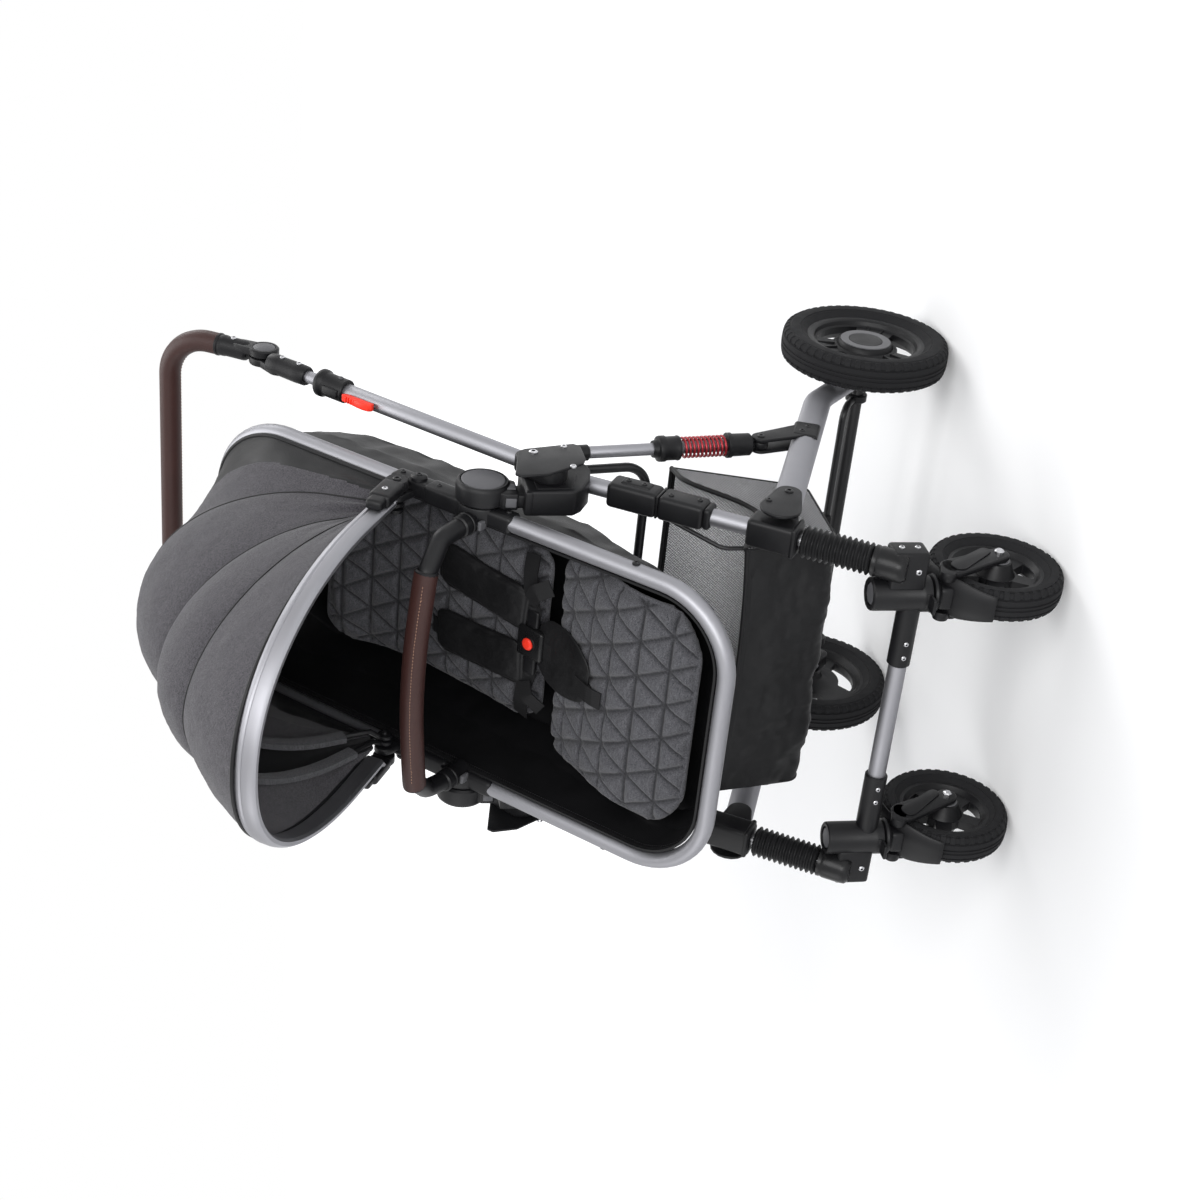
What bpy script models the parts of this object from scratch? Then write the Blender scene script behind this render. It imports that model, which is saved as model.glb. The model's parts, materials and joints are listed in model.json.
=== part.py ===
"""Convertible pram: an aluminium chassis on four wheels with a seat unit, hood, bumper bar and basket.

Metres, +Z up. The pram faces -Y, +X is its left side and the ground is z = 0.
Every piece is built on the left (+X) side first; its twin on the right shares the mesh.
"""
import math

import bmesh
import bpy
from mathutils import Matrix, Vector

# Clearances
GAP = 0.0004            # between two pieces that touch
RUN = 0.0006            # around a turning shaft or a sliding tube
SWING = 0.0010          # beside a piece that swings past another

# Origin: this y of the layout below becomes y = 0, under the middle of the pram's length
MIDDLE_Y = 0.0153

# Widths, from the middle of the pram outwards; each piece keeps its distance from its neighbour
RAIL_X = 0.2405
LEG_X = RAIL_X - 0.0160
STRUT_X = RAIL_X + 0.0010
WHEEL_X = RAIL_X + 0.0403
CASTER_X = LEG_X - 0.0425
BRACKET_X0 = LEG_X - 0.0205
BRACKET_X1 = LEG_X + 0.0140
BRACE_X = BRACKET_X0 + 0.0130
HANGER_X = BRACKET_X0 + 0.0010
HANDLE_X = BRACKET_X1 + 0.0120
HUB_IN = BRACKET_X0 + 0.0060
HUB_SHAFT_END = HUB_IN + 0.0140
HUB_OUT = BRACKET_X1 - 0.0015
POST_X0 = HUB_IN
POST_X1 = POST_X0 + 0.0185
SIDE_X1 = HUB_IN - 0.0012
SIDE_X0 = SIDE_X1 - 0.0228
RIM_HALF_W = SIDE_X1 - 0.0118
BUMPER_X = RIM_HALF_W - 0.0080
HOOD_HALF_W = RIM_HALF_W - 0.0070
BOSS_X1 = RIM_HALF_W - 0.0015
CLAMP_X0 = RIM_HALF_W + 0.0030
CLAMP_X1 = CLAMP_X0 + 0.0135
PIN_X0 = RIM_HALF_W - 0.0330
PIN_X1 = CLAMP_X1 - 0.0025
RIB_B_HALF_W = RIM_HALF_W - 0.0253
RIB_B_EYE_X = RIM_HALF_W - 0.0175
RIB_A_HALF_W = RIM_HALF_W - 0.0373
RIB_A_EYE_X = RIM_HALF_W - 0.0265
SEAM_HALF_W = RIM_HALF_W - 0.0186
BACK_HALF_W = RIM_HALF_W - 0.0550
SEAT_HALF_W = RIM_HALF_W - 0.0350
BASKET_HALF_W = BRACE_X - 0.0340
BRAKE_LUG_X = RAIL_X - 0.0355
BRAKE_HALF_W = BRAKE_LUG_X - 0.0200

# Rear wheels
REAR_R = 0.120
REAR_TYRE_W = 0.047
REAR_TYRE_DEPTH = 0.036
REAR_AXLE_Y = 0.285
REAR_FACETS = 24
REAR_SLOTS = 3
REAR_CAP_R = 0.037

# Front wheels
FRONT_R = 0.0855
FRONT_TYRE_W = 0.042
FRONT_TYRE_DEPTH = 0.026
FRONT_FACETS = 20
FRONT_SLOTS = 5
FRONT_CAP_R = 0.020
SLOT_SHARE = 0.62       # share of a wheel's turn that is cut away between the spokes
BEAD_SHARE = 0.62       # width at the bead, share of the tyre's width
TREAD_SHARE = 0.56      # flat part of the tread, share of the tyre's width

# Casters
CASTER_Y = -0.262
CASTER_TRAIL = 0.043
HOUSING_R = 0.021
HOUSING_TOP = 0.262
HOUSING_BOTTOM = 0.187
STEM_R = 0.006
STEM_LENGTH = 0.050
FORK_DISC_R = 0.019
FORK_DISC_T = 0.013
BLADE_T = 0.008
BLADE_GAP = 0.004
FENDER_GAP = 0.005
FENDER_T = 0.004
AXLE_R = 0.005
BAR_R = 0.0115
BAR_Z = 0.208
BAR_VISIBLE = 0.166
BAR_GRIP = 0.030
SLEEVE_WALL = 0.0028
LOCK_W = 0.020
LOCK_T = 0.005
LOCK_L = 0.018
LOCK_PIN_R = 0.0018

# Front legs
LEG_FOOT_Y = -0.262
LEG_FOOT_Z = 0.250
LEG_ANGLE = 57.5
LEG_R = 0.011
LEG_WALL = 0.0018
LEG_START = 0.106
LEG_LENGTH = 0.310
CUP_R = 0.0195
GAITER_LENGTH = 0.088
GAITER_R = 0.0205
GAITER_VALLEY_R = 0.0165
GAITER_BORE_R = 0.0125
GAITER_RIBS = 10
ROD_REACH = 0.160
FRONT_TRAVEL = 0.015    # of the legs' telescoping feet
BRACKET_LENGTH = 0.066
BRACKET_R = 0.0185
SLEEVE_START = 0.125
SLEEVE_LENGTH = 0.125
KNUCKLE_R = 0.0165

# Side rails and rear axle
RAIL_H = 0.038
RAIL_W = 0.022
RAIL_PIVOT_Y = -0.135
RAIL_PIVOT_Z = 0.340
RAIL_SLOPE = 21.9
RAIL_STRAIGHT = 0.345
RAIL_BEND_R = 0.090
CHEEK_T = 0.004
PIVOT_PIN_R = 0.004
AXLE_TUBE_R = 0.0095
AXLE_BLOCK = 0.036
AXLE_BLOCK_W = 0.025
SHOCK_PIVOT_Y = 0.038
SHOCK_PIVOT_Z = 0.332
SHOCK_FOOT = 0.212
EYE_W = 0.010

# Brake
BRAKE_ROD_R = 0.005
BRAKE_AHEAD = 0.042
BRAKE_RISE = 0.030
BRAKE_LUG_T = 0.012

# Rear struts
STRUT_TOP_Y = 0.000
STRUT_TOP_Z = 0.600
STRUT_ROD_R = 0.008
STRUT_EYE_R = 0.0105
STRUT_COLLAR_R = 0.0165
STRUT_COLLAR_L = 0.030
SPRING_R = 0.0125
SPRING_WIRE_R = 0.0016
SPRING_CURLS = 7
CUP_SLEEVE_R = 0.0150
CUP_BORE_DEPTH = 0.022

# Upper brackets
FOLD_Y = -0.060
FOLD_Z = 0.640
FOLD_PIN_R = 0.006
FOLD_PIN_END = 0.2600
SOCKET_Y = -0.080
SOCKET_TOP = 0.664
SOCKET_DEPTH = 0.050
BRACE_R = 0.006
BRACE_Y = 0.018
BRACE_Z = 0.485
BRACE_TOP_Z = 0.598
BRACE_KNEE_Y = 0.010
BRACE_KNEE_Z = 0.535
BRACE_BEND_R = 0.030

# Handle
HANDLE_R = 0.011
HANDLE_ANGLE = 45.2
HANDLE_TUBE_L = 0.330
HANDLE_JOINT_Y = 0.287
HANDLE_JOINT_Z = 0.972
SLEEVE_TOP_L = 0.455
KNUCKLE_PLATE_R = 0.022
THIN_R = 0.008
JOINT_R = 0.0205
JOINT_SLEEVE_R = 0.0135
LOWER_SLEEVE_L = 0.052
UPPER_SLEEVE_L = 0.068
UPPER_ANGLE = 59.3
BAR_REACH = 0.148
BAR_BEND_R = 0.062
GRIP_R = 0.015
DISC_R = 0.015
DISC_T = 0.003
COLLAR_R = 0.0160
COLLAR_L = 0.046
COLLAR_FLANGE_R = 0.0185
COLLAR_FLANGE_L = 0.007
CATCH_L = 0.055
CATCH_H = 0.011
CATCH_W = 0.010
CATCH_AT = 0.266
COLLAR_START = 0.319
JOINT_PIN_R = 0.005
BUTTON_TRAVEL = 0.002

# Seat unit
SEAT_ANGLE = 46.5
RIM_Y = -0.096
RIM_Z = 0.693
RIM_FOOT = 0.340
RIM_HEAD = 0.455
RIM_FOOT_R = 0.100
RIM_HEAD_R = 0.110
RIM_R = 0.0115
HUB_Y = -0.067
HUB_Z = 0.713
HUB_R = 0.034
HUB_SHAFT_R = 0.012
BUTTON_R = 0.028
BUTTON_T = 0.005
POST_W = 0.030
TUB_WALL = 0.003
TUB_DEPTHS = ((-0.34, 0.044), (-0.25, 0.064), (-0.15, 0.092), (-0.03, 0.126), (0.10, 0.134), (0.20, 0.142),
              (0.30, 0.138), (0.37, 0.116), (0.45, 0.090))
SEAT_SEAMS = (0.38,)
BACK_SEAMS = (0.30, 0.52, 0.74)
BACK_POINTS = ((-0.064, 0.6145), (0.037, 0.695), (0.111, 0.757), (0.161, 0.823), (0.187, 0.892))
CREASE_Y = -0.070
CREASE_Z = 0.606
KNEE_Y = -0.205
KNEE_Z = 0.553
FOOT_Y = -0.2866
FOOT_Z = 0.4630
FOOT_TAPER = 0.16
PAD_T = 0.018
BACK_T = 0.020
STRAP_W = 0.067
STRAP_T = 0.012
STRAP_START = -0.010
STRAP_END = 0.155
STRAP_APART = 0.041     # of each shoulder pad's turning point, from the middle
STRAP_ALONG = 0.030
STRAP_TURN = 4.0
WEBBING_HALF_W = 0.0125
WAIST_REACH = 0.112
WAIST_TURN = 8.0
HARNESS_RISE = 0.0085
BUCKLE_HALF_W = 0.024
BUCKLE_T = 0.015
PUSH_AT = 0.012         # of the buckle's button, up the back from the harness's foot
PUSH_R = 0.0084
PUSH_T = 0.004
PUSH_TRAVEL = 0.003

# Bumper bar
BUMPER_GRIP_X = 0.150
BUMPER_MID_RISE = 0.008
BUMPER_R = 0.0130
BUMPER_GRIP_R = 0.0155
PEG_R = 0.0085
PEG_L = 0.022
SOCKET_TUBE_R = 0.0135
SOCKET_RISE = 0.030
BUMPER_ALONG = 0.0308

# Hood
HOOD_Y = -0.020
HOOD_Z = 0.815
HOOP_ANGLE = 29.0
HOOP_REACH = 0.400
RIB_B_ANGLE = 50.7
RIB_B_REACH = 0.339
RIB_A_ANGLE = 72.4
RIB_A_REACH = 0.3005
RIB_POWER = 1.87
SEAM_ANGLE = 107.0      # of the sewn seam across the rear panel
SEAM_REACH = 0.327
SEAM_POWER = 1.88
HOOP_BAND = 0.026
HOOP_T = 0.014
RIB_R = 0.004
COVER_T = 0.003
COVER_LIFT = 0.001
HOOD_ALONG = 0.1413
HOOD_RISE = 0.0288
HOOD_START = 0.035
HOOP_SIDE = 0.20
HOOP_FLAT = 0.10
RIB_FLAT = 0.09
HOOP_POWER = 2.15
MIDDLE_LIFT = 0.012
SWELL_LIFT = 0.008
REAR_LIFT = -0.010
RIB_UNDER = 0.0072
SEAM_SIDE = 0.0085      # of the cover's seam over a rib, measured sideways
CLAMP_R = 0.0150
EYE_R = 0.012
EYE_T = 0.0055

# Basket
BASKET_FRONT_Y = -0.150
BASKET_REAR_Y = 0.085
BASKET_FLOOR_Y = 0.030
BASKET_BOTTOM_Z = 0.262
BASKET_FRONT_Z = 0.388
BASKET_REAR_Z = 0.435
BASKET_WALL = 0.004
HANGER_Y = -0.100
HANGER_Z = 0.490

# Finishes: base colour, roughness, metallic
FINISHES = {
    "aluminium": ((0.52, 0.52, 0.55), 0.38, 1.0),
    "black_plastic": ((0.016, 0.016, 0.018), 0.45, 0.0),
    "grey_plastic": ((0.09, 0.09, 0.095), 0.40, 0.0),
    "tyre_rubber": ((0.020, 0.020, 0.022), 0.85, 0.0),
    "brown_leather": ((0.070, 0.032, 0.022), 0.55, 0.0),
    "red_plastic": ((0.70, 0.040, 0.020), 0.35, 0.0),
    "red_spring": ((0.28, 0.020, 0.025), 0.40, 0.0),
    "melange_cloth": ((0.075, 0.075, 0.082), 0.95, 0.0),
    "black_cloth": ((0.012, 0.012, 0.013), 0.80, 0.0),
    "black_steel": ((0.020, 0.020, 0.022), 0.35, 0.6),
}

PARTS = bpy.data.collections.new("convertible_pram")
CUTTERS = bpy.data.collections.new("cutters")


# Placement helpers


def slant(y, z, angle):
    """Matrix whose local Y runs along a slope of this angle and local Z stands square to it."""
    return Matrix.Translation((0.0, y, z)) @ Matrix.Rotation(math.radians(angle), 4, "X")


def on_slope(y, z, angle, along, rise=0.0):
    """The (y, z) point at this distance along a slope and this rise square to it."""
    point = slant(y, z, angle) @ Vector((0.0, along, rise))
    return point.y, point.z


def leg_point(along, rise=0.0):
    """A (y, z) point on the front leg's axis."""
    return on_slope(LEG_FOOT_Y, LEG_FOOT_Z, LEG_ANGLE, along, rise)


def rim_point(along, rise=0.0):
    """A (y, z) point in the seat rim's plane, counted from the hub end."""
    return on_slope(RIM_Y, RIM_Z, SEAT_ANGLE, along, rise)


def handle_point(along, rise=0.0):
    """A (y, z) point on the handle's axis, counted from its fold pivot."""
    return on_slope(FOLD_Y, FOLD_Z, HANDLE_ANGLE, along, rise)


def strut_point(along, rise=0.0):
    """A (y, z) point on the rear strut's axis, counted down from its top pivot."""
    return on_slope(STRUT_TOP_Y, STRUT_TOP_Z, STRUT_ANGLE, along, rise)


def at(x, yz):
    """Vector from an x and a (y, z) pair."""
    return Vector((x, yz[0], yz[1]))


# Shape helpers


def clear_scene():
    """Removes what the start-up scene holds."""
    for obj in list(bpy.data.objects):
        bpy.data.objects.remove(obj, do_unlink=True)


def mesh_object(name, bm, matrix=None):
    """Puts a bmesh into a new object of the parts collection."""
    mesh = bpy.data.meshes.new(name)
    if matrix is not None:
        bm.transform(matrix)
    bm.to_mesh(mesh)
    bm.free()
    obj = bpy.data.objects.new(name, mesh)
    PARTS.objects.link(obj)
    return obj


def baked(obj):
    """Replaces an object by the mesh that its curve or modifiers give, welded and facing outwards."""
    graph = bpy.context.evaluated_depsgraph_get()
    mesh = bpy.data.meshes.new_from_object(obj.evaluated_get(graph), depsgraph=graph)
    mesh.transform(obj.matrix_world)
    name = obj.name
    bpy.data.objects.remove(obj, do_unlink=True)
    bm = bmesh.new()
    bm.from_mesh(mesh)
    bpy.data.meshes.remove(mesh)
    bmesh.ops.remove_doubles(bm, verts=bm.verts, dist=1e-6)
    bmesh.ops.dissolve_degenerate(bm, dist=1e-7, edges=bm.edges)
    bmesh.ops.recalc_face_normals(bm, faces=bm.faces)
    return mesh_object(name, bm)


def combine(target, others, operation):
    """Joins or cuts a solid with other solids, which are used up."""
    for other in others:
        modifier = target.modifiers.new("combine", "BOOLEAN")
        modifier.operation = operation
        modifier.solver = "EXACT"
        modifier.object = other
        target = baked(target)
        bpy.data.objects.remove(other, do_unlink=True)
    bm = bmesh.new()
    bm.from_mesh(target.data)
    bmesh.ops.dissolve_limit(bm, angle_limit=math.radians(0.3), verts=bm.verts, edges=bm.edges)
    bmesh.ops.triangulate(bm, faces=[face for face in bm.faces if len(face.verts) > 4])
    bm.to_mesh(target.data)
    bm.free()
    return target


def join(target, *others):
    """Boolean union."""
    return combine(target, others, "UNION")


def cut(target, *others):
    """Boolean difference."""
    return combine(target, others, "DIFFERENCE")


def aim(start, end):
    """Matrix that carries local Z onto the line from start to end, centred between them."""
    start, end = Vector(start), Vector(end)
    turn = (end - start).to_track_quat("Z", "Y").to_matrix().to_4x4()
    return Matrix.Translation((start + end) / 2.0) @ turn


def rod(start, end, radius, sides=10):
    """Round bar between two points."""
    bm = bmesh.new()
    length = (Vector(end) - Vector(start)).length
    bmesh.ops.create_cone(bm, cap_ends=True, segments=sides, radius1=radius, radius2=radius, depth=length)
    return mesh_object("rod", bm, aim(start, end))


def drill(start, end, radius, sides=10):
    """Cutter for a hole whose flats, not its corners, keep this radius."""
    return rod(start, end, radius / math.cos(math.pi / sides), sides)


def block(x0, x1, y0, y1, z0, z1, edge=0.0, matrix=None):
    """Box between these limits, with rounded edges."""
    bm = bmesh.new()
    bmesh.ops.create_cube(bm, size=1.0)
    size = Matrix.Diagonal((x1 - x0, y1 - y0, z1 - z0, 1.0))
    centre = Matrix.Translation(((x0 + x1) / 2.0, (y0 + y1) / 2.0, (z0 + z1) / 2.0))
    bm.transform(centre @ size)
    if edge > 0.0:
        bmesh.ops.bevel(bm, geom=bm.edges[:], offset=edge, segments=1, profile=0.5, affect="EDGES")
    return mesh_object("block", bm, matrix)


def rounded(points, radius, steps=5):
    """Polyline whose inner corners are turned into arcs of this radius."""
    points = [Vector(p) for p in points]
    path = [points[0]]
    for before, corner, after in zip(points, points[1:], points[2:]):
        back = (before - corner).normalized()
        ahead = (after - corner).normalized()
        half = back.angle(ahead) / 2.0
        reach = radius / math.tan(half)
        start = corner + back * reach
        centre = corner + (back + ahead).normalized() * (radius / math.sin(half))
        end = corner + ahead * reach
        spoke, last = start - centre, end - centre
        turn = spoke.rotation_difference(last)
        for step in range(steps + 1):
            part = turn.copy()
            part.angle = turn.angle * step / steps
            path.append(centre + part @ spoke)
    path.append(points[-1])
    return path


def curve_object(points, cyclic=False):
    """Three-dimensional polyline curve."""
    curve = bpy.data.curves.new("path", "CURVE")
    curve.dimensions = "3D"
    spline = curve.splines.new("POLY")
    spline.points.add(len(points) - 1)
    for target, point in zip(spline.points, points):
        target.co = (*point, 1.0)
    spline.use_cyclic_u = cyclic
    obj = bpy.data.objects.new("path", curve)
    PARTS.objects.link(obj)
    return obj


def tube(points, radius, resolution=2, cyclic=False):
    """Round tube along a polyline, with closed ends."""
    obj = curve_object(points, cyclic)
    obj.data.bevel_depth = radius
    obj.data.bevel_resolution = resolution
    obj.data.use_fill_caps = not cyclic
    return baked(obj)


def band(points, width, thickness):
    """Flat bar along a polyline in the local XY plane: its width stands along Z."""
    section = bpy.data.curves.new("section", "CURVE")
    section.dimensions = "2D"
    spline = section.splines.new("POLY")
    a, b = thickness / 2.0, width / 2.0
    outline = [(a * 0.7, b), (a, 0.0), (a * 0.7, -b), (-a, -b), (-a, b)]
    spline.points.add(len(outline) - 1)
    for target, point in zip(spline.points, outline):
        target.co = (point[0], point[1], 0.0, 1.0)
    spline.use_cyclic_u = True
    profile = bpy.data.objects.new("section", section)
    CUTTERS.objects.link(profile)
    obj = curve_object(points)
    obj.data.twist_mode = "Z_UP"
    obj.data.bevel_mode = "OBJECT"
    obj.data.bevel_object = profile
    obj.data.use_fill_caps = True
    result = baked(obj)
    bpy.data.objects.remove(profile, do_unlink=True)
    return result


def turned(profile, matrix, steps, closed=False):
    """Turned solid: (radius, height) points, run down the outer side, spun about Z by a Screw modifier."""
    bm = bmesh.new()
    verts = [bm.verts.new((radius, 0.0, height)) for radius, height in profile]
    pairs = list(zip(verts, verts[1:])) + ([(verts[-1], verts[0])] if closed else [])
    for pair in pairs:
        bm.edges.new(pair)
    obj = mesh_object("turned", bm)
    screw = obj.modifiers.new("spin", "SCREW")
    screw.steps = steps
    screw.render_steps = steps
    screw.use_merge_vertices = True
    screw.merge_threshold = 0.00001
    result = baked(obj)
    result.data.transform(matrix)
    return result


def plate(outline, x0, x1):
    """Flat plate square to X between x0 and x1, from a closed (y, z) outline."""
    curve = bpy.data.curves.new("outline", "CURVE")
    curve.dimensions = "2D"
    curve.fill_mode = "BOTH"
    curve.extrude = (x1 - x0) / 2.0
    spline = curve.splines.new("POLY")
    spline.points.add(len(outline) - 1)
    for target, point in zip(spline.points, outline):
        target.co = (point[0], point[1], 0.0, 1.0)
    spline.use_cyclic_u = True
    obj = bpy.data.objects.new("plate", curve)
    PARTS.objects.link(obj)
    stand = Matrix(((0, 0, 1, (x0 + x1) / 2.0), (1, 0, 0, 0), (0, 1, 0, 0), (0, 0, 0, 1)))
    obj.matrix_world = stand
    bpy.context.view_layer.update()
    return baked(obj)


def capsule(a, radius_a, b, radius_b, steps=4):
    """Closed outline round two circles, as a strap with two round ends."""
    a, b = Vector(a), Vector(b)
    axis = math.atan2(b.y - a.y, b.x - a.x)
    lean = math.acos((radius_a - radius_b) / (b - a).length)
    outline = []
    for centre, radius, first, last in (
        (a, radius_a, axis + lean, axis + 2.0 * math.pi - lean),
        (b, radius_b, axis - lean, axis + lean),
    ):
        for step in range(steps + 1):
            angle = first + (last - first) * step / steps
            outline.append((centre.x + radius * math.cos(angle), centre.y + radius * math.sin(angle)))
    return outline


def sheet(columns, rows, place, thickness):
    """Curved sheet of even thickness: place(u, v) gives its middle, u and v run from 0 to 1."""
    bm = bmesh.new()
    bmesh.ops.create_grid(bm, x_segments=columns, y_segments=rows, size=0.5)
    for vert in bm.verts:
        vert.co = place(vert.co.x + 0.5, vert.co.y + 0.5)
    bmesh.ops.remove_doubles(bm, verts=bm.verts, dist=1e-6)
    bmesh.ops.recalc_face_normals(bm, faces=bm.faces)
    obj = mesh_object("sheet", bm)
    solid = obj.modifiers.new("wall", "SOLIDIFY")
    solid.thickness = thickness
    solid.offset = 0.0
    solid.use_even_offset = True
    return baked(obj)


def cushion(columns, rows, top, bottom):
    """Closed pad between two surfaces, given as top(u, v) and bottom(u, v)."""
    bm = bmesh.new()
    bmesh.ops.create_grid(bm, x_segments=columns, y_segments=rows, size=0.5)
    under = {vert: (vert.co.x + 0.5, vert.co.y + 0.5) for vert in bm.verts}
    made = bmesh.ops.extrude_face_region(bm, geom=bm.faces[:])
    lifted = [item for item in made["geom"] if isinstance(item, bmesh.types.BMVert)]
    over = {vert: (vert.co.x + 0.5, vert.co.y + 0.5) for vert in lifted}
    for vert, (u, v) in over.items():
        vert.co = top(u, v)
    for vert, (u, v) in under.items():
        if vert not in over:
            vert.co = bottom(u, v)
    bmesh.ops.recalc_face_normals(bm, faces=bm.faces)
    return mesh_object("cushion", bm)


def finished(obj, name, finish, origin=(0.0, 0.0, 0.0), smooth=35.0):
    """Names a piece, gives it its material, shades it and sets its origin on its joint's axis."""
    colour, roughness, metallic = FINISHES[finish]
    material = bpy.data.materials.new(name)
    material.use_nodes = True
    shader = material.node_tree.nodes["Principled BSDF"]
    shader.inputs["Base Color"].default_value = (*colour, 1.0)
    shader.inputs["Roughness"].default_value = roughness
    shader.inputs["Metallic"].default_value = metallic
    obj.name = name
    obj.data.name = name
    obj.data.materials.clear()
    obj.data.materials.append(material)
    obj.data.transform(Matrix.Translation(-Vector(origin)))
    obj.location = origin
    obj.data.shade_smooth()
    obj.data.set_sharp_from_angle(angle=math.radians(smooth))
    return obj


def with_twin(obj):
    """Adds the right-hand twin of a piece named with _L, sharing its mesh."""
    other = bpy.data.objects.new(obj.name[:-1] + "R", obj.data)
    other.location = (-obj.location.x, obj.location.y, obj.location.z)
    other.scale = (-1.0, 1.0, 1.0)
    PARTS.objects.link(other)
    return other


# Sizes that follow from the ones above

STRUT_ANGLE = math.degrees(math.atan2(SHOCK_PIVOT_Z - STRUT_TOP_Z, SHOCK_PIVOT_Y - STRUT_TOP_Y))
STRUT_LENGTH = math.hypot(SHOCK_PIVOT_Z - STRUT_TOP_Z, SHOCK_PIVOT_Y - STRUT_TOP_Y)
FRONT_AXLE_Y = CASTER_Y + CASTER_TRAIL
JOINT_YZ = (HANDLE_JOINT_Y, HANDLE_JOINT_Z)
COLLAR_AT = 0.125
CUP_AT = 0.2215
ROD_END = CUP_AT + 0.008
CATCH_PIN_RISE = HANDLE_R + RUN + CATCH_H / 2.0


def upper_point(along, rise=0.0):
    """A (y, z) point in the plane of the handlebar, counted from the handle's joint."""
    return on_slope(*JOINT_YZ, UPPER_ANGLE, along, rise)


SHAFT_R = 0.006
SHAFT_END = WHEEL_X + 0.0035
LOCK_PIVOT = (CASTER_Y - HOUSING_R + 0.002, HOUSING_BOTTOM + 0.0060)


# Wheels


def wheel_matrix(x, y, radius, facets):
    """Carries a turned wheel's local Z onto +X, with the middle of one facet straight down."""
    basis = Matrix(((0, 0, 1, 0), (0, 1, 0, 0), (-1, 0, 0, 0), (0, 0, 0, 1)))
    half_facet = Matrix.Rotation(math.pi / facets, 4, "Z")
    return Matrix.Translation((x, y, radius)) @ basis @ half_facet


def tyre(name, x, y, radius, width, depth, facets):
    """Faceted tyre whose flat treads touch the circle of this radius."""
    grow = 1.0 / math.cos(math.pi / facets)
    half = width / 2.0
    upper = [
        (radius - depth, half * BEAD_SHARE),
        (radius - depth * 0.52, half),
        (radius - depth * 0.10, half * 0.86),
        (radius, half * TREAD_SHARE),
    ]
    profile = upper + [(r, -z) for r, z in reversed(upper)]
    profile = [(r * grow, z) for r, z in profile]
    obj = turned(profile, wheel_matrix(x, y, radius, facets), facets, closed=True)
    return finished(obj, name, "tyre_rubber", (x, y, radius), smooth=40.0)


def slot_outline(y, z, inner, outer, middle, spread, steps=2):
    """Outline of one opening between two spokes of a wheel."""
    outline = []
    for radius, first, last in ((inner, 0.82, -0.82), (outer, -1.0, 1.0)):
        for step in range(steps + 1):
            angle = middle + spread * (first + (last - first) * step / steps)
            outline.append((y + radius * math.cos(angle), z + radius * math.sin(angle)))
    return outline


def wheel_hub(name, profile, x, y, radius, facets, slots, inner, outer):
    """Turned wheel centre with openings between its spokes."""
    grow = 1.0 / math.cos(math.pi / facets)
    profile = [(r * grow, z) for r, z in profile]
    hub = turned(profile, wheel_matrix(x, y, radius, facets), facets, closed=profile[0][0] > 0.0)
    cutters = []
    for slot in range(slots):
        middle = -math.pi / 2.0 + 2.0 * math.pi * slot / slots
        outline = slot_outline(y, radius, inner, outer, middle, math.pi * SLOT_SHARE / slots)
        cutters.append(plate(outline, x - 0.03, x + 0.03))
    hub = cut(hub, *cutters)
    return finished(hub, name, "black_plastic", (x, y, radius))


def build_rear_wheel():
    """Left rear tyre and its centre, which runs on a blind bore."""
    bead = REAR_R - REAR_TYRE_DEPTH - GAP
    lip = REAR_TYRE_W / 2.0 * BEAD_SHARE - GAP
    bore = SHAFT_R + RUN
    profile = [
        (0.0, 0.0145),
        (REAR_CAP_R, 0.0125),
        (REAR_CAP_R * 1.10, 0.0050),
        (bead * 0.91, 0.0050),
        (bead, lip),
        (bead, -lip),
        (bead * 0.91, -0.0040),
        (REAR_CAP_R * 1.10, -0.0050),
        (REAR_CAP_R * 0.42, -0.0190),
        (bore, -0.0190),
        (bore, 0.0050),
        (0.0, 0.0050),
    ]
    x, y = WHEEL_X, REAR_AXLE_Y
    hub = wheel_hub("rear_hub_L", profile, x, y, REAR_R, REAR_FACETS, REAR_SLOTS, 0.0475, 0.0690)
    rubber = tyre("rear_tyre_L", x, y, REAR_R, REAR_TYRE_W, REAR_TYRE_DEPTH, REAR_FACETS)
    return with_twin(hub), with_twin(rubber)


def build_front_wheel():
    """Left front tyre and its centre, which runs on the fork's axle."""
    bead = FRONT_R - FRONT_TYRE_DEPTH - GAP
    lip = FRONT_TYRE_W / 2.0 * BEAD_SHARE - GAP
    bore = AXLE_R + RUN
    end = FRONT_TYRE_W / 2.0 + BLADE_GAP - SWING
    profile = [
        (bore, end),
        (FRONT_CAP_R * 0.70, end),
        (FRONT_CAP_R * 1.12, 0.0050),
        (bead * 0.91, 0.0050),
        (bead, lip),
    ]
    profile += [(r, -z) for r, z in reversed(profile)]
    x, y = CASTER_X, FRONT_AXLE_Y
    hub = wheel_hub("front_hub_L", profile, x, y, FRONT_R, FRONT_FACETS, FRONT_SLOTS, 0.0255, 0.0470)
    rubber = tyre("front_tyre_L", x, y, FRONT_R, FRONT_TYRE_W, FRONT_TYRE_DEPTH, FRONT_FACETS)
    return with_twin(hub), with_twin(rubber)


# Casters and front axle


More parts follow.
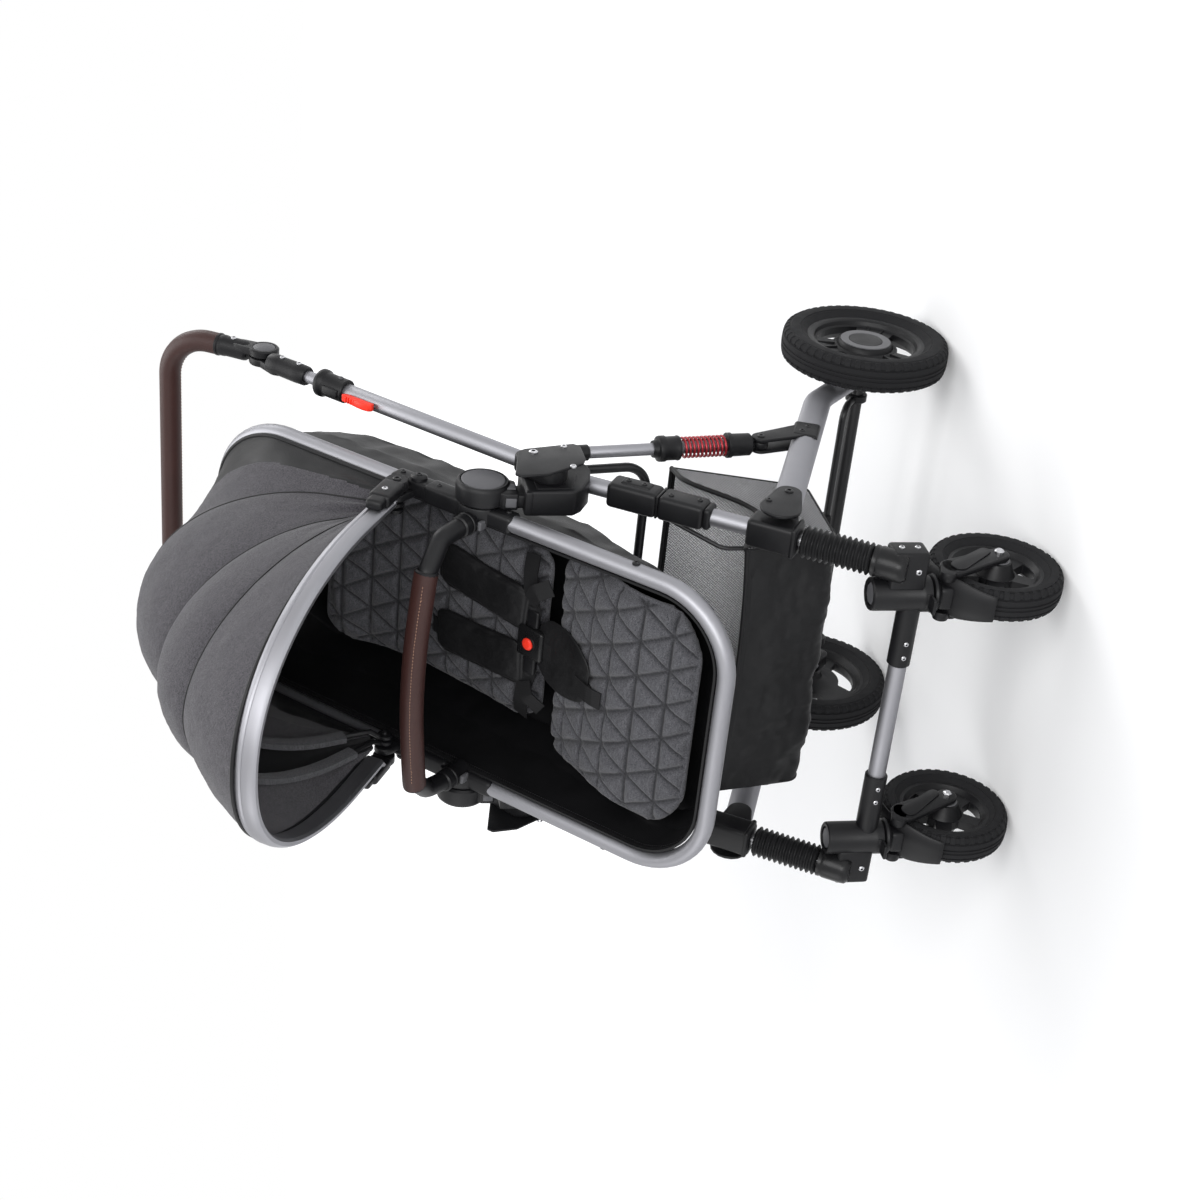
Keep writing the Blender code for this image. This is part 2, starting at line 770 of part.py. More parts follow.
def build_caster_fork():
    """Swivelling fork: stem, disc, fender, two blades and the wheel's axle in one piece."""
    x, y, z = CASTER_X, FRONT_AXLE_Y, FRONT_R
    disc_top = HOUSING_BOTTOM - SWING
    disc_low = disc_top - FORK_DISC_T
    inner = FRONT_R + FENDER_GAP
    side = FRONT_TYRE_W / 2.0 + BLADE_GAP
    arc = []
    for radius, first, last in ((inner, 10.0, 100.0), (inner + FENDER_T, 100.0, 10.0)):
        for step in range(11):
            angle = math.radians(first + (last - first) * step / 10.0)
            arc.append((y - radius * math.cos(angle), z + radius * math.sin(angle)))
    fender = plate(arc, x - side - BLADE_T * 0.5, x + side + BLADE_T * 0.5)
    stem = rod((x, CASTER_Y, disc_low - 0.002), (x, CASTER_Y, disc_top + STEM_LENGTH), STEM_R)
    crown = rod((x, CASTER_Y, disc_low), (x, CASTER_Y, disc_top), FORK_DISC_R, sides=16)
    web = block(x - 0.014, x + 0.014, CASTER_Y - 0.016, CASTER_Y + 0.006, disc_low - 0.0065, disc_low + 0.003)
    fork = join(fender, crown, web, stem)
    knee = (CASTER_Y + 0.008, disc_low - 0.018)
    for sign in (1.0, -1.0):
        near = x + sign * side
        far = x + sign * (side + BLADE_T)
        blade = plate(capsule((y, z), 0.0125, knee, 0.0170), min(near, far), max(near, far))
        fork = join(fork, blade)
    axle = rod((x - side - 0.002, y, z), (x + side + BLADE_T + 0.001, y, z), AXLE_R)
    nut = rod((x + side + BLADE_T - 0.001, y, z), (x + side + BLADE_T + 0.003, y, z), 0.0085, sides=6)
    fork = join(fork, axle, nut)
    with_twin(finished(fork, "caster_fork_L", "black_plastic", (x, CASTER_Y, disc_top)))


def build_caster_housing():
    """Fixed caster housing with its outboard foot for the leg and its sleeve for the crossbar."""
    x, y = CASTER_X, CASTER_Y
    bore = STEM_R + RUN
    depth = STEM_LENGTH + 0.004
    profile = [
        (0.0, HOUSING_TOP),
        (HOUSING_R * 0.55, HOUSING_TOP),
        (HOUSING_R * 0.86, HOUSING_TOP - 0.004),
        (HOUSING_R, HOUSING_TOP - 0.012),
        (HOUSING_R, HOUSING_BOTTOM),
        (bore, HOUSING_BOTTOM),
        (bore, HOUSING_BOTTOM + depth),
        (0.0, HOUSING_BOTTOM + depth),
    ]
    housing = turned(profile, Matrix.Translation((x, y, 0.0)) @ Matrix.Rotation(0.1, 4, "Z"), 14)
    foot = block(
        x + 0.013, LEG_X + 0.020, y - 0.017, y + 0.017, HOUSING_BOTTOM + 0.012, LEG_FOOT_Z - 0.004, 0.004,
    )
    cup = rod(at(LEG_X, leg_point(-0.028)), at(LEG_X, leg_point(0.012)), CUP_R)
    stanchion = rod(at(LEG_X, leg_point(0.0)), at(LEG_X, leg_point(ROD_REACH)), LEG_R - LEG_WALL - RUN)
    sleeve_r = BAR_R + SLEEVE_WALL
    arm = rod((BAR_VISIBLE / 2.0, y, BAR_Z), (x - HOUSING_R * 0.6, y, BAR_Z), sleeve_r)
    hollow_end = BAR_VISIBLE / 2.0 + BAR_GRIP
    hollow = drill((BAR_VISIBLE / 2.0 - 0.002, y, BAR_Z), (hollow_end, y, BAR_Z), BAR_R + GAP)
    housing = join(housing, foot, cup, stanchion, cut(arm, hollow))
    tab_slot = block(
        x - LOCK_W / 2.0 - RUN, x + LOCK_W / 2.0 + RUN,
        y - HOUSING_R - 0.001, y - HOUSING_R + 0.006,
        HOUSING_BOTTOM - 0.001, HOUSING_BOTTOM + LOCK_T + 0.012,
    )
    reach = LOCK_W / 2.0 + 0.003
    pin = rod((x - reach, *LOCK_PIVOT), (x + reach, *LOCK_PIVOT), LOCK_PIN_R, sides=8)
    housing = join(cut(housing, tab_slot), pin)
    with_twin(finished(housing, "caster_housing_L", "black_plastic", (x, y, HOUSING_TOP)))


def build_swivel_lock():
    """Flip-up tab at the front of a caster housing."""
    pivot_y, pivot_z = LOCK_PIVOT
    low = HOUSING_BOTTOM + 0.0012
    tab = block(
        CASTER_X - LOCK_W / 2.0, CASTER_X + LOCK_W / 2.0,
        pivot_y - LOCK_L, pivot_y - 0.0005, low, low + LOCK_T, 0.0012,
    )
    eye = rod((CASTER_X - LOCK_W / 2.0, *LOCK_PIVOT), (CASTER_X + LOCK_W / 2.0, *LOCK_PIVOT), 0.0040)
    hole = drill((CASTER_X - LOCK_W, *LOCK_PIVOT), (CASTER_X + LOCK_W, *LOCK_PIVOT), LOCK_PIN_R + RUN)
    tab = cut(join(tab, eye), hole)
    with_twin(finished(tab, "swivel_lock_L", "black_plastic", (CASTER_X, pivot_y, pivot_z)))


def build_crossbar():
    """Silver bar between the two casters."""
    half = BAR_VISIBLE / 2.0 + BAR_GRIP - GAP
    bar = rod((-half, CASTER_Y, BAR_Z), (half, CASTER_Y, BAR_Z), BAR_R)
    finished(bar, "front_crossbar", "aluminium", (0.0, CASTER_Y, BAR_Z))


# Front legs


def build_gaiter():
    """Ribbed rubber bellows round the telescoping foot of a leg."""
    start = 0.0145
    pitch = GAITER_LENGTH / GAITER_RIBS
    profile = []
    for rib in range(GAITER_RIBS):
        high = start + GAITER_LENGTH - rib * pitch
        profile += [(GAITER_VALLEY_R, high), (GAITER_R, high - pitch / 2.0)]
    profile += [(GAITER_VALLEY_R, start), (GAITER_BORE_R, start), (GAITER_BORE_R, start + GAITER_LENGTH)]
    stand = Matrix.Translation(at(LEG_X, leg_point(0.0)))
    stand = stand @ Matrix.Rotation(math.radians(LEG_ANGLE - 90.0), 4, "X")
    bellows = turned(profile, stand, 8, closed=True)
    with_twin(finished(bellows, "gaiter_L", "tyre_rubber", at(LEG_X, leg_point(start)), smooth=80.0))


def build_leg():
    """Leg tube with its moulded knuckle sleeve and the lower clamp that carries the side rail's pivot."""
    start = LEG_START
    tube_bar = rod(at(LEG_X, leg_point(start)), at(LEG_X, leg_point(start + LEG_LENGTH)), LEG_R)
    sleeve_low = start + SLEEVE_START
    sleeve_high = sleeve_low + SLEEVE_LENGTH
    sleeve = rod(at(LEG_X, leg_point(sleeve_low)), at(LEG_X, leg_point(sleeve_high)), KNUCKLE_R, sides=10)
    clamp = block(
        LEG_X - KNUCKLE_R + 0.002, LEG_X + KNUCKLE_R - 0.001, sleeve_low + 0.004, sleeve_high - 0.004,
        -KNUCKLE_R - 0.003, 0.0, 0.003, slant(LEG_FOOT_Y, LEG_FOOT_Z, LEG_ANGLE),
    )
    mouth = leg_point(start - 0.002)
    bore_end = ROD_REACH + FRONT_TRAVEL + SWING
    bore = drill(at(LEG_X, mouth), at(LEG_X, leg_point(bore_end)), LEG_R - LEG_WALL, sides=10)
    low, high = start, start + BRACKET_LENGTH
    lean = slant(LEG_FOOT_Y, LEG_FOOT_Z, LEG_ANGLE)
    inside = RAIL_X - RAIL_W / 2.0 - SWING
    outside = RAIL_X + RAIL_W / 2.0 + SWING
    body = block(LEG_X - BRACKET_R, outside + CHEEK_T, low, high, -BRACKET_R, BRACKET_R, 0.005, lean)
    pivot = (RAIL_PIVOT_Y, RAIL_PIVOT_Z)
    root = leg_point((low + high) / 2.0, -0.010)
    inner_cheek = plate(capsule(pivot, 0.0150, root, 0.0240), inside - CHEEK_T, inside)
    outer_cheek = plate(capsule(pivot, 0.0150, root, 0.0240), outside, outside + CHEEK_T)
    pin = rod((inside - CHEEK_T / 2.0, *pivot), (outside + CHEEK_T / 2.0, *pivot), PIVOT_PIN_R)
    leg = cut(join(tube_bar, sleeve, clamp, body, inner_cheek, outer_cheek, pin), bore)
    with_twin(finished(leg, "leg_tube_L", "aluminium", at(LEG_X, leg_point(start))))


# Side rails, rear axle and brake


def build_rail():
    """Oval side rail from the front pivot down to the rear axle, with the strut's lower bracket."""
    pivot = (RAIL_PIVOT_Y, RAIL_PIVOT_Z)
    corner = on_slope(*pivot, -RAIL_SLOPE, RAIL_STRAIGHT)
    down = math.degrees(math.atan2(REAR_R - corner[1], REAR_AXLE_Y - corner[0]))
    end = on_slope(REAR_AXLE_Y, REAR_R, down, -AXLE_BLOCK * 0.35)
    path = rounded([at(0.0, pivot), at(0.0, corner), at(0.0, end)], RAIL_BEND_R, 3)
    beam = tube(path, RAIL_H / 2.0, 2)
    squash = Matrix.Diagonal((RAIL_W / RAIL_H, 1.0, 1.0, 1.0))
    beam.data.transform(Matrix.Translation((RAIL_X, 0.0, 0.0)) @ squash)
    half = RAIL_W / 2.0 + 0.0003
    nose = rod((RAIL_X - half, *pivot), (RAIL_X + half, *pivot), RAIL_H / 2.0)
    block_half = AXLE_BLOCK_W / 2.0
    end_block = block(
        RAIL_X - block_half, RAIL_X + block_half, -AXLE_BLOCK / 2.0, AXLE_BLOCK / 2.0,
        -AXLE_BLOCK / 2.0, AXLE_BLOCK / 2.0, 0.006, slant(REAR_AXLE_Y, REAR_R, down),
    )
    shock = (SHOCK_PIVOT_Y, SHOCK_PIVOT_Z)
    foot = on_slope(*pivot, -RAIL_SLOPE, SHOCK_FOOT, 0.004)
    outline = capsule(shock, 0.0115, foot, 0.0150)
    inside = STRUT_X - EYE_W / 2.0 - SWING
    outside = STRUT_X + EYE_W / 2.0 + SWING
    cheeks = []
    for x0, x1 in ((inside - CHEEK_T, inside), (outside, outside + CHEEK_T)):
        cheeks.append(plate(outline, x0, x1))
    pin = rod((inside - CHEEK_T * 0.5, *shock), (outside + CHEEK_T + 0.002, *shock), PIVOT_PIN_R)
    rail = join(beam, nose, end_block, *cheeks, pin)
    hole = drill((RAIL_X - 0.03, *pivot), (RAIL_X + 0.03, *pivot), PIVOT_PIN_R + RUN)
    shaft = drill((RAIL_X - 0.03, REAR_AXLE_Y, REAR_R), (RAIL_X + 0.03, REAR_AXLE_Y, REAR_R), SHAFT_R + GAP)
    rail = cut(rail, hole, shaft)
    with_twin(finished(rail, "rail_L", "aluminium", (RAIL_X, *pivot)))


def build_rear_axle():
    """Axle tube between the rails with a slimmer shaft at each end for the wheels."""
    y, z = REAR_AXLE_Y, REAR_R
    inner = RAIL_X - AXLE_BLOCK_W / 2.0 - GAP
    axle = rod((-inner, y, z), (inner, y, z), AXLE_TUBE_R)
    axle = join(axle, rod((-SHAFT_END, y, z), (SHAFT_END, y, z), SHAFT_R))
    finished(axle, "rear_axle", "black_steel", (0.0, y, z))


def build_brake_bar():
    """Foot bar for the parking brake, hinged on the axle tube by a lug at each end."""
    y, z = REAR_AXLE_Y, REAR_R
    front, top = y - BRAKE_AHEAD, z + BRAKE_RISE
    points = [
        (-BRAKE_LUG_X, y - 0.010, z + 0.008),
        (-BRAKE_LUG_X, front, top),
        (BRAKE_LUG_X, front, top),
        (BRAKE_LUG_X, y - 0.010, z + 0.008),
    ]
    bar = tube(rounded(points, BRAKE_LUG_X - BRAKE_HALF_W, 3), BRAKE_ROD_R, 1)
    for side in (-BRAKE_LUG_X, BRAKE_LUG_X):
        bar = join(bar, rod((side - BRAKE_LUG_T / 2.0, y, z), (side + BRAKE_LUG_T / 2.0, y, z), 0.0150))
    hole = drill((-BRAKE_LUG_X - 0.02, y, z), (BRAKE_LUG_X + 0.02, y, z), AXLE_TUBE_R + RUN)
    finished(cut(bar, hole), "brake_bar", "black_steel", (0.0, y, z))


# Rear struts


def build_strut():
    """Damper rod, coil spring and lower sleeve of one rear strut."""
    x = STRUT_X
    top = at(x, strut_point(0.0))
    eye_x0, eye_x1 = BRACKET_X1 + SWING, BRACKET_X1 + EYE_W
    eye = rod((eye_x0, STRUT_TOP_Y, STRUT_TOP_Z), (eye_x1, STRUT_TOP_Y, STRUT_TOP_Z), STRUT_EYE_R)
    axis = slant(STRUT_TOP_Y, STRUT_TOP_Z, STRUT_ANGLE)
    neck = block(eye_x0, eye_x1, 0.004, 0.022, -0.0075, 0.0075, 0.0, axis)
    shaft = rod(at(x, strut_point(0.016)), at(x, strut_point(ROD_END)), STRUT_ROD_R)
    collar_end = COLLAR_AT + STRUT_COLLAR_L
    collar = rod(at(x, strut_point(COLLAR_AT)), at(x, strut_point(collar_end)), STRUT_COLLAR_R)
    top_yz = (STRUT_TOP_Y, STRUT_TOP_Z)
    hole = drill((x - 0.02, *top_yz), (x + 0.02, *top_yz), PIVOT_PIN_R + RUN)
    with_twin(finished(cut(join(eye, neck, shaft, collar), hole), "shock_rod_L", "aluminium", top))

    shock = (SHOCK_PIVOT_Y, SHOCK_PIVOT_Z)
    cup = rod(at(x, strut_point(CUP_AT)), at(x, strut_point(STRUT_LENGTH - 0.0150)), CUP_SLEEVE_R)
    foot = strut_point(STRUT_LENGTH - 0.004)
    lower = rod(at(x, strut_point(STRUT_LENGTH - 0.0160)), at(x, foot), EYE_W / 2.0)
    lower_eye = rod((x - EYE_W / 2.0, *shock), (x + EYE_W / 2.0, *shock), STRUT_EYE_R)
    bore_end = strut_point(CUP_AT + CUP_BORE_DEPTH)
    bore = drill(at(x, strut_point(CUP_AT - 0.002)), at(x, bore_end), STRUT_ROD_R + RUN)
    pin_hole = drill((x - 0.02, *shock), (x + 0.02, *shock), PIVOT_PIN_R + RUN)
    sleeve = cut(join(cup, lower, lower_eye), bore, pin_hole)
    with_twin(finished(sleeve, "shock_sleeve_L", "black_plastic", at(x, strut_point(CUP_AT))))

    per_curl = 8
    low = collar_end + GAP + SPRING_WIRE_R
    high = CUP_AT - GAP - SPRING_WIRE_R
    lean = Matrix.Translation(top) @ Matrix.Rotation(math.radians(STRUT_ANGLE - 90.0), 4, "X")
    count = SPRING_CURLS * per_curl + 1
    path = []
    for step in range(count):
        turn = 2.0 * math.pi * step / per_curl
        along = low + (high - low) * step / (count - 1)
        path.append(lean @ Vector((SPRING_R * math.cos(turn), SPRING_R * math.sin(turn), along)))
    gaps = [
        (path[a] - path[b]).length - 2.0 * SPRING_WIRE_R
        for a in range(count)
        for b in range(a + per_curl - 2, count)
    ]
    print(f"least gap between two curls of the spring: {min(gaps) * 1000.0:.2f} mm")
    coil = tube(path, SPRING_WIRE_R, 1)
    with_twin(finished(coil, "shock_spring_L", "red_spring", at(x, strut_point(low)), smooth=80.0))


# Upper brackets and rear brace


def build_upper_bracket():
    """Moulded bracket that joins leg, handle, strut and brace, with the seat's socket on top."""
    outline = [
        (-0.105, 0.600), (-0.105, SOCKET_TOP), (-0.030, SOCKET_TOP), (-0.014, 0.652), (0.009, 0.616),
        (0.0135, 0.600), (0.009, 0.588), (-0.012, 0.586), (-0.028, 0.574), (-0.072, 0.580),
    ]
    body = plate(outline, BRACKET_X0, BRACKET_X1)
    bevel = body.modifiers.new("edges", "BEVEL")
    bevel.width = 0.0015
    bevel.segments = 1
    bevel.limit_method = "ANGLE"
    body = baked(body)
    fold_pin = rod((BRACKET_X1 - 0.004, FOLD_Y, FOLD_Z), (FOLD_PIN_END, FOLD_Y, FOLD_Z), FOLD_PIN_R)
    top_pin = rod(
        (BRACKET_X1 - 0.004, STRUT_TOP_Y, STRUT_TOP_Z),
        (BRACKET_X1 + EYE_W + 0.002, STRUT_TOP_Y, STRUT_TOP_Z),
        PIVOT_PIN_R, sides=10,
    )
    leg_end = LEG_START + LEG_LENGTH
    leg_bore = drill(at(LEG_X, leg_point(leg_end - 0.06)), at(LEG_X, leg_point(leg_end + 0.001)), LEG_R + GAP)
    half_post = POST_W / 2.0 + RUN
    cavity = block(
        POST_X0 - RUN, POST_X1 + RUN, SOCKET_Y - half_post, SOCKET_Y + half_post,
        SOCKET_TOP - SOCKET_DEPTH, SOCKET_TOP + 0.01,
    )
    arm_end = (BRACE_X, STRUT_TOP_Y, BRACE_TOP_Z + 0.0025)
    arm_bore = drill((BRACE_X, BRACE_KNEE_Y, BRACE_KNEE_Z), arm_end, BRACE_R + GAP)
    body = cut(join(body, fold_pin, top_pin), leg_bore, cavity, arm_bore)
    with_twin(finished(body, "upper_bracket_L", "black_plastic", (BRACKET_X1, FOLD_Y, FOLD_Z)))


def build_rear_brace():
    """U-shaped tube between the two upper brackets, above the rear of the basket."""
    points = [
        (-BRACE_X, STRUT_TOP_Y, BRACE_TOP_Z),
        (-BRACE_X, BRACE_KNEE_Y, BRACE_KNEE_Z),
        (-BRACE_X, BRACE_Y, BRACE_Z),
        (BRACE_X, BRACE_Y, BRACE_Z),
        (BRACE_X, BRACE_KNEE_Y, BRACE_KNEE_Z),
        (BRACE_X, STRUT_TOP_Y, BRACE_TOP_Z),
    ]
    brace = tube(rounded(points, BRACE_BEND_R, 3), BRACE_R, 1)
    finished(brace, "rear_brace", "black_steel", (0.0, BRACE_Y, BRACE_Z))


# Handle


def build_handle_tube():
    """Folding handle's lower half: knuckle plate, two tubes of falling size and the joint's inner half."""
    x = HANDLE_X
    low, high = HANDLE_X - HANDLE_R - 0.0003, HANDLE_X + HANDLE_R + 0.0003
    outline = capsule(handle_point(-0.014), KNUCKLE_PLATE_R, handle_point(0.020), KNUCKLE_PLATE_R - 0.004)
    knuckle = plate(outline, low, high)
    tube_bar = rod(at(x, handle_point(0.002)), at(x, handle_point(HANDLE_TUBE_L)), HANDLE_R)
    thin = rod(at(x, handle_point(HANDLE_TUBE_L - 0.004)), at(x, handle_point(SLEEVE_TOP_L)), THIN_R)
    sleeve = rod(
        at(x, handle_point(SLEEVE_TOP_L - LOWER_SLEEVE_L - 0.014)), at(x, handle_point(SLEEVE_TOP_L)),
        JOINT_SLEEVE_R,
    )
    split = x - SWING / 2.0
    disc = rod((low, *JOINT_YZ), (split, *JOINT_YZ), JOINT_R, sides=16)
    neck = plate(capsule(JOINT_YZ, 0.0130, handle_point(SLEEVE_TOP_L - 0.012), 0.0120), low, split)
    ear = block(
        x - 0.0018, x + 0.0018, CATCH_AT - 0.003, CATCH_AT + 0.003, 0.006, CATCH_PIN_RISE + 0.0025, 0.0,
        slant(FOLD_Y, FOLD_Z, HANDLE_ANGLE),
    )
    handle = join(knuckle, tube_bar, thin, sleeve, disc, neck, ear)
    pivot = drill((low - 0.01, FOLD_Y, FOLD_Z), (high + 0.01, FOLD_Y, FOLD_Z), FOLD_PIN_R + RUN)
    shaft = drill((low - 0.01, *JOINT_YZ), (high + 0.01, *JOINT_YZ), JOINT_PIN_R + RUN)
    pin = handle_point(CATCH_AT, CATCH_PIN_RISE)
    pin_hole = drill((x - 0.01, *pin), (x + 0.01, *pin), 0.0012 + RUN)
    handle = cut(handle, pivot, shaft, pin_hole)
    with_twin(finished(handle, "handle_tube_L", "aluminium", (x, FOLD_Y, FOLD_Z)))


def build_release_collar():
    """Sliding collar that frees the handle's fold."""
    x = HANDLE_X
    start, end = COLLAR_START, COLLAR_START + COLLAR_L
    collar = rod(at(x, handle_point(start)), at(x, handle_point(end)), COLLAR_R)
    flange = rod(at(x, handle_point(end - COLLAR_FLANGE_L)), at(x, handle_point(end)), COLLAR_FLANGE_R)
    bore = drill(at(x, handle_point(start - 0.01)), at(x, handle_point(end + 0.01)), HANDLE_R + RUN)
    collar = cut(join(collar, flange), bore)
    with_twin(finished(collar, "release_collar_L", "black_plastic", at(x, handle_point(start))))


def build_red_catch():
    """Red catch lever on top of the handle tube, hinged at its lower end."""
    x = HANDLE_X
    lean = slant(FOLD_Y, FOLD_Z, HANDLE_ANGLE)
    rise = HANDLE_R + RUN
    half = CATCH_W / 2.0
    lever_end = CATCH_AT + CATCH_L - 0.010
    lever = block(x - half, x + half, CATCH_AT - 0.0035, lever_end, rise, rise + CATCH_H, 0.002, lean)
    slot_half = 0.0018 + RUN
    slot = block(
        x - slot_half, x + slot_half, CATCH_AT - 0.02, CATCH_AT + 0.0055, 0.0, rise + CATCH_H - 0.0009, 0.0,
        lean,
    )
    pin = handle_point(CATCH_AT, CATCH_PIN_RISE)
    lever = join(cut(lever, slot), rod((x - half + 0.001, *pin), (x + half - 0.001, *pin), 0.0012, sides=8))
    with_twin(finished(lever, "red_catch_L", "red_plastic", at(x, pin)))


def build_handle_joint():
    """Joint's outer half with the sleeve that holds the handlebar."""
    x = HANDLE_X
    high = HANDLE_X + HANDLE_R
    split = x + SWING / 2.0
    disc = rod((split, *JOINT_YZ), (high, *JOINT_YZ), JOINT_R, sides=16)
    start = JOINT_R + 0.0025
    sleeve = rod(at(x, upper_point(start)), at(x, upper_point(UPPER_SLEEVE_L)), JOINT_SLEEVE_R)
    neck = plate(capsule(JOINT_YZ, 0.0130, upper_point(start + 0.012), 0.0120), split, high)
    pin = rod((HANDLE_X - HANDLE_R, *JOINT_YZ), (split + 0.002, *JOINT_YZ), JOINT_PIN_R)
    joint = join(disc, sleeve, neck, pin)
    recess = drill((high - DISC_T, *JOINT_YZ), (high + 0.01, *JOINT_YZ), DISC_R + RUN, sides=16)
    bore = drill(at(x, upper_point(start + 0.006)), at(x, upper_point(UPPER_SLEEVE_L + 0.01)), HANDLE_R + GAP)
    joint = cut(joint, recess, bore)
    with_twin(finished(joint, "handle_joint_L", "black_plastic", at(x, JOINT_YZ)))
    face = high - DISC_T + BUTTON_TRAVEL
    button = rod((face, *JOINT_YZ), (face + DISC_T, *JOINT_YZ), DISC_R, sides=16)
    with_twin(finished(button, "handle_button_L", "grey_plastic", (face, *JOINT_YZ)))


def build_handlebar():
    """U-shaped bar with its leather grip, held by both joints."""
    start = JOINT_R + 0.0025 + 0.006 + GAP
    points = [
        at(-HANDLE_X, upper_point(start)),
        at(-HANDLE_X, upper_point(BAR_REACH)),
        at(HANDLE_X, upper_point(BAR_REACH)),
        at(HANDLE_X, upper_point(start)),
    ]
    core = tube(rounded(points, BAR_BEND_R, 5), HANDLE_R, 2)
    points[0] = at(-HANDLE_X, upper_point(UPPER_SLEEVE_L + GAP))
    points[3] = at(HANDLE_X, upper_point(UPPER_SLEEVE_L + GAP))
    grip = tube(rounded(points, BAR_BEND_R, 5), GRIP_R, 3)
    finished(join(grip, core), "handlebar", "brown_leather", at(0.0, JOINT_YZ))


# Seat unit


def rim_path(inset=0.0, steps=3):
    """Closed outline of the seat rim as (x, along) pairs, from the left side round the head and back."""
    half = RIM_HALF_W - inset
    head, foot = RIM_HEAD - inset, -RIM_FOOT + inset
    upper = [(half, 0.0, 0.0), (half, head, 0.0), (-half, head, 0.0), (-half, 0.0, 0.0)]
    lower = [(-half, 0.0, 0.0), (-half, foot, 0.0), (half, foot, 0.0), (half, 0.0, 0.0)]
    loop = rounded(upper, RIM_HEAD_R - inset, steps)[:-1] + rounded(lower, RIM_FOOT_R - inset, steps)[:-1]
    return [(p.x, p.y) for p in loop]


def build_seat_mount():
    """Post and hub that carry the seat, and the round button that frees its tilt."""
    hub_yz = (HUB_Y, HUB_Z)
    hub = rod((HUB_IN, *hub_yz), (HUB_OUT, *hub_yz), HUB_R, sides=16)
    low = SOCKET_TOP - SOCKET_DEPTH + GAP
    half = POST_W / 2.0
    post = block(POST_X0, POST_X1, SOCKET_Y - half, SOCKET_Y + half, low, HUB_Z - 0.010, 0.0015)
    shaft_hole = drill((HUB_IN - 0.01, *hub_yz), (HUB_SHAFT_END + RUN, *hub_yz), HUB_SHAFT_R + RUN)
    floor = HUB_OUT - BUTTON_T - BUTTON_TRAVEL - GAP
    recess = drill((floor, *hub_yz), (HUB_OUT + 0.01, *hub_yz), BUTTON_R + RUN, sides=16)
    mount = cut(join(hub, post), shaft_hole, recess)
    with_twin(finished(mount, "seat_mount_L", "black_plastic", (HUB_IN, *hub_yz)))
    button = rod((HUB_OUT - BUTTON_T, *hub_yz), (HUB_OUT, *hub_yz), BUTTON_R, sides=16)
    with_twin(finished(button, "tilt_button_L", "grey_plastic", (HUB_OUT, *hub_yz)))


def build_seat_rim():
    """Closed rim tube of the seat with a moulded housing on each side."""
    lean = slant(RIM_Y, RIM_Z, SEAT_ANGLE)
    loop = [lean @ Vector((x, along, 0.0)) for x, along in rim_path()]
    rim = tube(loop, RIM_R, 2, cyclic=True)
    centre = (HOOD_Y, HOOD_Z)
    for side in (1.0, -1.0):
        pieces = [
            block(SIDE_X0, SIDE_X1, -0.022, HOOD_ALONG + 0.024, -0.0135, 0.0120, 0.0, lean),
            rod((SIDE_X0 + 0.002, HUB_Y, HUB_Z), (SIDE_X1, HUB_Y, HUB_Z), HUB_R - 0.004),
            rod((SIDE_X1 - 0.002, HUB_Y, HUB_Z), (HUB_SHAFT_END, HUB_Y, HUB_Z), HUB_SHAFT_R),
            rod(
                at(BUMPER_X, rim_point(BUMPER_ALONG, 0.001)),
                at(BUMPER_X, rim_point(BUMPER_ALONG, SOCKET_RISE)), SOCKET_TUBE_R,
            ),
            plate(capsule(rim_point(HOOD_ALONG, 0.002), 0.0140, centre, EYE_R), SIDE_X0, BOSS_X1),
            rod((PIN_X0, *centre), (PIN_X1, *centre), PIVOT_PIN_R),
        ]
        bore = drill(
            at(BUMPER_X, rim_point(BUMPER_ALONG, SOCKET_RISE - PEG_L - 0.002)),
            at(BUMPER_X, rim_point(BUMPER_ALONG, SOCKET_RISE + 0.01)), PEG_R + RUN,
        )
        if side < 0.0:
            for obj in pieces + [bore]:
                mirror_x(obj)
        rim = cut(join(rim, *pieces), bore)
    finished(rim, "seat_rim", "aluminium", (0.0, HUB_Y, HUB_Z))


def mirror_x(obj):
    """Turns a solid into its mirror image across x = 0."""
    obj.data.transform(Matrix.Diagonal((-1.0, 1.0, 1.0, 1.0)))
    obj.data.flip_normals()


def table(stations, value):
    """Smoothly interpolated value from (position, value) stations."""
    if value <= stations[0][0]:
        return stations[0][1]
    for (a, low), (b, high) in zip(stations, stations[1:]):
        if value <= b:
            share = (value - a) / (b - a)
            share = share * share * (3.0 - 2.0 * share)
            return low + (high - low) * share
    return stations[-1][1]


def build_seat_shell():
    """Deep cloth tub that hangs inside the rim."""
    lean = slant(RIM_Y, RIM_Z, SEAT_ANGLE)
    inset = RIM_R + TUB_WALL / 2.0 + GAP + 0.0006
    loop = rim_path(inset)
    columns = len(loop)
    shrink = [(0.0, 0.0), (0.25, 0.04), (0.5, 0.12), (0.75, 0.50), (1.0, 1.0)]
    sink = [(0.0, 0.0), (0.25, 0.58), (0.5, 1.0), (0.75, 1.02), (1.0, 1.02)]

    def place(u, v):
        x, along = loop[round(u * columns) % columns]
        spine = max(-RIM_FOOT * 0.62, min(along, RIM_HEAD * 0.68))
        share = table(shrink, v)
        reach = along + (spine - along) * share
        depth = table(TUB_DEPTHS, reach) * table(sink, v)
        return lean @ Vector((x * (1.0 - share), reach, -0.003 - depth))

    shell = sheet(columns, 4, place, TUB_WALL)
    finished(shell, "seat_shell", "black_cloth", (0.0, HUB_Y, HUB_Z), smooth=60.0)


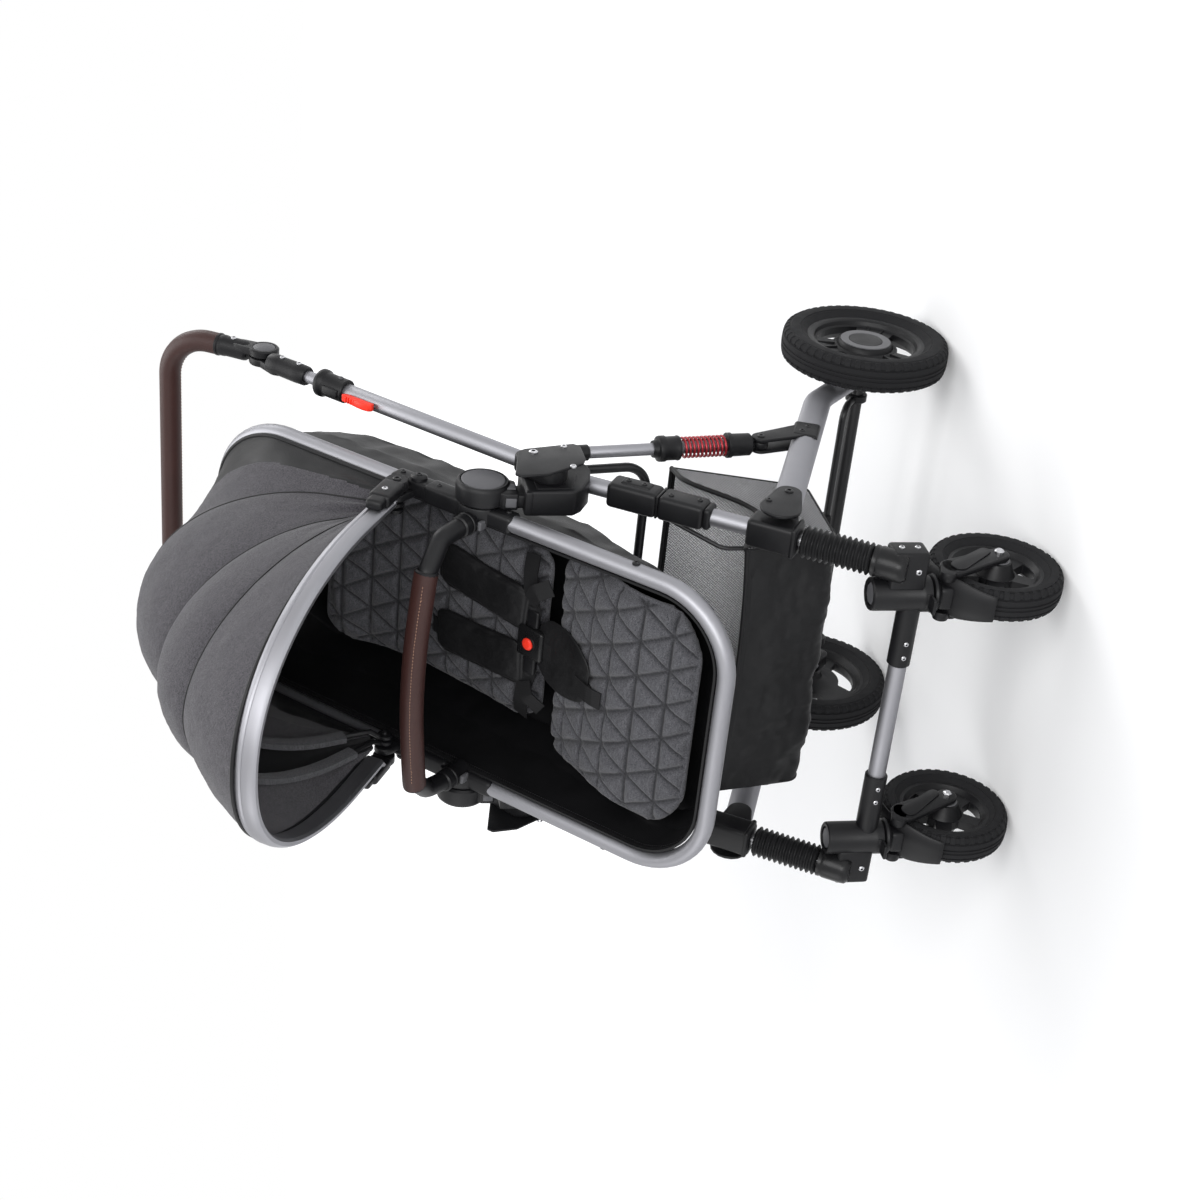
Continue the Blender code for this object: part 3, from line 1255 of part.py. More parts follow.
def pad_surface(path, half_w, taper, thickness, crown, seams):
    """Top and bottom of a soft pad along a (y, z) path: drawn-in edges, sewn seams, a narrower first end."""
    lengths = [0.0]
    for a, b in zip(path, path[1:]):
        lengths.append(lengths[-1] + math.hypot(b[0] - a[0], b[1] - a[1]))
    total = lengths[-1]

    def spot(v):
        want = v * total
        for index in range(len(path) - 1):
            if want <= lengths[index + 1] + 1e-9:
                break
        a, b = path[index], path[index + 1]
        share = (want - lengths[index]) / (lengths[index + 1] - lengths[index])
        span = lengths[index + 1] - lengths[index]
        tangent = Vector((0.0, (b[0] - a[0]) / span, (b[1] - a[1]) / span))
        point = Vector((0.0, a[0] + (b[0] - a[0]) * share, a[1] + (b[1] - a[1]) * share))
        return point, Vector((0.0, -tangent.z, tangent.y))

    def fullness(u, v):
        side = 1.0 - abs(2.0 * u - 1.0) ** 5
        end = 1.0 - abs(2.0 * v - 1.0) ** 9
        dent = min(1.0, *(abs(v - seam) / 0.07 for seam in seams)) if seams else 1.0
        return side * end, 0.45 + 0.55 * dent

    def across(u, v):
        return (u - 0.5) * 2.0 * half_w * (1.0 - taper * max(0.0, 1.0 - v / 0.2) ** 2)

    def top(u, v):
        point, normal = spot(v)
        edge, dent = fullness(u, v)
        rise = crown * edge * dent - thickness * 0.5 * (1.0 - edge)
        return point + Vector((across(u, v), 0.0, 0.0)) + normal * rise

    def bottom(u, v):
        point, normal = spot(v)
        edge, _ = fullness(u, v)
        return point + Vector((across(u, v), 0.0, 0.0)) - normal * (thickness * (0.75 + 0.25 * edge))

    return top, bottom


def build_pads():
    """Seat pad over the knee edge and the reclining back pad."""
    seat_path = [
        (FOOT_Y, FOOT_Z), (KNEE_Y - 0.010, KNEE_Z - 0.011), (KNEE_Y + 0.016, KNEE_Z + 0.0035),
        (CREASE_Y - 0.004, CREASE_Z - 0.0015),
    ]
    top, bottom = pad_surface(seat_path, SEAT_HALF_W, FOOT_TAPER, PAD_T, 0.006, SEAT_SEAMS)
    pad = cushion(8, 12, top, bottom)
    finished(pad, "seat_pad", "melange_cloth", (0.0, CREASE_Y, CREASE_Z), smooth=70.0)
    top, bottom = pad_surface(BACK_POINTS, BACK_HALF_W, 0.0, BACK_T, 0.006, BACK_SEAMS)
    pad = cushion(8, 16, top, bottom)
    finished(pad, "back_pad", "melange_cloth", (0.0, CREASE_Y, CREASE_Z), smooth=70.0)


def build_harness():
    """Shoulder pads, waist and crotch straps and the buckle, with its push button."""
    (low_y, low_z), (high_y, high_z) = BACK_POINTS[:2]
    lean = slant(low_y, low_z, math.degrees(math.atan2(high_z - low_z, high_y - low_y)))
    rise = HARNESS_RISE
    half, web = STRAP_W / 2.0, WEBBING_HALF_W
    push = lean @ Matrix.Translation((0.0, PUSH_AT, rise))
    pieces = []
    for side in (-1.0, 1.0):
        turn = lean @ Matrix.Translation((side * STRAP_APART, STRAP_ALONG, rise))
        turn = turn @ Matrix.Rotation(-side * math.radians(STRAP_TURN), 4, "Z")
        pieces.append(block(-half, half, STRAP_START, STRAP_END, 0.0, STRAP_T, 0.004, turn))
        pieces.append(block(-web, web, -STRAP_ALONG, STRAP_START + 0.004, 0.002, 0.006, 0.0, turn))
        waist = push @ Matrix.Rotation(side * math.radians(WAIST_TURN), 4, "Z")
        limits = (0.010, WAIST_REACH) if side > 0.0 else (-WAIST_REACH, -0.010)
        pieces.append(block(*limits, -web, web, 0.0015, 0.0055, 0.0, waist))
    top = rise + BUCKLE_T
    buckle = block(-BUCKLE_HALF_W, BUCKLE_HALF_W, PUSH_AT - 0.022, PUSH_AT + 0.022, rise, top, 0.004, lean)
    harness = join(buckle, *pieces)
    floor = BUCKLE_T - PUSH_TRAVEL - 0.0015
    hole = drill(push @ Vector((0.0, 0.0, floor)), push @ Vector((0.0, 0.0, BUCKLE_T + 0.005)), PUSH_R + RUN)
    finished(cut(harness, hole), "harness", "black_cloth", push.translation)
    base = floor + PUSH_TRAVEL + GAP
    button = rod(push @ Vector((0.0, 0.0, base)), push @ Vector((0.0, 0.0, base + PUSH_T)), PUSH_R)
    finished(button, "buckle_button", "red_plastic", push @ Vector((0.0, 0.0, base)))


def build_bumper():
    """Leather-covered bumper bar that plugs into both seat housings."""
    lean = slant(RIM_Y, RIM_Z, SEAT_ANGLE)
    half = [
        (BUMPER_X, BUMPER_ALONG, SOCKET_RISE + GAP),
        (BUMPER_X, BUMPER_ALONG, SOCKET_RISE + 0.006),
        (BUMPER_X - 0.004, BUMPER_ALONG + 0.003, 0.0748),
        (BUMPER_GRIP_X, BUMPER_ALONG - 0.005, 0.1125),
        (0.060, BUMPER_ALONG - 0.002, 0.1125 + BUMPER_MID_RISE),
    ]
    points = half + [(-x, t, n) for x, t, n in reversed(half)]
    path = [lean @ p for p in rounded(points, 0.022, 3)]
    bar = tube(path, BUMPER_R, 2)
    for side in (-BUMPER_X, BUMPER_X):
        low = at(side, rim_point(BUMPER_ALONG, SOCKET_RISE - PEG_L))
        bar = join(bar, rod(low, at(side, rim_point(BUMPER_ALONG, SOCKET_RISE + 0.008)), PEG_R))
    grip_points = [(BUMPER_GRIP_X - 0.004, BUMPER_ALONG - 0.0048, 0.1128), half[-1]]
    grip_points += [(-x, t, n) for x, t, n in reversed(grip_points)]
    grip = tube([lean @ Vector(p) for p in grip_points], BUMPER_GRIP_R, 2)
    finished(join(bar, grip), "bumper_bar", "brown_leather", at(0.0, rim_point(BUMPER_ALONG, SOCKET_RISE)))


# Hood


def hood_slant(angle):
    """Frame of a hoop: local Y runs out along its plane from the hood's hinge, local Z square to it."""
    return slant(HOOD_Y, HOOD_Z, 180.0 - angle)


def hoop_point(share, reach, half, flat, roundness):
    """(x, out) on one half of a hoop: straight side, then a full rounded top, share from 0 to 1."""
    if share < HOOP_SIDE:
        return half, HOOD_START + (flat - HOOD_START) * share / HOOP_SIDE
    angle = (share - HOOP_SIDE) / (1.0 - HOOP_SIDE) * math.pi / 2.0
    power = 2.0 / roundness
    return half * math.cos(angle) ** power, flat + (reach - flat) * math.sin(angle) ** power


def whole_hoop(reach, half, flat, roundness, steps):
    """Points of a whole hoop in its own plane, from the left side to the right."""
    left = [hoop_point(step / steps, reach, half, flat, roundness) for step in range(steps + 1)]
    points = left + [(-x, out) for x, out in reversed(left[:-1])]
    return [Vector((x, out, 0.0)) for x, out in points]


def build_hoop():
    """Front hoop of the hood with a clamp at each end that turns on the seat's pins."""
    reach = HOOP_REACH - HOOP_T / 2.0
    half = HOOD_HALF_W + 0.002
    path = whole_hoop(reach, half, HOOP_FLAT, HOOP_POWER, 8)
    for sign, end in ((1.0, 0), (-1.0, len(path) - 1)):
        path[end] = Vector((sign * (half + 0.0005), HOOD_START, 0.0))
    middle = (CLAMP_X0 + CLAMP_X1) / 2.0
    path = [Vector((middle, 0.006, 0.0))] + path + [Vector((-middle, 0.006, 0.0))]
    hoop = band(path, HOOP_BAND, HOOP_T)
    hoop.data.transform(hood_slant(HOOP_ANGLE))
    centre = (HOOD_Y, HOOD_Z)
    for side in (-1.0, 1.0):
        clamp = rod((side * CLAMP_X0, *centre), (side * CLAMP_X1, *centre), CLAMP_R)
        hoop = join(hoop, clamp)
    for side in (-1.0, 1.0):
        end = side * (PIN_X1 + 0.0008)
        hole = drill((side * (CLAMP_X0 - 0.01), *centre), (end, *centre), PIVOT_PIN_R + RUN)
        hoop = cut(hoop, hole)
    finished(hoop, "canopy_hoop", "aluminium", (0.0, *centre))


def build_rib(name, angle, reach, eye_x, half):
    """Wire rib under the hood's cover, with a flat eye on each hinge pin."""
    path = whole_hoop(reach - RIB_UNDER, half, RIB_FLAT, RIB_POWER, 5)
    path = [Vector((eye_x, 0.006, 0.0))] + path + [Vector((-eye_x, 0.006, 0.0))]
    rib = tube([hood_slant(angle) @ p for p in path], RIB_R, 1)
    centre = (HOOD_Y, HOOD_Z)
    for side in (-1.0, 1.0):
        x = side * eye_x
        rib = join(rib, rod((x - EYE_T / 2.0, *centre), (x + EYE_T / 2.0, *centre), EYE_R - 0.002))
    for side in (-1.0, 1.0):
        x = side * eye_x
        rib = cut(rib, drill((x - 0.01, *centre), (x + 0.01, *centre), PIVOT_PIN_R + RUN))
    finished(rib, name, "black_steel", (0.0, *centre))


def build_cover():
    """Hood cover: panels that swell between the hoop, the two ribs, a sewn seam and the seat's rim."""

    def polar(x, along, rise, angle):
        turn = angle + math.degrees(math.atan2(rise, along))
        return x, math.hypot(along, rise), turn

    def front(share):
        x, out = hoop_point(share, HOOP_REACH, HOOD_HALF_W, HOOP_FLAT, HOOP_POWER)
        return polar(x, out, HOOP_BAND / 2.0 + COVER_T / 2.0 + GAP * 2.0, HOOP_ANGLE)

    def over(reach, half, roundness, angle):
        return lambda share: polar(*hoop_point(share, reach, half, RIB_FLAT, roundness), 0.0, angle)

    def rear(share):
        side = RIM_HEAD - RIM_HEAD_R - HOOD_ALONG
        if share < HOOP_SIDE:
            x, out = RIM_HALF_W, HOOD_START + (side - HOOD_START) * share / HOOP_SIDE
        else:
            turn = (share - HOOP_SIDE) / (1.0 - HOOP_SIDE)
            arc = min(turn / 0.6, 1.0) * math.pi / 2.0
            straight = max(turn - 0.6, 0.0) / 0.4
            corner_x = RIM_HALF_W - RIM_HEAD_R
            x = corner_x * (1.0 - straight) + RIM_HEAD_R * math.cos(arc)
            out = side + RIM_HEAD_R * math.sin(arc)
        return polar(x, out, HOOD_RISE - RIM_R - COVER_T / 2.0 - 0.0015, 180.0 - SEAT_ANGLE)

    seams = [
        front,
        over(RIB_B_REACH, RIB_B_HALF_W + SEAM_SIDE, RIB_POWER, RIB_B_ANGLE),
        over(RIB_A_REACH, RIB_A_HALF_W + SEAM_SIDE, RIB_POWER, RIB_A_ANGLE),
        over(SEAM_REACH, SEAM_HALF_W, SEAM_POWER, SEAM_ANGLE),
        rear,
    ]
    lifts = [COVER_LIFT, MIDDLE_LIFT, SWELL_LIFT, REAR_LIFT]
    rows = [3, 2, 3, 3]
    stations = [sum(rows[:index]) / sum(rows) for index in range(len(rows) + 1)]

    def place(u, v):
        share = 1.0 - abs(2.0 * u - 1.0)
        panel = max(index for index in range(len(rows)) if v > stations[index] - 1e-6)
        part = (v - stations[panel]) / (stations[panel + 1] - stations[panel])
        (x_a, r_a, turn_a), (x_b, r_b, turn_b) = seams[panel](share), seams[panel + 1](share)
        full = min(1.0, share / 0.6)
        radius = r_a + (r_b - r_a) * part + lifts[panel] * full * math.sin(math.pi * part)
        turn = math.radians(turn_a + (turn_b - turn_a) * part)
        x = (x_a + (x_b - x_a) * part) * (1.0 if u < 0.5 else -1.0)
        return Vector((x, HOOD_Y - radius * math.cos(turn), HOOD_Z + radius * math.sin(turn)))

    cover = sheet(18, sum(rows), place, COVER_T)
    finished(cover, "canopy_cover", "melange_cloth", (0.0, HOOD_Y, HOOD_Z), smooth=60.0)


# Basket


def build_basket():
    """Cloth shopping basket with its two front hanger wires."""
    outline = [
        (BASKET_FRONT_Y, BASKET_FRONT_Z), (BASKET_FRONT_Y + 0.022, BASKET_BOTTOM_Z),
        (BASKET_FLOOR_Y, BASKET_BOTTOM_Z), (BASKET_REAR_Y, BASKET_REAR_Z),
    ]
    wall = BASKET_WALL
    inner = [
        (BASKET_FRONT_Y + wall * 0.4, BASKET_FRONT_Z + 0.04), (BASKET_FRONT_Y + wall, BASKET_FRONT_Z),
        (BASKET_FRONT_Y + 0.022 + wall, BASKET_BOTTOM_Z + wall),
        (BASKET_FLOOR_Y - wall * 0.7, BASKET_BOTTOM_Z + wall),
        (BASKET_REAR_Y - wall, BASKET_REAR_Z), (BASKET_REAR_Y - wall * 0.2, BASKET_REAR_Z + 0.04),
    ]
    tub = plate(outline, -BASKET_HALF_W, BASKET_HALF_W)
    hollow = plate(inner, -BASKET_HALF_W + wall, BASKET_HALF_W - wall)
    basket = cut(tub, hollow)
    for side in (-1.0, 1.0):
        points = [
            (side * (BASKET_HALF_W - 0.002), BASKET_FRONT_Y + 0.008, BASKET_FRONT_Z - 0.030),
            (side * (BASKET_HALF_W - 0.002), BASKET_FRONT_Y + 0.006, BASKET_FRONT_Z + 0.030),
            (side * HANGER_X, HANGER_Y, HANGER_Z),
        ]
        basket = join(basket, tube(rounded(points, 0.03, 3), 0.0030, 1))
    finished(basket, "basket", "black_cloth", (0.0, 0.0, BASKET_BOTTOM_Z))


def build_ribs():
    """The two inner ribs of the hood."""
    build_rib("canopy_rib_b", RIB_B_ANGLE, RIB_B_REACH, RIB_B_EYE_X, RIB_B_HALF_W)
    build_rib("canopy_rib_a", RIB_A_ANGLE, RIB_A_REACH, RIB_A_EYE_X, RIB_A_HALF_W)


def main():
    """Builds every piece, then puts the origin under the middle of the pram."""
    clear_scene()
    bpy.context.scene.collection.children.link(PARTS)
    bpy.context.scene.collection.children.link(CUTTERS)
    for step in BUILD_STEPS:
        step()
    for obj in PARTS.objects:
        obj.location.y -= MIDDLE_Y


BUILD_STEPS = (
    build_rear_wheel, build_front_wheel, build_caster_fork, build_caster_housing, build_swivel_lock,
    build_crossbar, build_gaiter, build_leg, build_rail, build_rear_axle,
    build_brake_bar, build_strut, build_upper_bracket, build_rear_brace, build_handle_tube,
    build_release_collar, build_red_catch, build_handle_joint, build_handlebar, build_seat_mount,
    build_seat_rim, build_seat_shell, build_pads, build_harness, build_bumper, build_hoop,
    build_ribs, build_cover, build_basket,
)

main()
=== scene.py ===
"""Convertible pram: the looks of its chassis, seat, hood, harness and basket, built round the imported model.

Every size is in metres. The pieces are made in the layout's own frame, in which the rear axle is at
y = 0.285, and each is carried to the model's frame as it is mounted. The left side (+X) is made first
and mirrored.
"""

import json
import logging
import math
from contextlib import contextmanager
from dataclasses import dataclass, field
from enum import Enum
from typing import Callable, Iterator, Optional, Sequence

import bmesh
import bpy
from mathutils import Matrix, Vector, noise

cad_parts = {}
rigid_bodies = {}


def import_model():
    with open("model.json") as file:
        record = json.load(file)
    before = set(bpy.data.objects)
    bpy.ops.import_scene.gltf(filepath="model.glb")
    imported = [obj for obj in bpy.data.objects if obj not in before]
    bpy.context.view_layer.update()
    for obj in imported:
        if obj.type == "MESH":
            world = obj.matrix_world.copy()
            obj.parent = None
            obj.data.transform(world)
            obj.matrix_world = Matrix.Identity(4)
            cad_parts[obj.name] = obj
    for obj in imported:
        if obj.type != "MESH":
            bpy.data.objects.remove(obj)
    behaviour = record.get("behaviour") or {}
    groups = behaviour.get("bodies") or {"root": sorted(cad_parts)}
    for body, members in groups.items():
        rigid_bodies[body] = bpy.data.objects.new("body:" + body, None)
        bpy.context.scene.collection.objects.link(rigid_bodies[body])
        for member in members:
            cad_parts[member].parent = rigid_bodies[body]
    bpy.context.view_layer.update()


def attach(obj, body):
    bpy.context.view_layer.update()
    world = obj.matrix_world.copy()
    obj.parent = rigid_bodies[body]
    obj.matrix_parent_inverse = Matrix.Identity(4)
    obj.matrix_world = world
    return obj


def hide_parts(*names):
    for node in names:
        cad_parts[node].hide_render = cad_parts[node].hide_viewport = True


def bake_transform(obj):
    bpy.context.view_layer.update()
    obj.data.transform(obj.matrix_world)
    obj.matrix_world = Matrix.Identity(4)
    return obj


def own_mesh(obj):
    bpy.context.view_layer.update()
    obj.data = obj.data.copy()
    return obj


LOG = logging.getLogger("pram")
MIDDLE_Y = 0.0153
Point = tuple[float, float]
Spot = Sequence[float]


class Side(Enum):
    """Which side of the pram a piece stands on."""

    LEFT = "L"
    RIGHT = "R"


# Placement


def on_slope(y: float, z: float, angle: float, along: float, rise: float = 0.0) -> Point:
    """Finds a point along a slope in the plane of the pram's length.

    Args:
        y: Start of the slope.
        z: Height of its start.
        angle: Slope in degrees.
        along: Distance along it.
        rise: Distance square to it, upwards.

    Returns:
        The point's (y, z).
    """
    turn = math.radians(angle)
    return (
        y + along * math.cos(turn) - rise * math.sin(turn),
        z + along * math.sin(turn) + rise * math.cos(turn),
    )


@dataclass(frozen=True)
class Layout:
    """Where the pram's main lines run."""

    leg_x: float = 0.2245
    leg_foot: Point = (-0.262, 0.25)
    leg_angle: float = 57.5
    rim: Point = (-0.096, 0.693)
    rim_angle: float = 46.5
    rim_half: float = 0.197
    rim_foot: float = 0.34
    rim_head: float = 0.455
    handle_x: float = 0.2505
    fold: Point = (-0.06, 0.64)
    handle_angle: float = 45.2
    joint: Point = (0.287, 0.972)
    upper_angle: float = 59.3
    strut_x: float = 0.2415
    strut_top: Point = (0.0, 0.6)
    shock: Point = (0.038, 0.332)
    hub: Point = (-0.067, 0.713)
    hood: Point = (-0.02, 0.815)
    rail_x: float = 0.2405
    rail_pivot: Point = (-0.135, 0.34)
    rail_slope: float = 21.9
    rear_axle: Point = (0.285, 0.12)
    rear_x: float = 0.2808
    caster: Point = (0.182, -0.262)
    front_axle: Point = (-0.219, 0.0855)

    def leg(self, along: float, rise: float = 0.0, x: Optional[float] = None) -> Vector:
        """A point on the left leg's line."""
        return at(self.leg_x if x is None else x, on_slope(*self.leg_foot, self.leg_angle, along, rise))

    def rim_at(self, x: float, along: float, rise: float = 0.0) -> Vector:
        """A point in the seat rim's plane."""
        return at(x, on_slope(*self.rim, self.rim_angle, along, rise))

    def handle(self, along: float, rise: float = 0.0, x: Optional[float] = None) -> Vector:
        """A point on the left handle tube's line."""
        return at(self.handle_x if x is None else x, on_slope(*self.fold, self.handle_angle, along, rise))

    def upper(self, along: float, rise: float = 0.0, x: Optional[float] = None) -> Vector:
        """A point in the handlebar's plane."""
        return at(self.handle_x if x is None else x, on_slope(*self.joint, self.upper_angle, along, rise))

    def strut(self, along: float, rise: float = 0.0) -> Vector:
        """A point on the left strut's line, counted down from its top."""
        angle = math.degrees(math.atan2(self.shock[1] - self.strut_top[1],
                self.shock[0] - self.strut_top[0]))
        return at(self.strut_x, on_slope(*self.strut_top, angle, along, rise))

    def rail(self, along: float, rise: float = 0.0, x: Optional[float] = None) -> Vector:
        """A point on the left side rail's line."""
        return at(self.rail_x if x is None else x,
                  on_slope(*self.rail_pivot, -self.rail_slope, along, rise))


def at(x: float, yz: Point) -> Vector:
    """Joins an x and a (y, z) pair."""
    return Vector((x, yz[0], yz[1]))


LAY = Layout()


# Shaders


class Value:
    """A shader number that takes part in Python expressions."""

    def __init__(self, paint: "Paint", socket: bpy.types.NodeSocket) -> None:
        """Wraps one output socket of a material's tree."""
        self.paint = paint
        self.socket = socket

    def _math(self, kind: str, *values: "Value | float") -> "Value":
        """Adds a Math node over these values."""
        return self.paint.node("ShaderNodeMath", {"operation": kind}, dict(enumerate(values)))

    def __add__(self, other: "Value | float") -> "Value":
        """Sum."""
        return self._math("ADD", self, other)

    def __mul__(self, other: "Value | float") -> "Value":
        """Product."""
        return self._math("MULTIPLY", self, other)

    def __sub__(self, other: "Value | float") -> "Value":
        """Difference."""
        return self._math("SUBTRACT", self, other)

    def __rsub__(self, other: float) -> "Value":
        """Difference from a number."""
        return self._math("SUBTRACT", other, self)

    def __truediv__(self, other: "Value | float") -> "Value":
        """Quotient."""
        return self._math("DIVIDE", self, other)

    def __pow__(self, other: "Value | float") -> "Value":
        """Power."""
        return self._math("POWER", self, other)

    __radd__ = __add__
    __rmul__ = __mul__

    def sine(self) -> "Value":
        """Sine of an angle in radians."""
        return self._math("SINE", self)

    def size(self) -> "Value":
        """Absolute value."""
        return self._math("ABSOLUTE", self)

    def over(self, edge: float) -> "Value":
        """One where the value is above an edge."""
        return self._math("GREATER_THAN", self, edge)

    def clamped(self) -> "Value":
        """The value held between 0 and 1."""
        return self._math("MINIMUM", self._math("MAXIMUM", self, 0.0), 1.0)


class Paint:
    """One material's node tree with short ways to add to it."""

    def __init__(self, name: str) -> None:
        """Starts a material that holds a Principled BSDF.

        Args:
            name: Name of what is made.
        """
        self.material = bpy.data.materials.new(name)
        self.material.use_nodes = True
        self.tree = self.material.node_tree
        self.shader = self.tree.nodes["Principled BSDF"]

    def node(self, kind: str, settings: dict[str, object], inputs: dict[object, object],
             output: int = 0) -> Value:
        """Adds a node.

        Args:
            kind: Node type.
            settings: Attributes set before its sockets; "stops" gives a ramp's (place, colour) pairs.
            inputs: Values or links of its sockets, by name or number.
            output: Which output to hand back.

        Returns:
            The output, ready for expressions.
        """
        made = self.tree.nodes.new(kind)
        for key, value in settings.items():
            if key == "stops":
                ramp = made.color_ramp
                while len(ramp.elements) < len(value):
                    ramp.elements.new(0.5)
                for element, (place, colour) in zip(ramp.elements, value):
                    element.position = place
                    element.color = (*colour, 1.0)
            else:
                setattr(made, key, value)
        for key, value in inputs.items():
            if isinstance(value, Value):
                self.tree.links.new(value.socket, made.inputs[key])
            else:
                made.inputs[key].default_value = value
        return Value(self, made.outputs[output])

    def place(self) -> Value:
        """Object coordinates."""
        return self.node("ShaderNodeTexCoord", {}, {}, 3)

    def stretched(self, scale: Spot, turn: Spot = (0.0, 0.0, 0.0), middle: Spot = (0.0, 0.0, 0.0)) -> Value:
        """Object coordinates, moved, turned and scaled.

        Args:
            scale: Scale along each axis.
            turn: Turn about each axis, in radians.
            middle: Point that stays where it is.

        Returns:
            The result, ready for expressions.
        """
        moved = self.node("ShaderNodeMapping", {},
                          {"Vector": self.place(), "Location": tuple(-m for m in middle)})
        turned_by = self.node("ShaderNodeMapping", {}, {"Vector": moved, "Rotation": tuple(turn)})
        return self.node("ShaderNodeMapping", {}, {"Vector": turned_by, "Scale": tuple(scale)})

    def axis(self, vector: Value, index: int) -> Value:
        """One coordinate of a vector."""
        return self.node("ShaderNodeSeparateXYZ", {}, {"Vector": vector}, index)

    def noise(self, vector: Value, scale: float, detail: float = 2.0, rough: float = 0.5) -> Value:
        """Soft random values."""
        return self.node("ShaderNodeTexNoise", {},
                         {"Vector": vector, "Scale": scale, "Detail": detail, "Roughness": rough})

    def cells(self, vector: Value, scale: float, feature: str = "F1") -> Value:
        """Distances within random cells."""
        return self.node("ShaderNodeTexVoronoi", {"feature": feature}, {"Vector": vector, "Scale": scale})

    def ramp(self, value: Value, stops: Sequence[tuple[float, Spot]]) -> Value:
        """Colour from a value."""
        return self.node("ShaderNodeValToRGB", {"stops": stops}, {"Fac": value})

    def levels(self, value: Value, low: float, high: float, to_low: float, to_high: float) -> Value:
        """Maps a value from one range to another."""
        inputs = {"Value": value, "From Min": low, "From Max": high, "To Min": to_low, "To Max": to_high}
        return self.node("ShaderNodeMapRange", {}, inputs)

    def mixed(self, share: "Value | float", first: "Value | Spot", second: "Value | Spot") -> Value:
        """Blends two colours.

        Args:
            share: Share of the second, from 0 to 1.
            first: Value or colour at 0.
            second: Value or colour at 1.

        Returns:
            The result, ready for expressions.
        """
        inputs = {"Factor": share, 6: first if isinstance(first, Value) else (*first, 1.0),
                  7: second if isinstance(second, Value) else (*second, 1.0)}
        return self.node("ShaderNodeMix", {"data_type": "RGBA"}, inputs, 2)

    def bump(self, height: Value, depth: float, strength: float = 1.0) -> None:
        """Gives the surface relief from a height."""
        made = self.node("ShaderNodeBump", {}, {"Height": height, "Distance": depth, "Strength": strength})
        self.tree.links.new(made.socket, self.shader.inputs["Normal"])

    def set(self, **values: object) -> None:
        """Sets or links the shader's sockets, with underscores for spaces."""
        for key, value in values.items():
            socket = self.shader.inputs[key.replace("_", " ")]
            if isinstance(value, Value):
                self.tree.links.new(value.socket, socket)
            elif isinstance(value, tuple) and len(value) == 3 and socket.type == "RGBA":
                socket.default_value = (*value, 1.0)
            else:
                socket.default_value = value


@dataclass(frozen=True)
class Metal:
    """Drawn or coated metal with fine lines and handling marks."""

    name: str
    colour: Spot
    rough: float
    metallic: float = 1.0

    def paint(self) -> bpy.types.Material:
        """Makes the material.

        Returns:
            The material.
        """
        p = Paint(self.name)
        clouds = p.noise(p.place(), 14.0, 3.0)
        grain = p.noise(p.stretched((900.0, 900.0, 900.0)), 1.0, 1.0)
        dark = tuple(c * 0.93 for c in self.colour)
        p.set(Base_Color=p.mixed(clouds, self.colour, dark), Metallic=self.metallic)
        p.set(Roughness=p.levels(clouds, 0.3, 0.7, self.rough - 0.04, self.rough + 0.05))
        p.bump(grain, 0.00004, 0.6)
        return p.material


@dataclass(frozen=True)
class Plastic:
    """Moulded plastic with a fine spark-eroded grain."""

    name: str
    colour: Spot
    rough: float
    grain: float = 0.00006

    def paint(self) -> bpy.types.Material:
        """Makes the material.

        Returns:
            The material.
        """
        p = Paint(self.name)
        clouds = p.noise(p.place(), 30.0, 4.0)
        pale = tuple(min(1.0, c * 1.35 + 0.002) for c in self.colour)
        p.set(Base_Color=p.mixed(clouds, self.colour, pale))
        p.set(Roughness=p.levels(clouds, 0.3, 0.7, self.rough - 0.05, self.rough + 0.07),
              Specular_IOR_Level=0.22)
        p.bump(p.noise(p.place(), 1600.0, 2.0), self.grain, 0.8)
        return p.material


@dataclass(frozen=True)
class Rubber:
    """Foam rubber with a dusty, pitted skin."""

    name: str
    colour: Spot = (0.0085, 0.0085, 0.0092)
    rough: float = 0.72

    def paint(self) -> bpy.types.Material:
        """Makes the material.

        Returns:
            The material.
        """
        p = Paint(self.name)
        dust = p.noise(p.place(), 60.0, 5.0, 0.65)
        pits = p.noise(p.place(), 900.0, 2.0)
        p.set(Base_Color=p.mixed(dust, self.colour, tuple(c * 1.8 for c in self.colour)))
        p.set(Roughness=p.levels(dust, 0.3, 0.7, self.rough - 0.1, self.rough + 0.08),
              Specular_IOR_Level=0.15)
        p.bump(pits, 0.0001, 0.7)
        return p.material


@dataclass(frozen=True)
class Leather:
    """Leatherette with a pebbled grain."""

    name: str
    colour: Spot
    worn: Spot

    def paint(self) -> bpy.types.Material:
        """Makes the material.

        Returns:
            The material.
        """
        p = Paint(self.name)
        clouds = p.noise(p.place(), 35.0, 4.0, 0.6)
        pebbles = p.cells(p.place(), 620.0)
        creases = p.noise(p.place(), 240.0, 4.0)
        p.set(Base_Color=p.mixed(clouds, self.colour, self.worn))
        p.set(Roughness=p.levels(pebbles, 0.0, 0.8, 0.6, 0.44), Specular_IOR_Level=0.3)
        p.bump(pebbles * 0.7 + creases * 0.5, 0.00022, 0.9)
        return p.material


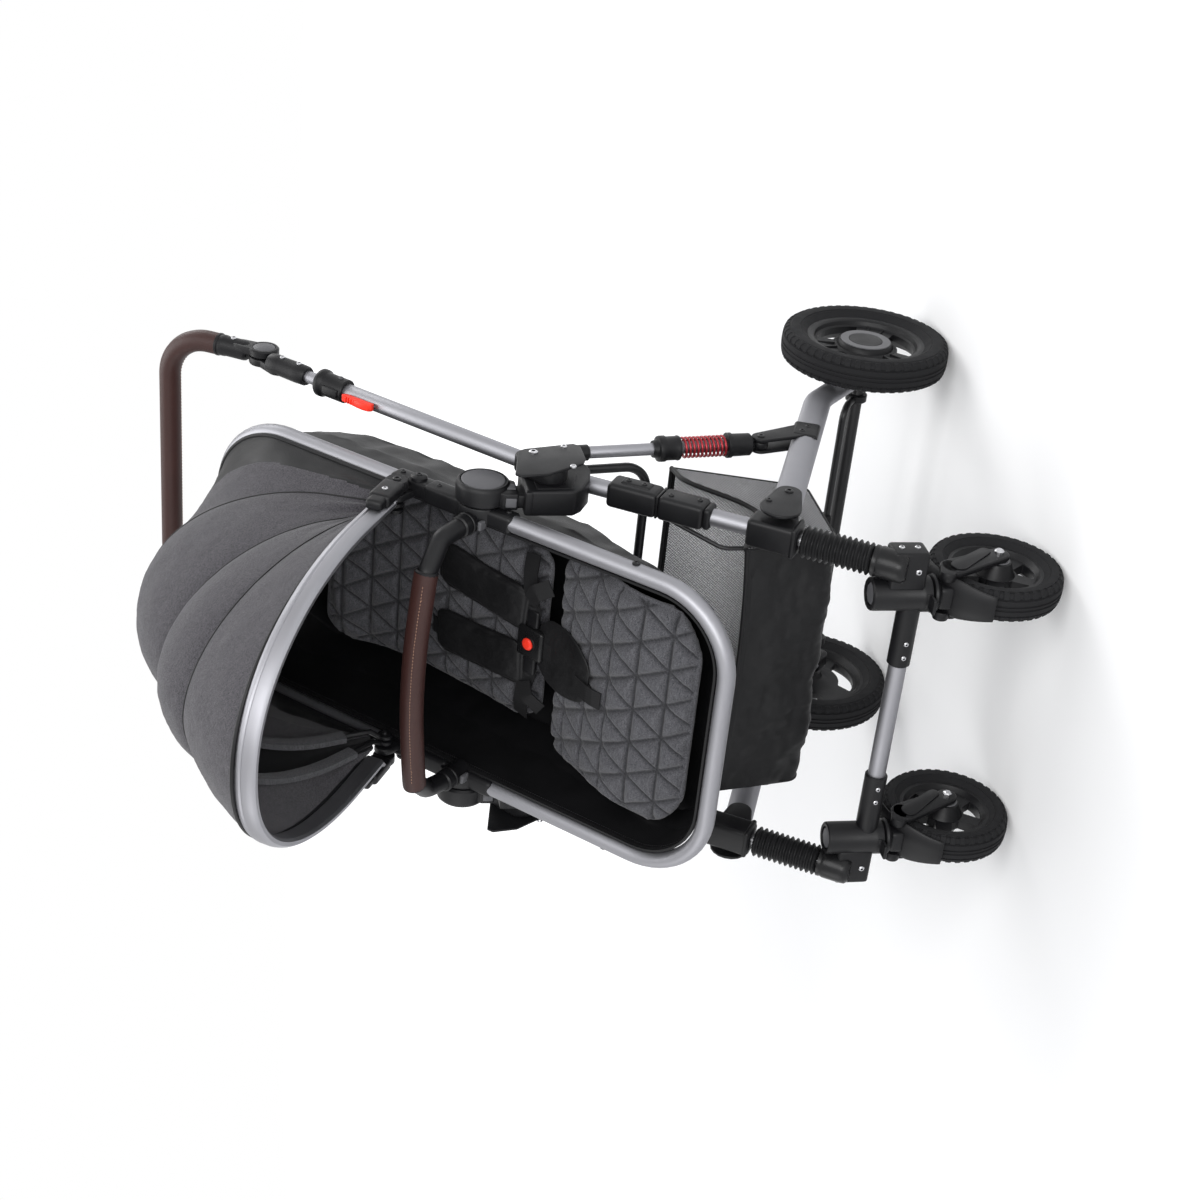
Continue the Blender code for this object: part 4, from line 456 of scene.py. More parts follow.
@dataclass(frozen=True)
class Melange:
    """Cloth woven from mixed dark and pale yarn."""

    name: str
    dark: Spot
    pale: Spot
    sheen: float = 0.15

    def paint(self) -> bpy.types.Material:
        """Makes the material.

        Returns:
            The material.
        """
        p = Paint(self.name)
        weft = p.noise(p.stretched((640.0, 2100.0, 2100.0)), 1.0, 2.0, 0.6)
        warp = p.noise(p.stretched((2100.0, 1300.0, 640.0)), 1.0, 2.0, 0.6)
        slub = p.noise(p.stretched((120.0, 420.0, 420.0)), 1.0, 2.0)
        fleck = (weft * 0.55 + warp * 0.3 + slub * 0.15)
        # Painted shade: where a pad's "seam" attribute marks a quilting groove, the yarn colour is darkened
        # towards 0.3 of the dark yarn.
        groove_shade = p.node("ShaderNodeAttribute", {"attribute_name": "seam"}, {}, 2)
        yarn = p.ramp(fleck, [(0.38, self.dark), (0.64, self.pale)])
        p.set(Base_Color=p.mixed(groove_shade * 0.8, yarn, tuple(c * 0.3 for c in self.dark)))
        p.set(Roughness=0.92, Sheen_Weight=self.sheen, Sheen_Roughness=0.5, Specular_IOR_Level=0.15)
        p.bump(weft + warp, 0.00035, 0.8)
        return p.material


@dataclass(frozen=True)
class Nylon:
    """Smooth dense weave with a dull shine."""

    name: str
    colour: Spot
    rough: float = 0.62
    threads: float = 1400.0
    shine: float = 0.24

    def paint(self) -> bpy.types.Material:
        """Makes the material.

        Returns:
            The material.
        """
        p = Paint(self.name)
        spot = p.place()
        clouds = p.noise(spot, 18.0, 4.0)
        rows = ((p.axis(spot, 0) + p.axis(spot, 1) * 0.35) * (self.threads * 2.0)).sine()
        columns = ((p.axis(spot, 2) - p.axis(spot, 1) * 0.7) * (self.threads * 2.0)).sine()
        p.set(Base_Color=p.mixed(clouds, self.colour, tuple(c * 1.6 for c in self.colour)))
        p.set(Roughness=p.levels(clouds, 0.3, 0.7, self.rough - 0.06, self.rough + 0.08))
        p.set(Sheen_Weight=0.015, Sheen_Roughness=0.4, Specular_IOR_Level=self.shine)
        p.bump(rows * columns, 0.00005, 0.7)
        return p.material


@dataclass(frozen=True)
class Net:
    """Knitted net of pale and black yarn with open eyes."""

    name: str
    dark: Spot = (0.01, 0.01, 0.011)
    pale: Spot = (0.6, 0.6, 0.61)
    pitch: float = 0.0042

    def paint(self) -> bpy.types.Material:
        """Makes the material.

        Returns:
            The material.
        """
        p = Paint(self.name)
        spot = p.place()
        turn = 2.0 * math.pi / self.pitch
        across = ((p.axis(spot, 0) + p.axis(spot, 1)) * turn).sine()
        up = ((p.axis(spot, 2) + p.axis(spot, 1) * 0.4) * turn).sine()
        jitter = p.noise(spot, 420.0, 2.0)
        knots = across * up + (jitter - 0.5) * 1.6
        p.set(Base_Color=p.ramp(p.levels(knots, -0.6, 0.9, 0.0, 1.0),
                                [(0.3, self.dark), (0.62, self.pale)]))
        p.set(Roughness=0.85, Specular_IOR_Level=0.15)
        p.bump(knots, 0.0005, 0.7)
        return p.material


@dataclass(frozen=True)
class Finishes:
    """Every finish of the pram, made once."""

    table: dict[str, bpy.types.Material] = field(default_factory=dict)

    def __getitem__(self, name: str) -> bpy.types.Material:
        """The material of a finish, made when first asked for.

        Args:
            name: Name of what is made.

        Returns:
            The material.
        """
        if name not in self.table:
            self.table[name] = next(f for f in RANGE if f.name == name).paint()
        return self.table[name]


RANGE = (
    Metal("satin_aluminium", (0.29, 0.29, 0.31), 0.5),
    Metal("bright_steel", (0.55, 0.55, 0.57), 0.24),
    Metal("black_coat", (0.01, 0.01, 0.011), 0.4, 0.35),
    Metal("red_wire", (0.3, 0.02, 0.028), 0.32, 0.55),
    Plastic("black_nylon", (0.0045, 0.0045, 0.0052), 0.42),
    Plastic("gloss_black", (0.006, 0.006, 0.0065), 0.28, 0.00002),
    Plastic("grey_cap", (0.075, 0.075, 0.08), 0.42, 0.00003),
    Plastic("grey_ring", (0.095, 0.095, 0.1), 0.38, 0.00003),
    Plastic("red_plastic", (0.72, 0.035, 0.018), 0.32, 0.00002),
    Rubber("tyre_rubber"),
    Rubber("bellows_rubber", (0.007, 0.007, 0.0075), 0.45),
    Leather("brown_leather", (0.026, 0.0095, 0.008), (0.04, 0.015, 0.0125)),
    Leather("leather_thread", (0.3, 0.16, 0.1), (0.36, 0.2, 0.13)),
    Melange("grey_melange", (0.016, 0.016, 0.019), (0.15, 0.15, 0.162)),
    Melange("hood_melange", (0.008, 0.0076, 0.009), (0.125, 0.119, 0.131)),
    Melange("grey_thread", (0.055, 0.055, 0.06), (0.12, 0.12, 0.128)),
    Melange("grey_binding", (0.03, 0.03, 0.033), (0.13, 0.13, 0.138)),
    Nylon("black_cloth", (0.0055, 0.0055, 0.006), 0.52),
    Nylon("tub_nylon", (0.004, 0.004, 0.0044), 0.46, shine=0.13),
    Nylon("black_lining", (0.005, 0.005, 0.0055), 0.7),
    Nylon("black_webbing", (0.006, 0.006, 0.0065), 0.6, 900.0),
    Nylon("black_piping", (0.0055, 0.0055, 0.006), 0.5),
    Net("basket_net"),
    Net("inner_net", (0.34, 0.34, 0.35), (0.8, 0.8, 0.81)),
)
FINISH = Finishes()


# Modelling


def only(piece: bpy.types.Object) -> None:
    """Leaves one object selected and active, in object mode.

    Args:
        piece: The piece to select.
    """
    if bpy.context.mode != "OBJECT":
        bpy.ops.object.mode_set(mode="OBJECT")
    bpy.ops.object.select_all(action="DESELECT")
    piece.select_set(True)
    bpy.context.view_layer.objects.active = piece


@contextmanager
def editing(piece: bpy.types.Object) -> Iterator[None]:
    """Opens a piece in edit mode with all of it selected.

    Args:
        piece: The piece to open in edit mode.

    Yields:
        Nothing, while the mesh is open.
    """
    only(piece)
    bpy.ops.object.mode_set(mode="EDIT")
    bpy.ops.mesh.select_all(action="SELECT")
    yield
    bpy.ops.object.mode_set(mode="OBJECT")


def modified(piece: bpy.types.Object, kind: str, **settings: object) -> bpy.types.Object:
    """Adds a modifier and applies it.

    Args:
        piece: The piece.
        kind: Kind of modifier.
        settings: Its settings.

    Returns:
        The piece.
    """
    only(piece)
    modifier = piece.modifiers.new(kind.lower(), kind)
    for key, value in settings.items():
        setattr(modifier, key, value)
    bpy.ops.object.modifier_apply(modifier=modifier.name)
    return piece


def settled(piece: bpy.types.Object, name: str, finish: str, angle: float = 40.0) -> bpy.types.Object:
    """Names a piece, gives it its finish, smooth shading and outward faces.

    Args:
        piece: The piece.
        name: Its name.
        finish: Name of its finish.
        angle: Edges sharper than this stay crisp.

    Returns:
        The piece.
    """
    with editing(piece):
        bpy.ops.mesh.remove_doubles(threshold=0.00001)
        bpy.ops.mesh.normals_make_consistent(inside=False)
    bpy.ops.object.transform_apply(location=True, rotation=True, scale=True)
    bpy.ops.object.shade_smooth_by_angle(angle=math.radians(angle))
    piece.name = name
    piece.data.name = name
    piece.data.materials.clear()
    piece.data.materials.append(FINISH[finish])
    return piece


def moulded(piece: bpy.types.Object, angle: float = 40.0) -> bpy.types.Object:
    """Settles a part that is moulded in the black plastic."""
    return settled(piece, "moulding", "black_nylon", angle)


def chain(points: Sequence[Spot]) -> bpy.types.Object:
    """Draws a wire by extruding one vertex from point to point.

    Args:
        points: Points of the path.

    Returns:
        The piece.
    """
    bpy.ops.object.select_all(action="DESELECT")
    bpy.ops.mesh.primitive_plane_add(size=0.01)
    piece = bpy.context.object
    with editing(piece):
        bpy.ops.mesh.merge(type="CENTER")
        bpy.ops.transform.translate(value=Vector(points[0]))
        for before, after in zip(points, points[1:]):
            step = Vector(after) - Vector(before)
            bpy.ops.mesh.extrude_vertices_move(TRANSFORM_OT_translate={"value": step})
    return piece


def facing(start: Spot, end: Spot) -> Matrix:
    """Matrix that carries local Z onto the line from start towards end, from start."""
    start, end = Vector(start), Vector(end)
    return Matrix.Translation(start) @ (end - start).to_track_quat("Z", "Y").to_matrix().to_4x4()


def turned(profile: Sequence[Point], stand: Matrix, steps: int = 48) -> bpy.types.Object:
    """Turns a profile about local Z.

    Args:
        profile: (radius, height) points.
        stand: Carries the turned solid to its place.
        steps: Facets round it.

    Returns:
        The solid.
    """
    piece = chain([(r, 0.0, h) for r, h in profile])
    with editing(piece):
        bpy.ops.mesh.spin(steps=steps, angle=2.0 * math.pi, center=(0.0, 0.0, 0.0), axis=(0.0, 0.0, 1.0))
        bpy.ops.mesh.select_all(action="SELECT")
        bpy.ops.mesh.remove_doubles(threshold=0.000005)
        bpy.ops.mesh.normals_make_consistent(inside=False)
    piece.data.transform(stand)
    return piece


def shaft(start: Spot, end: Spot, radius: float, edge: float = 0.0012, steps: int = 40) -> bpy.types.Object:
    """Round bar with softened ends.

    Args:
        start: Centre of the first end.
        end: Centre of the other end.
        radius: Its radius.
        edge: Width of the bevel along its edges.
        steps: Steps along the curve.

    Returns:
        The piece.
    """
    length = (Vector(end) - Vector(start)).length
    edge = min(edge, radius * 0.45, length * 0.45)
    profile = [(0.0, 0.0), (radius - edge, 0.0), (radius - edge * 0.3, edge * 0.3), (radius, edge)]
    profile += [(r, length - h) for r, h in reversed(profile)]
    return turned(profile, facing(start, end), steps)


def hollow(start: Spot, end: Spot, radius: float, bore: float, edge: float = 0.0008) -> bpy.types.Object:
    """Round sleeve with an open bore.

    Args:
        start: Centre of the first end.
        end: Centre of the other end.
        radius: Its radius.
        bore: Radius of the hole.
        edge: Width of the bevel along its edges.

    Returns:
        The piece.
    """
    length = (Vector(end) - Vector(start)).length
    profile = [(bore, 0.0), (radius - edge, 0.0), (radius, edge), (radius, length - edge),
               (radius - edge, length),
               (bore, length), (bore, 0.0)]
    return turned(profile, facing(start, end), 40)


def slab(outline: Sequence[Point], x0: float, x1: float, edge: float = 0.0012,
         segments: int = 2) -> bpy.types.Object:
    """Plate square to X from a closed (y, z) outline, with rounded edges.

    Args:
        outline: Outline as (y, z) points.
        x0: X of the inner face.
        x1: X of the outer face.
        edge: Width of the bevel along its edges.
        segments: Segments of the bevel.

    Returns:
        The piece.
    """
    piece = chain([(x0, y, z) for y, z in outline])
    with editing(piece):
        bpy.ops.mesh.edge_face_add()
        bpy.ops.mesh.extrude_region_move(TRANSFORM_OT_translate={"value": (x1 - x0, 0.0, 0.0)})
        bpy.ops.mesh.select_all(action="SELECT")
        bpy.ops.mesh.normals_make_consistent(inside=False)
    if edge > 0.0:
        modified(piece, "BEVEL", width=edge, segments=segments, limit_method="ANGLE",
                 angle_limit=math.radians(30.0))
    return piece


def brick(low: Spot, high: Spot, edge: float, stand: Optional[Matrix] = None,
          segments: int = 3) -> bpy.types.Object:
    """Box between two corners, with rounded edges.

    Args:
        low: Lowest corner.
        high: Highest corner.
        edge: Width of the bevel along its edges.
        stand: Frame that it stands in, or None for the pram's own.
        segments: Segments of the bevel.

    Returns:
        The piece.
    """
    low, high = Vector(low), Vector(high)
    bpy.ops.object.select_all(action="DESELECT")
    bpy.ops.mesh.primitive_cube_add(size=1.0)
    piece = bpy.context.object
    piece.data.transform(Matrix.Translation((low + high) / 2.0) @ Matrix.Diagonal((*(high - low), 1.0)))
    modified(piece, "BEVEL", width=edge, segments=segments)
    if stand is not None:
        piece.data.transform(stand)
    return piece


def lean(yz: Point, angle: float, x: float = 0.0) -> Matrix:
    """Matrix whose local Y runs along a slope."""
    return Matrix.Translation((x, yz[0], yz[1])) @ Matrix.Rotation(math.radians(angle), 4, "X")


def arcs(points: Sequence[Spot], radius: float, steps: int = 8) -> list[Vector]:
    """Rounds the inner corners of a polyline.

    Args:
        points: Points of the path.
        radius: Its radius.
        steps: Steps along the curve.

    Returns:
        The points.
    """
    points = [Vector(p) for p in points]
    path = [points[0]]
    for before, corner, after in zip(points, points[1:], points[2:]):
        back, ahead = (before - corner).normalized(), (after - corner).normalized()
        half = back.angle(ahead) / 2.0
        if half > math.pi / 2.0 - 0.01:
            path.append(corner)
            continue
        reach = radius / math.tan(half)
        start, end = corner + back * reach, corner + ahead * reach
        centre = corner + (back + ahead).normalized() * (radius / math.sin(half))
        turn = (start - centre).rotation_difference(end - centre)
        for step in range(steps + 1):
            part = turn.copy()
            part.angle = turn.angle * step / steps
            path.append(centre + part @ (start - centre))
    path.append(points[-1])
    return path


def capsule(a: Point, radius_a: float, b: Point, radius_b: float, steps: int = 10) -> list[Point]:
    """Outline round two circles.

    Args:
        a: Centre of the first end, as (y, z).
        radius_a: Radius of the first end.
        b: Centre of the other end, as (y, z).
        radius_b: Radius of the other end.
        steps: Steps along the curve.

    Returns:
        The points in their plane.
    """
    axis = math.atan2(b[1] - a[1], b[0] - a[0])
    spread = math.acos((radius_a - radius_b) / math.dist(a, b))
    outline = []
    ends = ((a, radius_a, axis + spread, axis + 2.0 * math.pi - spread),
            (b, radius_b, axis - spread, axis + spread))
    for centre, radius, first, last in ends:
        for step in range(steps + 1):
            angle = first + (last - first) * step / steps
            outline.append((centre[0] + radius * math.cos(angle), centre[1] + radius * math.sin(angle)))
    return outline


def line_of(points: Sequence[Spot], cyclic: bool = False) -> bpy.types.Object:
    """Curve object through these points.

    Args:
        points: Points of the path.
        cyclic: Whether the path closes.

    Returns:
        The piece.
    """
    bpy.ops.object.select_all(action="DESELECT")
    bpy.ops.curve.primitive_bezier_curve_add()
    path = bpy.context.object
    path.data.splines.clear()
    spline = path.data.splines.new("POLY")
    spline.points.add(len(points) - 1)
    for target, point in zip(spline.points, points):
        target.co = (*point, 1.0)
    spline.use_cyclic_u = cyclic
    return path


def swept(points: Sequence[Spot], radius: float = 0.0, section: Sequence[Point] = (), cyclic: bool = False,
          stand: Optional[Matrix] = None) -> bpy.types.Object:
    """Runs a round or drawn section along a path.

    Args:
        points: The path.
        radius: Radius of a round section.
        section: Outline of another section, (inwards, along local Z) points.
        cyclic: Whether the path closes.
        stand: Carries the result to its place.

    Returns:
        The piece, as a mesh.
    """
    path = line_of(points, cyclic)
    path.data.dimensions = "3D"
    path.data.use_fill_caps = not cyclic
    profile = None
    if section:
        profile = line_of([(a, b, 0.0) for a, b in section], True)
        profile.data.dimensions = "2D"
        path.data.twist_mode = "Z_UP"
        path.data.bevel_mode = "OBJECT"
        path.data.bevel_object = profile
    else:
        path.data.bevel_depth = radius
        path.data.bevel_resolution = 6
    only(path)
    bpy.ops.object.convert(target="MESH")
    piece = bpy.context.object
    if profile is not None:
        bpy.data.objects.remove(profile, do_unlink=True)
    if stand is not None:
        piece.data.transform(stand)
    return piece


def merged(*pieces: bpy.types.Object) -> bpy.types.Object:
    """Joins pieces into the first one, keeping each one's finish.

    Args:
        pieces: Pieces to join; the first gives the name.

    Returns:
        The piece.
    """
    only(pieces[0])
    for piece in pieces[1:]:
        piece.select_set(True)
    bpy.ops.object.join()
    return bpy.context.object


def carved(piece: bpy.types.Object, *cutters: bpy.types.Object) -> bpy.types.Object:
    """Cuts a piece with solids, which are used up.

    Args:
        piece: The piece.
        cutters: Shapes to cut away.

    Returns:
        The piece.
    """
    for cutter in cutters:
        modified(piece, "BOOLEAN", operation="DIFFERENCE", solver="EXACT", object=cutter)
        bpy.data.objects.remove(cutter, do_unlink=True)
    return piece


def dotted(points: Sequence[Spot], pitch: float, length: float, radius: float) -> bpy.types.Object:
    """A row of stitches along a path.

    Args:
        points: Points of the path.
        pitch: Distance between two.
        length: Length of each.
        radius: Its radius.

    Returns:
        The piece.
    """
    path = line_of(points)
    bpy.ops.object.select_all(action="DESELECT")
    bpy.ops.mesh.primitive_uv_sphere_add(segments=6, ring_count=4, radius=1.0)
    piece = bpy.context.object
    piece.data.transform(Matrix.Rotation(math.pi / 2.0, 4, "Y"))
    piece.data.transform(Matrix.Translation((length / 2.0, 0.0, 0.0)) @ Matrix.Diagonal((length / 2.0,
            radius, radius, 1.0)))
    modified(piece, "ARRAY", fit_type="FIT_CURVE", curve=path, use_relative_offset=False,
             use_constant_offset=True, constant_offset_displace=(pitch, 0.0, 0.0))
    modified(piece, "CURVE", object=path, deform_axis="POS_X")
    bpy.data.objects.remove(path, do_unlink=True)
    return piece


def screw(centre: Spot, out: Spot, radius: float = 0.0045) -> bpy.types.Object:
    """Domed screw head with a hexagon socket.

    Args:
        centre: Middle of its face.
        out: Direction in which its head looks.
        radius: Its radius.

    Returns:
        The piece.
    """
    centre, out = Vector(centre), Vector(out)
    profile = [(radius * 0.45, 0.0006), (radius * 0.45, 0.0021), (radius * 0.75, 0.002), (radius, 0.001),
               (radius, -0.0005)]
    return turned(profile, facing(centre, centre + out), 12)


def bolt(centre: Spot, out: Spot, radius: float = 0.0045, finish: str = "bright_steel") -> bpy.types.Object:
    """Screw head with its finish."""
    return settled(screw(centre, out, radius), "screw", finish, 25.0)


def cloth_grid(columns: int, rows: int, shape: Callable[[float, float], Vector]) -> bpy.types.Object:
    """Grid of cloth laid out point by point.

    Args:
        columns: Cells across.
        rows: Cells along.
        shape: Gives a point's place from u and v, 0 to 1.

    Returns:
        The open sheet.
    """
    bpy.ops.object.select_all(action="DESELECT")
    bpy.ops.mesh.primitive_grid_add(x_subdivisions=columns, y_subdivisions=rows, size=1.0)
    piece = bpy.context.object
    for vert in piece.data.vertices:
        vert.co = shape(vert.co.x + 0.5, vert.co.y + 0.5)
    return piece


def swelled(piece: bpy.types.Object, voxel: float, cap: float, pressure: float = 4.0) -> bpy.types.Object:
    """Blows a closed cloth form up with a cloth simulation and holds each point near its start.

    Args:
        piece: Closed form, a little small.
        voxel: Size of the remeshed cells.
        cap: Furthest that a point may move.
        pressure: Air pressure inside.

    Returns:
        The swelled form, subdivided once.
    """
    modified(piece, "REMESH", mode="VOXEL", voxel_size=voxel)
    start = [vert.co.copy() for vert in piece.data.vertices]
    only(piece)
    cloth = piece.modifiers.new("cloth", "CLOTH")
    cloth.settings.use_pressure = True
    cloth.settings.uniform_pressure_force = pressure
    cloth.settings.effector_weights.gravity = 0.0
    cloth.settings.quality = 5
    scene = bpy.context.scene
    for frame_number in range(1, 21):
        scene.frame_set(frame_number)
    bpy.ops.object.modifier_apply(modifier=cloth.name)
    scene.frame_set(1)
    for vert, before in zip(piece.data.vertices, start):
        move = vert.co - before
        if move.length > cap:
            vert.co = before + move.normalized() * cap
    return modified(piece, "SUBSURF", levels=1, render_levels=1)


@dataclass
class Bench:
    """Mounts finished pieces on the model's bodies."""

    count: int = 0

    def mount(self, piece: bpy.types.Object, body: str, slot: str, *nodes: str,
              shift: bool = True) -> bpy.types.Object:
        """Carries a piece to the model's frame and fixes it to a body.

        Args:
            piece: The finished piece.
            body: Body it moves with.
            slot: Material slot of the record; not used.
            nodes: Model nodes that it stands for.
            shift: Whether it is still in the layout's frame.

        Returns:
            The piece.
        """
        if shift:
            piece.data.transform(Matrix.Translation((0.0, -MIDDLE_Y, 0.0)))
        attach(piece, body)
        if nodes:
            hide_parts(*nodes)
        self.count += 1
        LOG.info("%s rides on %s", piece.name, body)
        return piece

    def pair(self, piece: bpy.types.Object, body: str, slot: str, *nodes: str) -> None:
        """Mounts a left piece and its mirrored right twin; names end in _L.

        Args:
            piece: The left one.
            body: Body that it rides on.
            slot: Material slot of the record.
            nodes: CAD nodes that it stands for.
        """
        only(piece)
        bpy.ops.object.duplicate()
        twin = bpy.context.object
        twin.name = other_side(piece.name)
        twin.data.name = twin.name
        twin.data.transform(Matrix.Diagonal((-1.0, 1.0, 1.0, 1.0)))
        with editing(twin):
            bpy.ops.mesh.flip_normals()
        self.mount(piece, body, slot, *nodes)
        self.mount(twin, other_side(body), slot, *(other_side(n) for n in nodes))


def other_side(name: str) -> str:
    """Turns a left name into the right one; other names stay."""
    return name[:-1] + Side.RIGHT.value if name.endswith("_" + Side.LEFT.value) else name


BENCH = Bench()


# Wheels


@dataclass
class Wheel:
    """A foam tyre on a moulded centre."""

    name: str
    centre: tuple[float, float, float]
    radius: float
    width: float
    depth: float
    blocks: int

    def stand(self) -> Matrix:
        """Carries local Z onto +X at the wheel's centre."""
        return Matrix.Translation(self.centre) @ Matrix(((0, 0, 1, 0), (0, 1, 0, 0), (-1, 0, 0, 0),
                (0, 0, 0, 1)))

    def tyre(self) -> bpy.types.Object:
        """Makes the tyre with grooves round it and sipes cut in its shoulders.

        Returns:
            The piece.
        """
        half, r, bead = self.width / 2.0, self.radius, self.radius - self.depth
        groove, wide = 0.0016, 0.0011
        side = [
            (bead, half * 0.6), (bead + self.depth * 0.1, half * 0.72),
            (bead + self.depth * 0.26, half * 0.9),
            (bead + self.depth * 0.3, half * 0.9), (bead + self.depth * 0.33, half * 0.965),
            (bead + self.depth * 0.5, half), (bead + self.depth * 0.68, half * 0.975),
            (bead + self.depth * 0.71, half * 0.93), (bead + self.depth * 0.74, half * 0.93),
            (bead + self.depth * 0.8, half * 0.93), (r - 0.003, half * 0.8), (r - 0.0012, half * 0.6),
            (r - 0.001 - groove, half * 0.6 - wide * 0.6), (r - 0.001 - groove, half * 0.5),
            (r - 0.0007, half * 0.5 - wide * 0.6), (r - 0.0001, half * 0.2),
            (r - groove, half * 0.2 - wide * 0.6), (r - groove, half * 0.08), (r, half * 0.08 - wide * 0.5),
        ]
        profile = side + [(a, -b) for a, b in reversed(side)]
        profile.append(profile[0])
        piece = turned(profile, Matrix.Identity(4), self.blocks * 2)
        turn = math.pi / self.blocks
        with editing(piece):
            shoulder = (r - 0.0085, r - 0.0002)
            grid = bmesh.from_edit_mesh(piece.data)
            for face in grid.faces:
                middle = face.calc_center_median()
                out = math.hypot(middle.x, middle.y)
                index = round((math.atan2(middle.y, middle.x) - turn / 2.0) / turn)
                on_shoulder = shoulder[0] < out < shoulder[1] and abs(middle.z) > half * 0.52
                face.select = on_shoulder and index % 2 == 0
            bmesh.update_edit_mesh(piece.data)
            bpy.ops.mesh.inset(thickness=0.0009, depth=-0.0011, use_individual=False)
        piece.data.transform(self.stand())
        return settled(piece, self.name, "tyre_rubber", 32.0)

    def ring(self, inner: float, outer: float, x: float, proud: float, finish: str,
             name: str) -> bpy.types.Object:
        """Flat ring let into the wheel's outer face.

        Args:
            inner: Inner radius.
            outer: Outer radius.
            x: Height of its face over the wheel's middle.
            proud: How far it stands proud.
            finish: Name of its finish.
            name: Name of what is made.

        Returns:
            The piece.
        """
        edge = 0.0006
        profile = [(inner, -0.001), (inner, proud - edge), (inner + edge, proud), (outer - edge, proud),
                   (outer, proud - edge), (outer, -0.001), (inner, -0.001)]
        piece = turned(profile, self.stand() @ Matrix.Translation((0.0, 0.0, x)), 64)
        return settled(piece, name, finish)

    def openings(self, count: int, inner: float, outer: float, share: float, first: float,
                 narrow: float) -> list[bpy.types.Object]:
        """Cutters for the openings between the spokes.

        Args:
            count: How many.
            inner: Inner radius.
            outer: Outer radius.
            share: Part of the turn that is open at the outer radius.
            first: Angle of the first opening's middle, in degrees.
            narrow: Part of that width left at the inner radius.

        Returns:
            The cutters.
        """
        x, y, z = self.centre
        made = []
        for index in range(count):
            middle = math.radians(first + 360.0 * index / count)
            spread = math.pi * share / count
            outline = []
            for radius, a, b in ((inner, narrow, -narrow), (outer, -1.0, 1.0)):
                for step in range(9):
                    angle = middle + spread * (a + (b - a) * step / 8.0)
                    outline.append((y + radius * math.cos(angle), z + radius * math.sin(angle)))
            made.append(slab(outline, x - 0.05, x + 0.05, 0.0022, 2))
        return made


@dataclass
class RearWheels:
    """Both rear wheels."""

    wheel: Wheel = field(default_factory=lambda: Wheel("rear_tyre_skin_L", (LAY.rear_x, *LAY.rear_axle),
            0.12, 0.047, 0.036, 52))

    def build(self) -> None:
        """Makes and mounts tyres, dished centres, rings and caps."""
        w = self.wheel
        BENCH.pair(w.tyre(), "rear_wheel_L", "rear_tyre", "rear_tyre_L")
        bead = w.radius - w.depth
        profile = [
            (0.0, 0.012), (0.03, 0.0122), (0.0372, 0.0118), (0.0392, 0.0098), (0.041, 0.005),
            (0.045, 0.003),
            (0.07, 0.0052), (0.0725, 0.007), (0.0745, 0.0122), (0.0775, 0.0142), (0.0812, 0.0148),
            (bead + 0.0012, 0.0143), (bead + 0.0012, -0.0143), (0.08, -0.0146), (0.0765, -0.01),
            (0.0735, -0.0046),
            (0.045, -0.0046), (0.033, -0.0052), (0.02, -0.012), (0.016, -0.0185), (0.007, -0.019),
            (0.007, 0.0),
            (0.0, 0.0),
        ]
        centre = turned(profile, w.stand(), 96)
        centre = carved(centre, *w.openings(3, 0.047, 0.0695, 0.62, -90.0, 0.8))
        centre = settled(centre, "rear_centre_L", "black_nylon", 30.0)
        ribs = []
        for index in range(3):
            for spread in (-9.0, 9.0):
                angle = math.radians(-30.0 + 120.0 * index + spread)
                rib = brick((-0.0016, 0.044, -0.001), (0.0016, 0.0725, 0.0062), 0.0008)
                rib.data.transform(w.stand() @ Matrix.Rotation(angle, 4, "Z"))
                ribs.append(moulded(rib))
        disc = turned([(0.0, 0.0), (0.0235, 0.0), (0.024, -0.0005), (0.024, -0.003)],
                      w.stand() @ Matrix.Translation((0, 0, 0.013)), 64)
        disc = moulded(disc)
        face = w.ring(0.0246, 0.0362, 0.0118, 0.0014, "grey_ring", "face")
        BENCH.pair(merged(centre, *ribs, disc, face), "rear_wheel_L", "rear_hub", "rear_hub_L")


@dataclass
class FrontWheels:
    """Both front wheels."""

    wheel: Wheel = field(default_factory=lambda: Wheel("front_tyre_skin_L",
            (LAY.caster[0], *LAY.front_axle), 0.0855, 0.042, 0.026, 40))

    def build(self) -> None:
        """Makes and mounts tyres and spoked centres."""
        w = self.wheel
        BENCH.pair(w.tyre(), "front_wheel_L", "front_tyre", "front_tyre_L")
        bead = w.radius - w.depth
        half = [(0.0058, 0.0238), (0.015, 0.0238), (0.0172, 0.0228), (0.023, 0.0085), (0.025, 0.0055),
                (0.05, 0.0065), (0.053, 0.01), (0.055, 0.0128), (bead + 0.001, 0.0128)]
        profile = half + [(r, -z) for r, z in reversed(half)] + [half[0]]
        centre = carved(turned(profile, w.stand(), 80), *w.openings(5, 0.027, 0.0485, 0.66, -90.0, 0.52))
        centre = settled(centre, "front_centre_L", "black_nylon", 30.0)
        rings = [w.ring(0.009, 0.015, 0.0236, 0.001, "grey_ring", "face")]
        back = w.ring(0.009, 0.015, 0.0236, 0.001, "grey_ring", "back")
        back.data.transform(w.stand() @ Matrix.Rotation(math.pi, 4, "X") @ w.stand().inverted())
        BENCH.pair(merged(centre, *rings, back), "front_wheel_L", "front_hub", "front_hub_L")


# Front axle


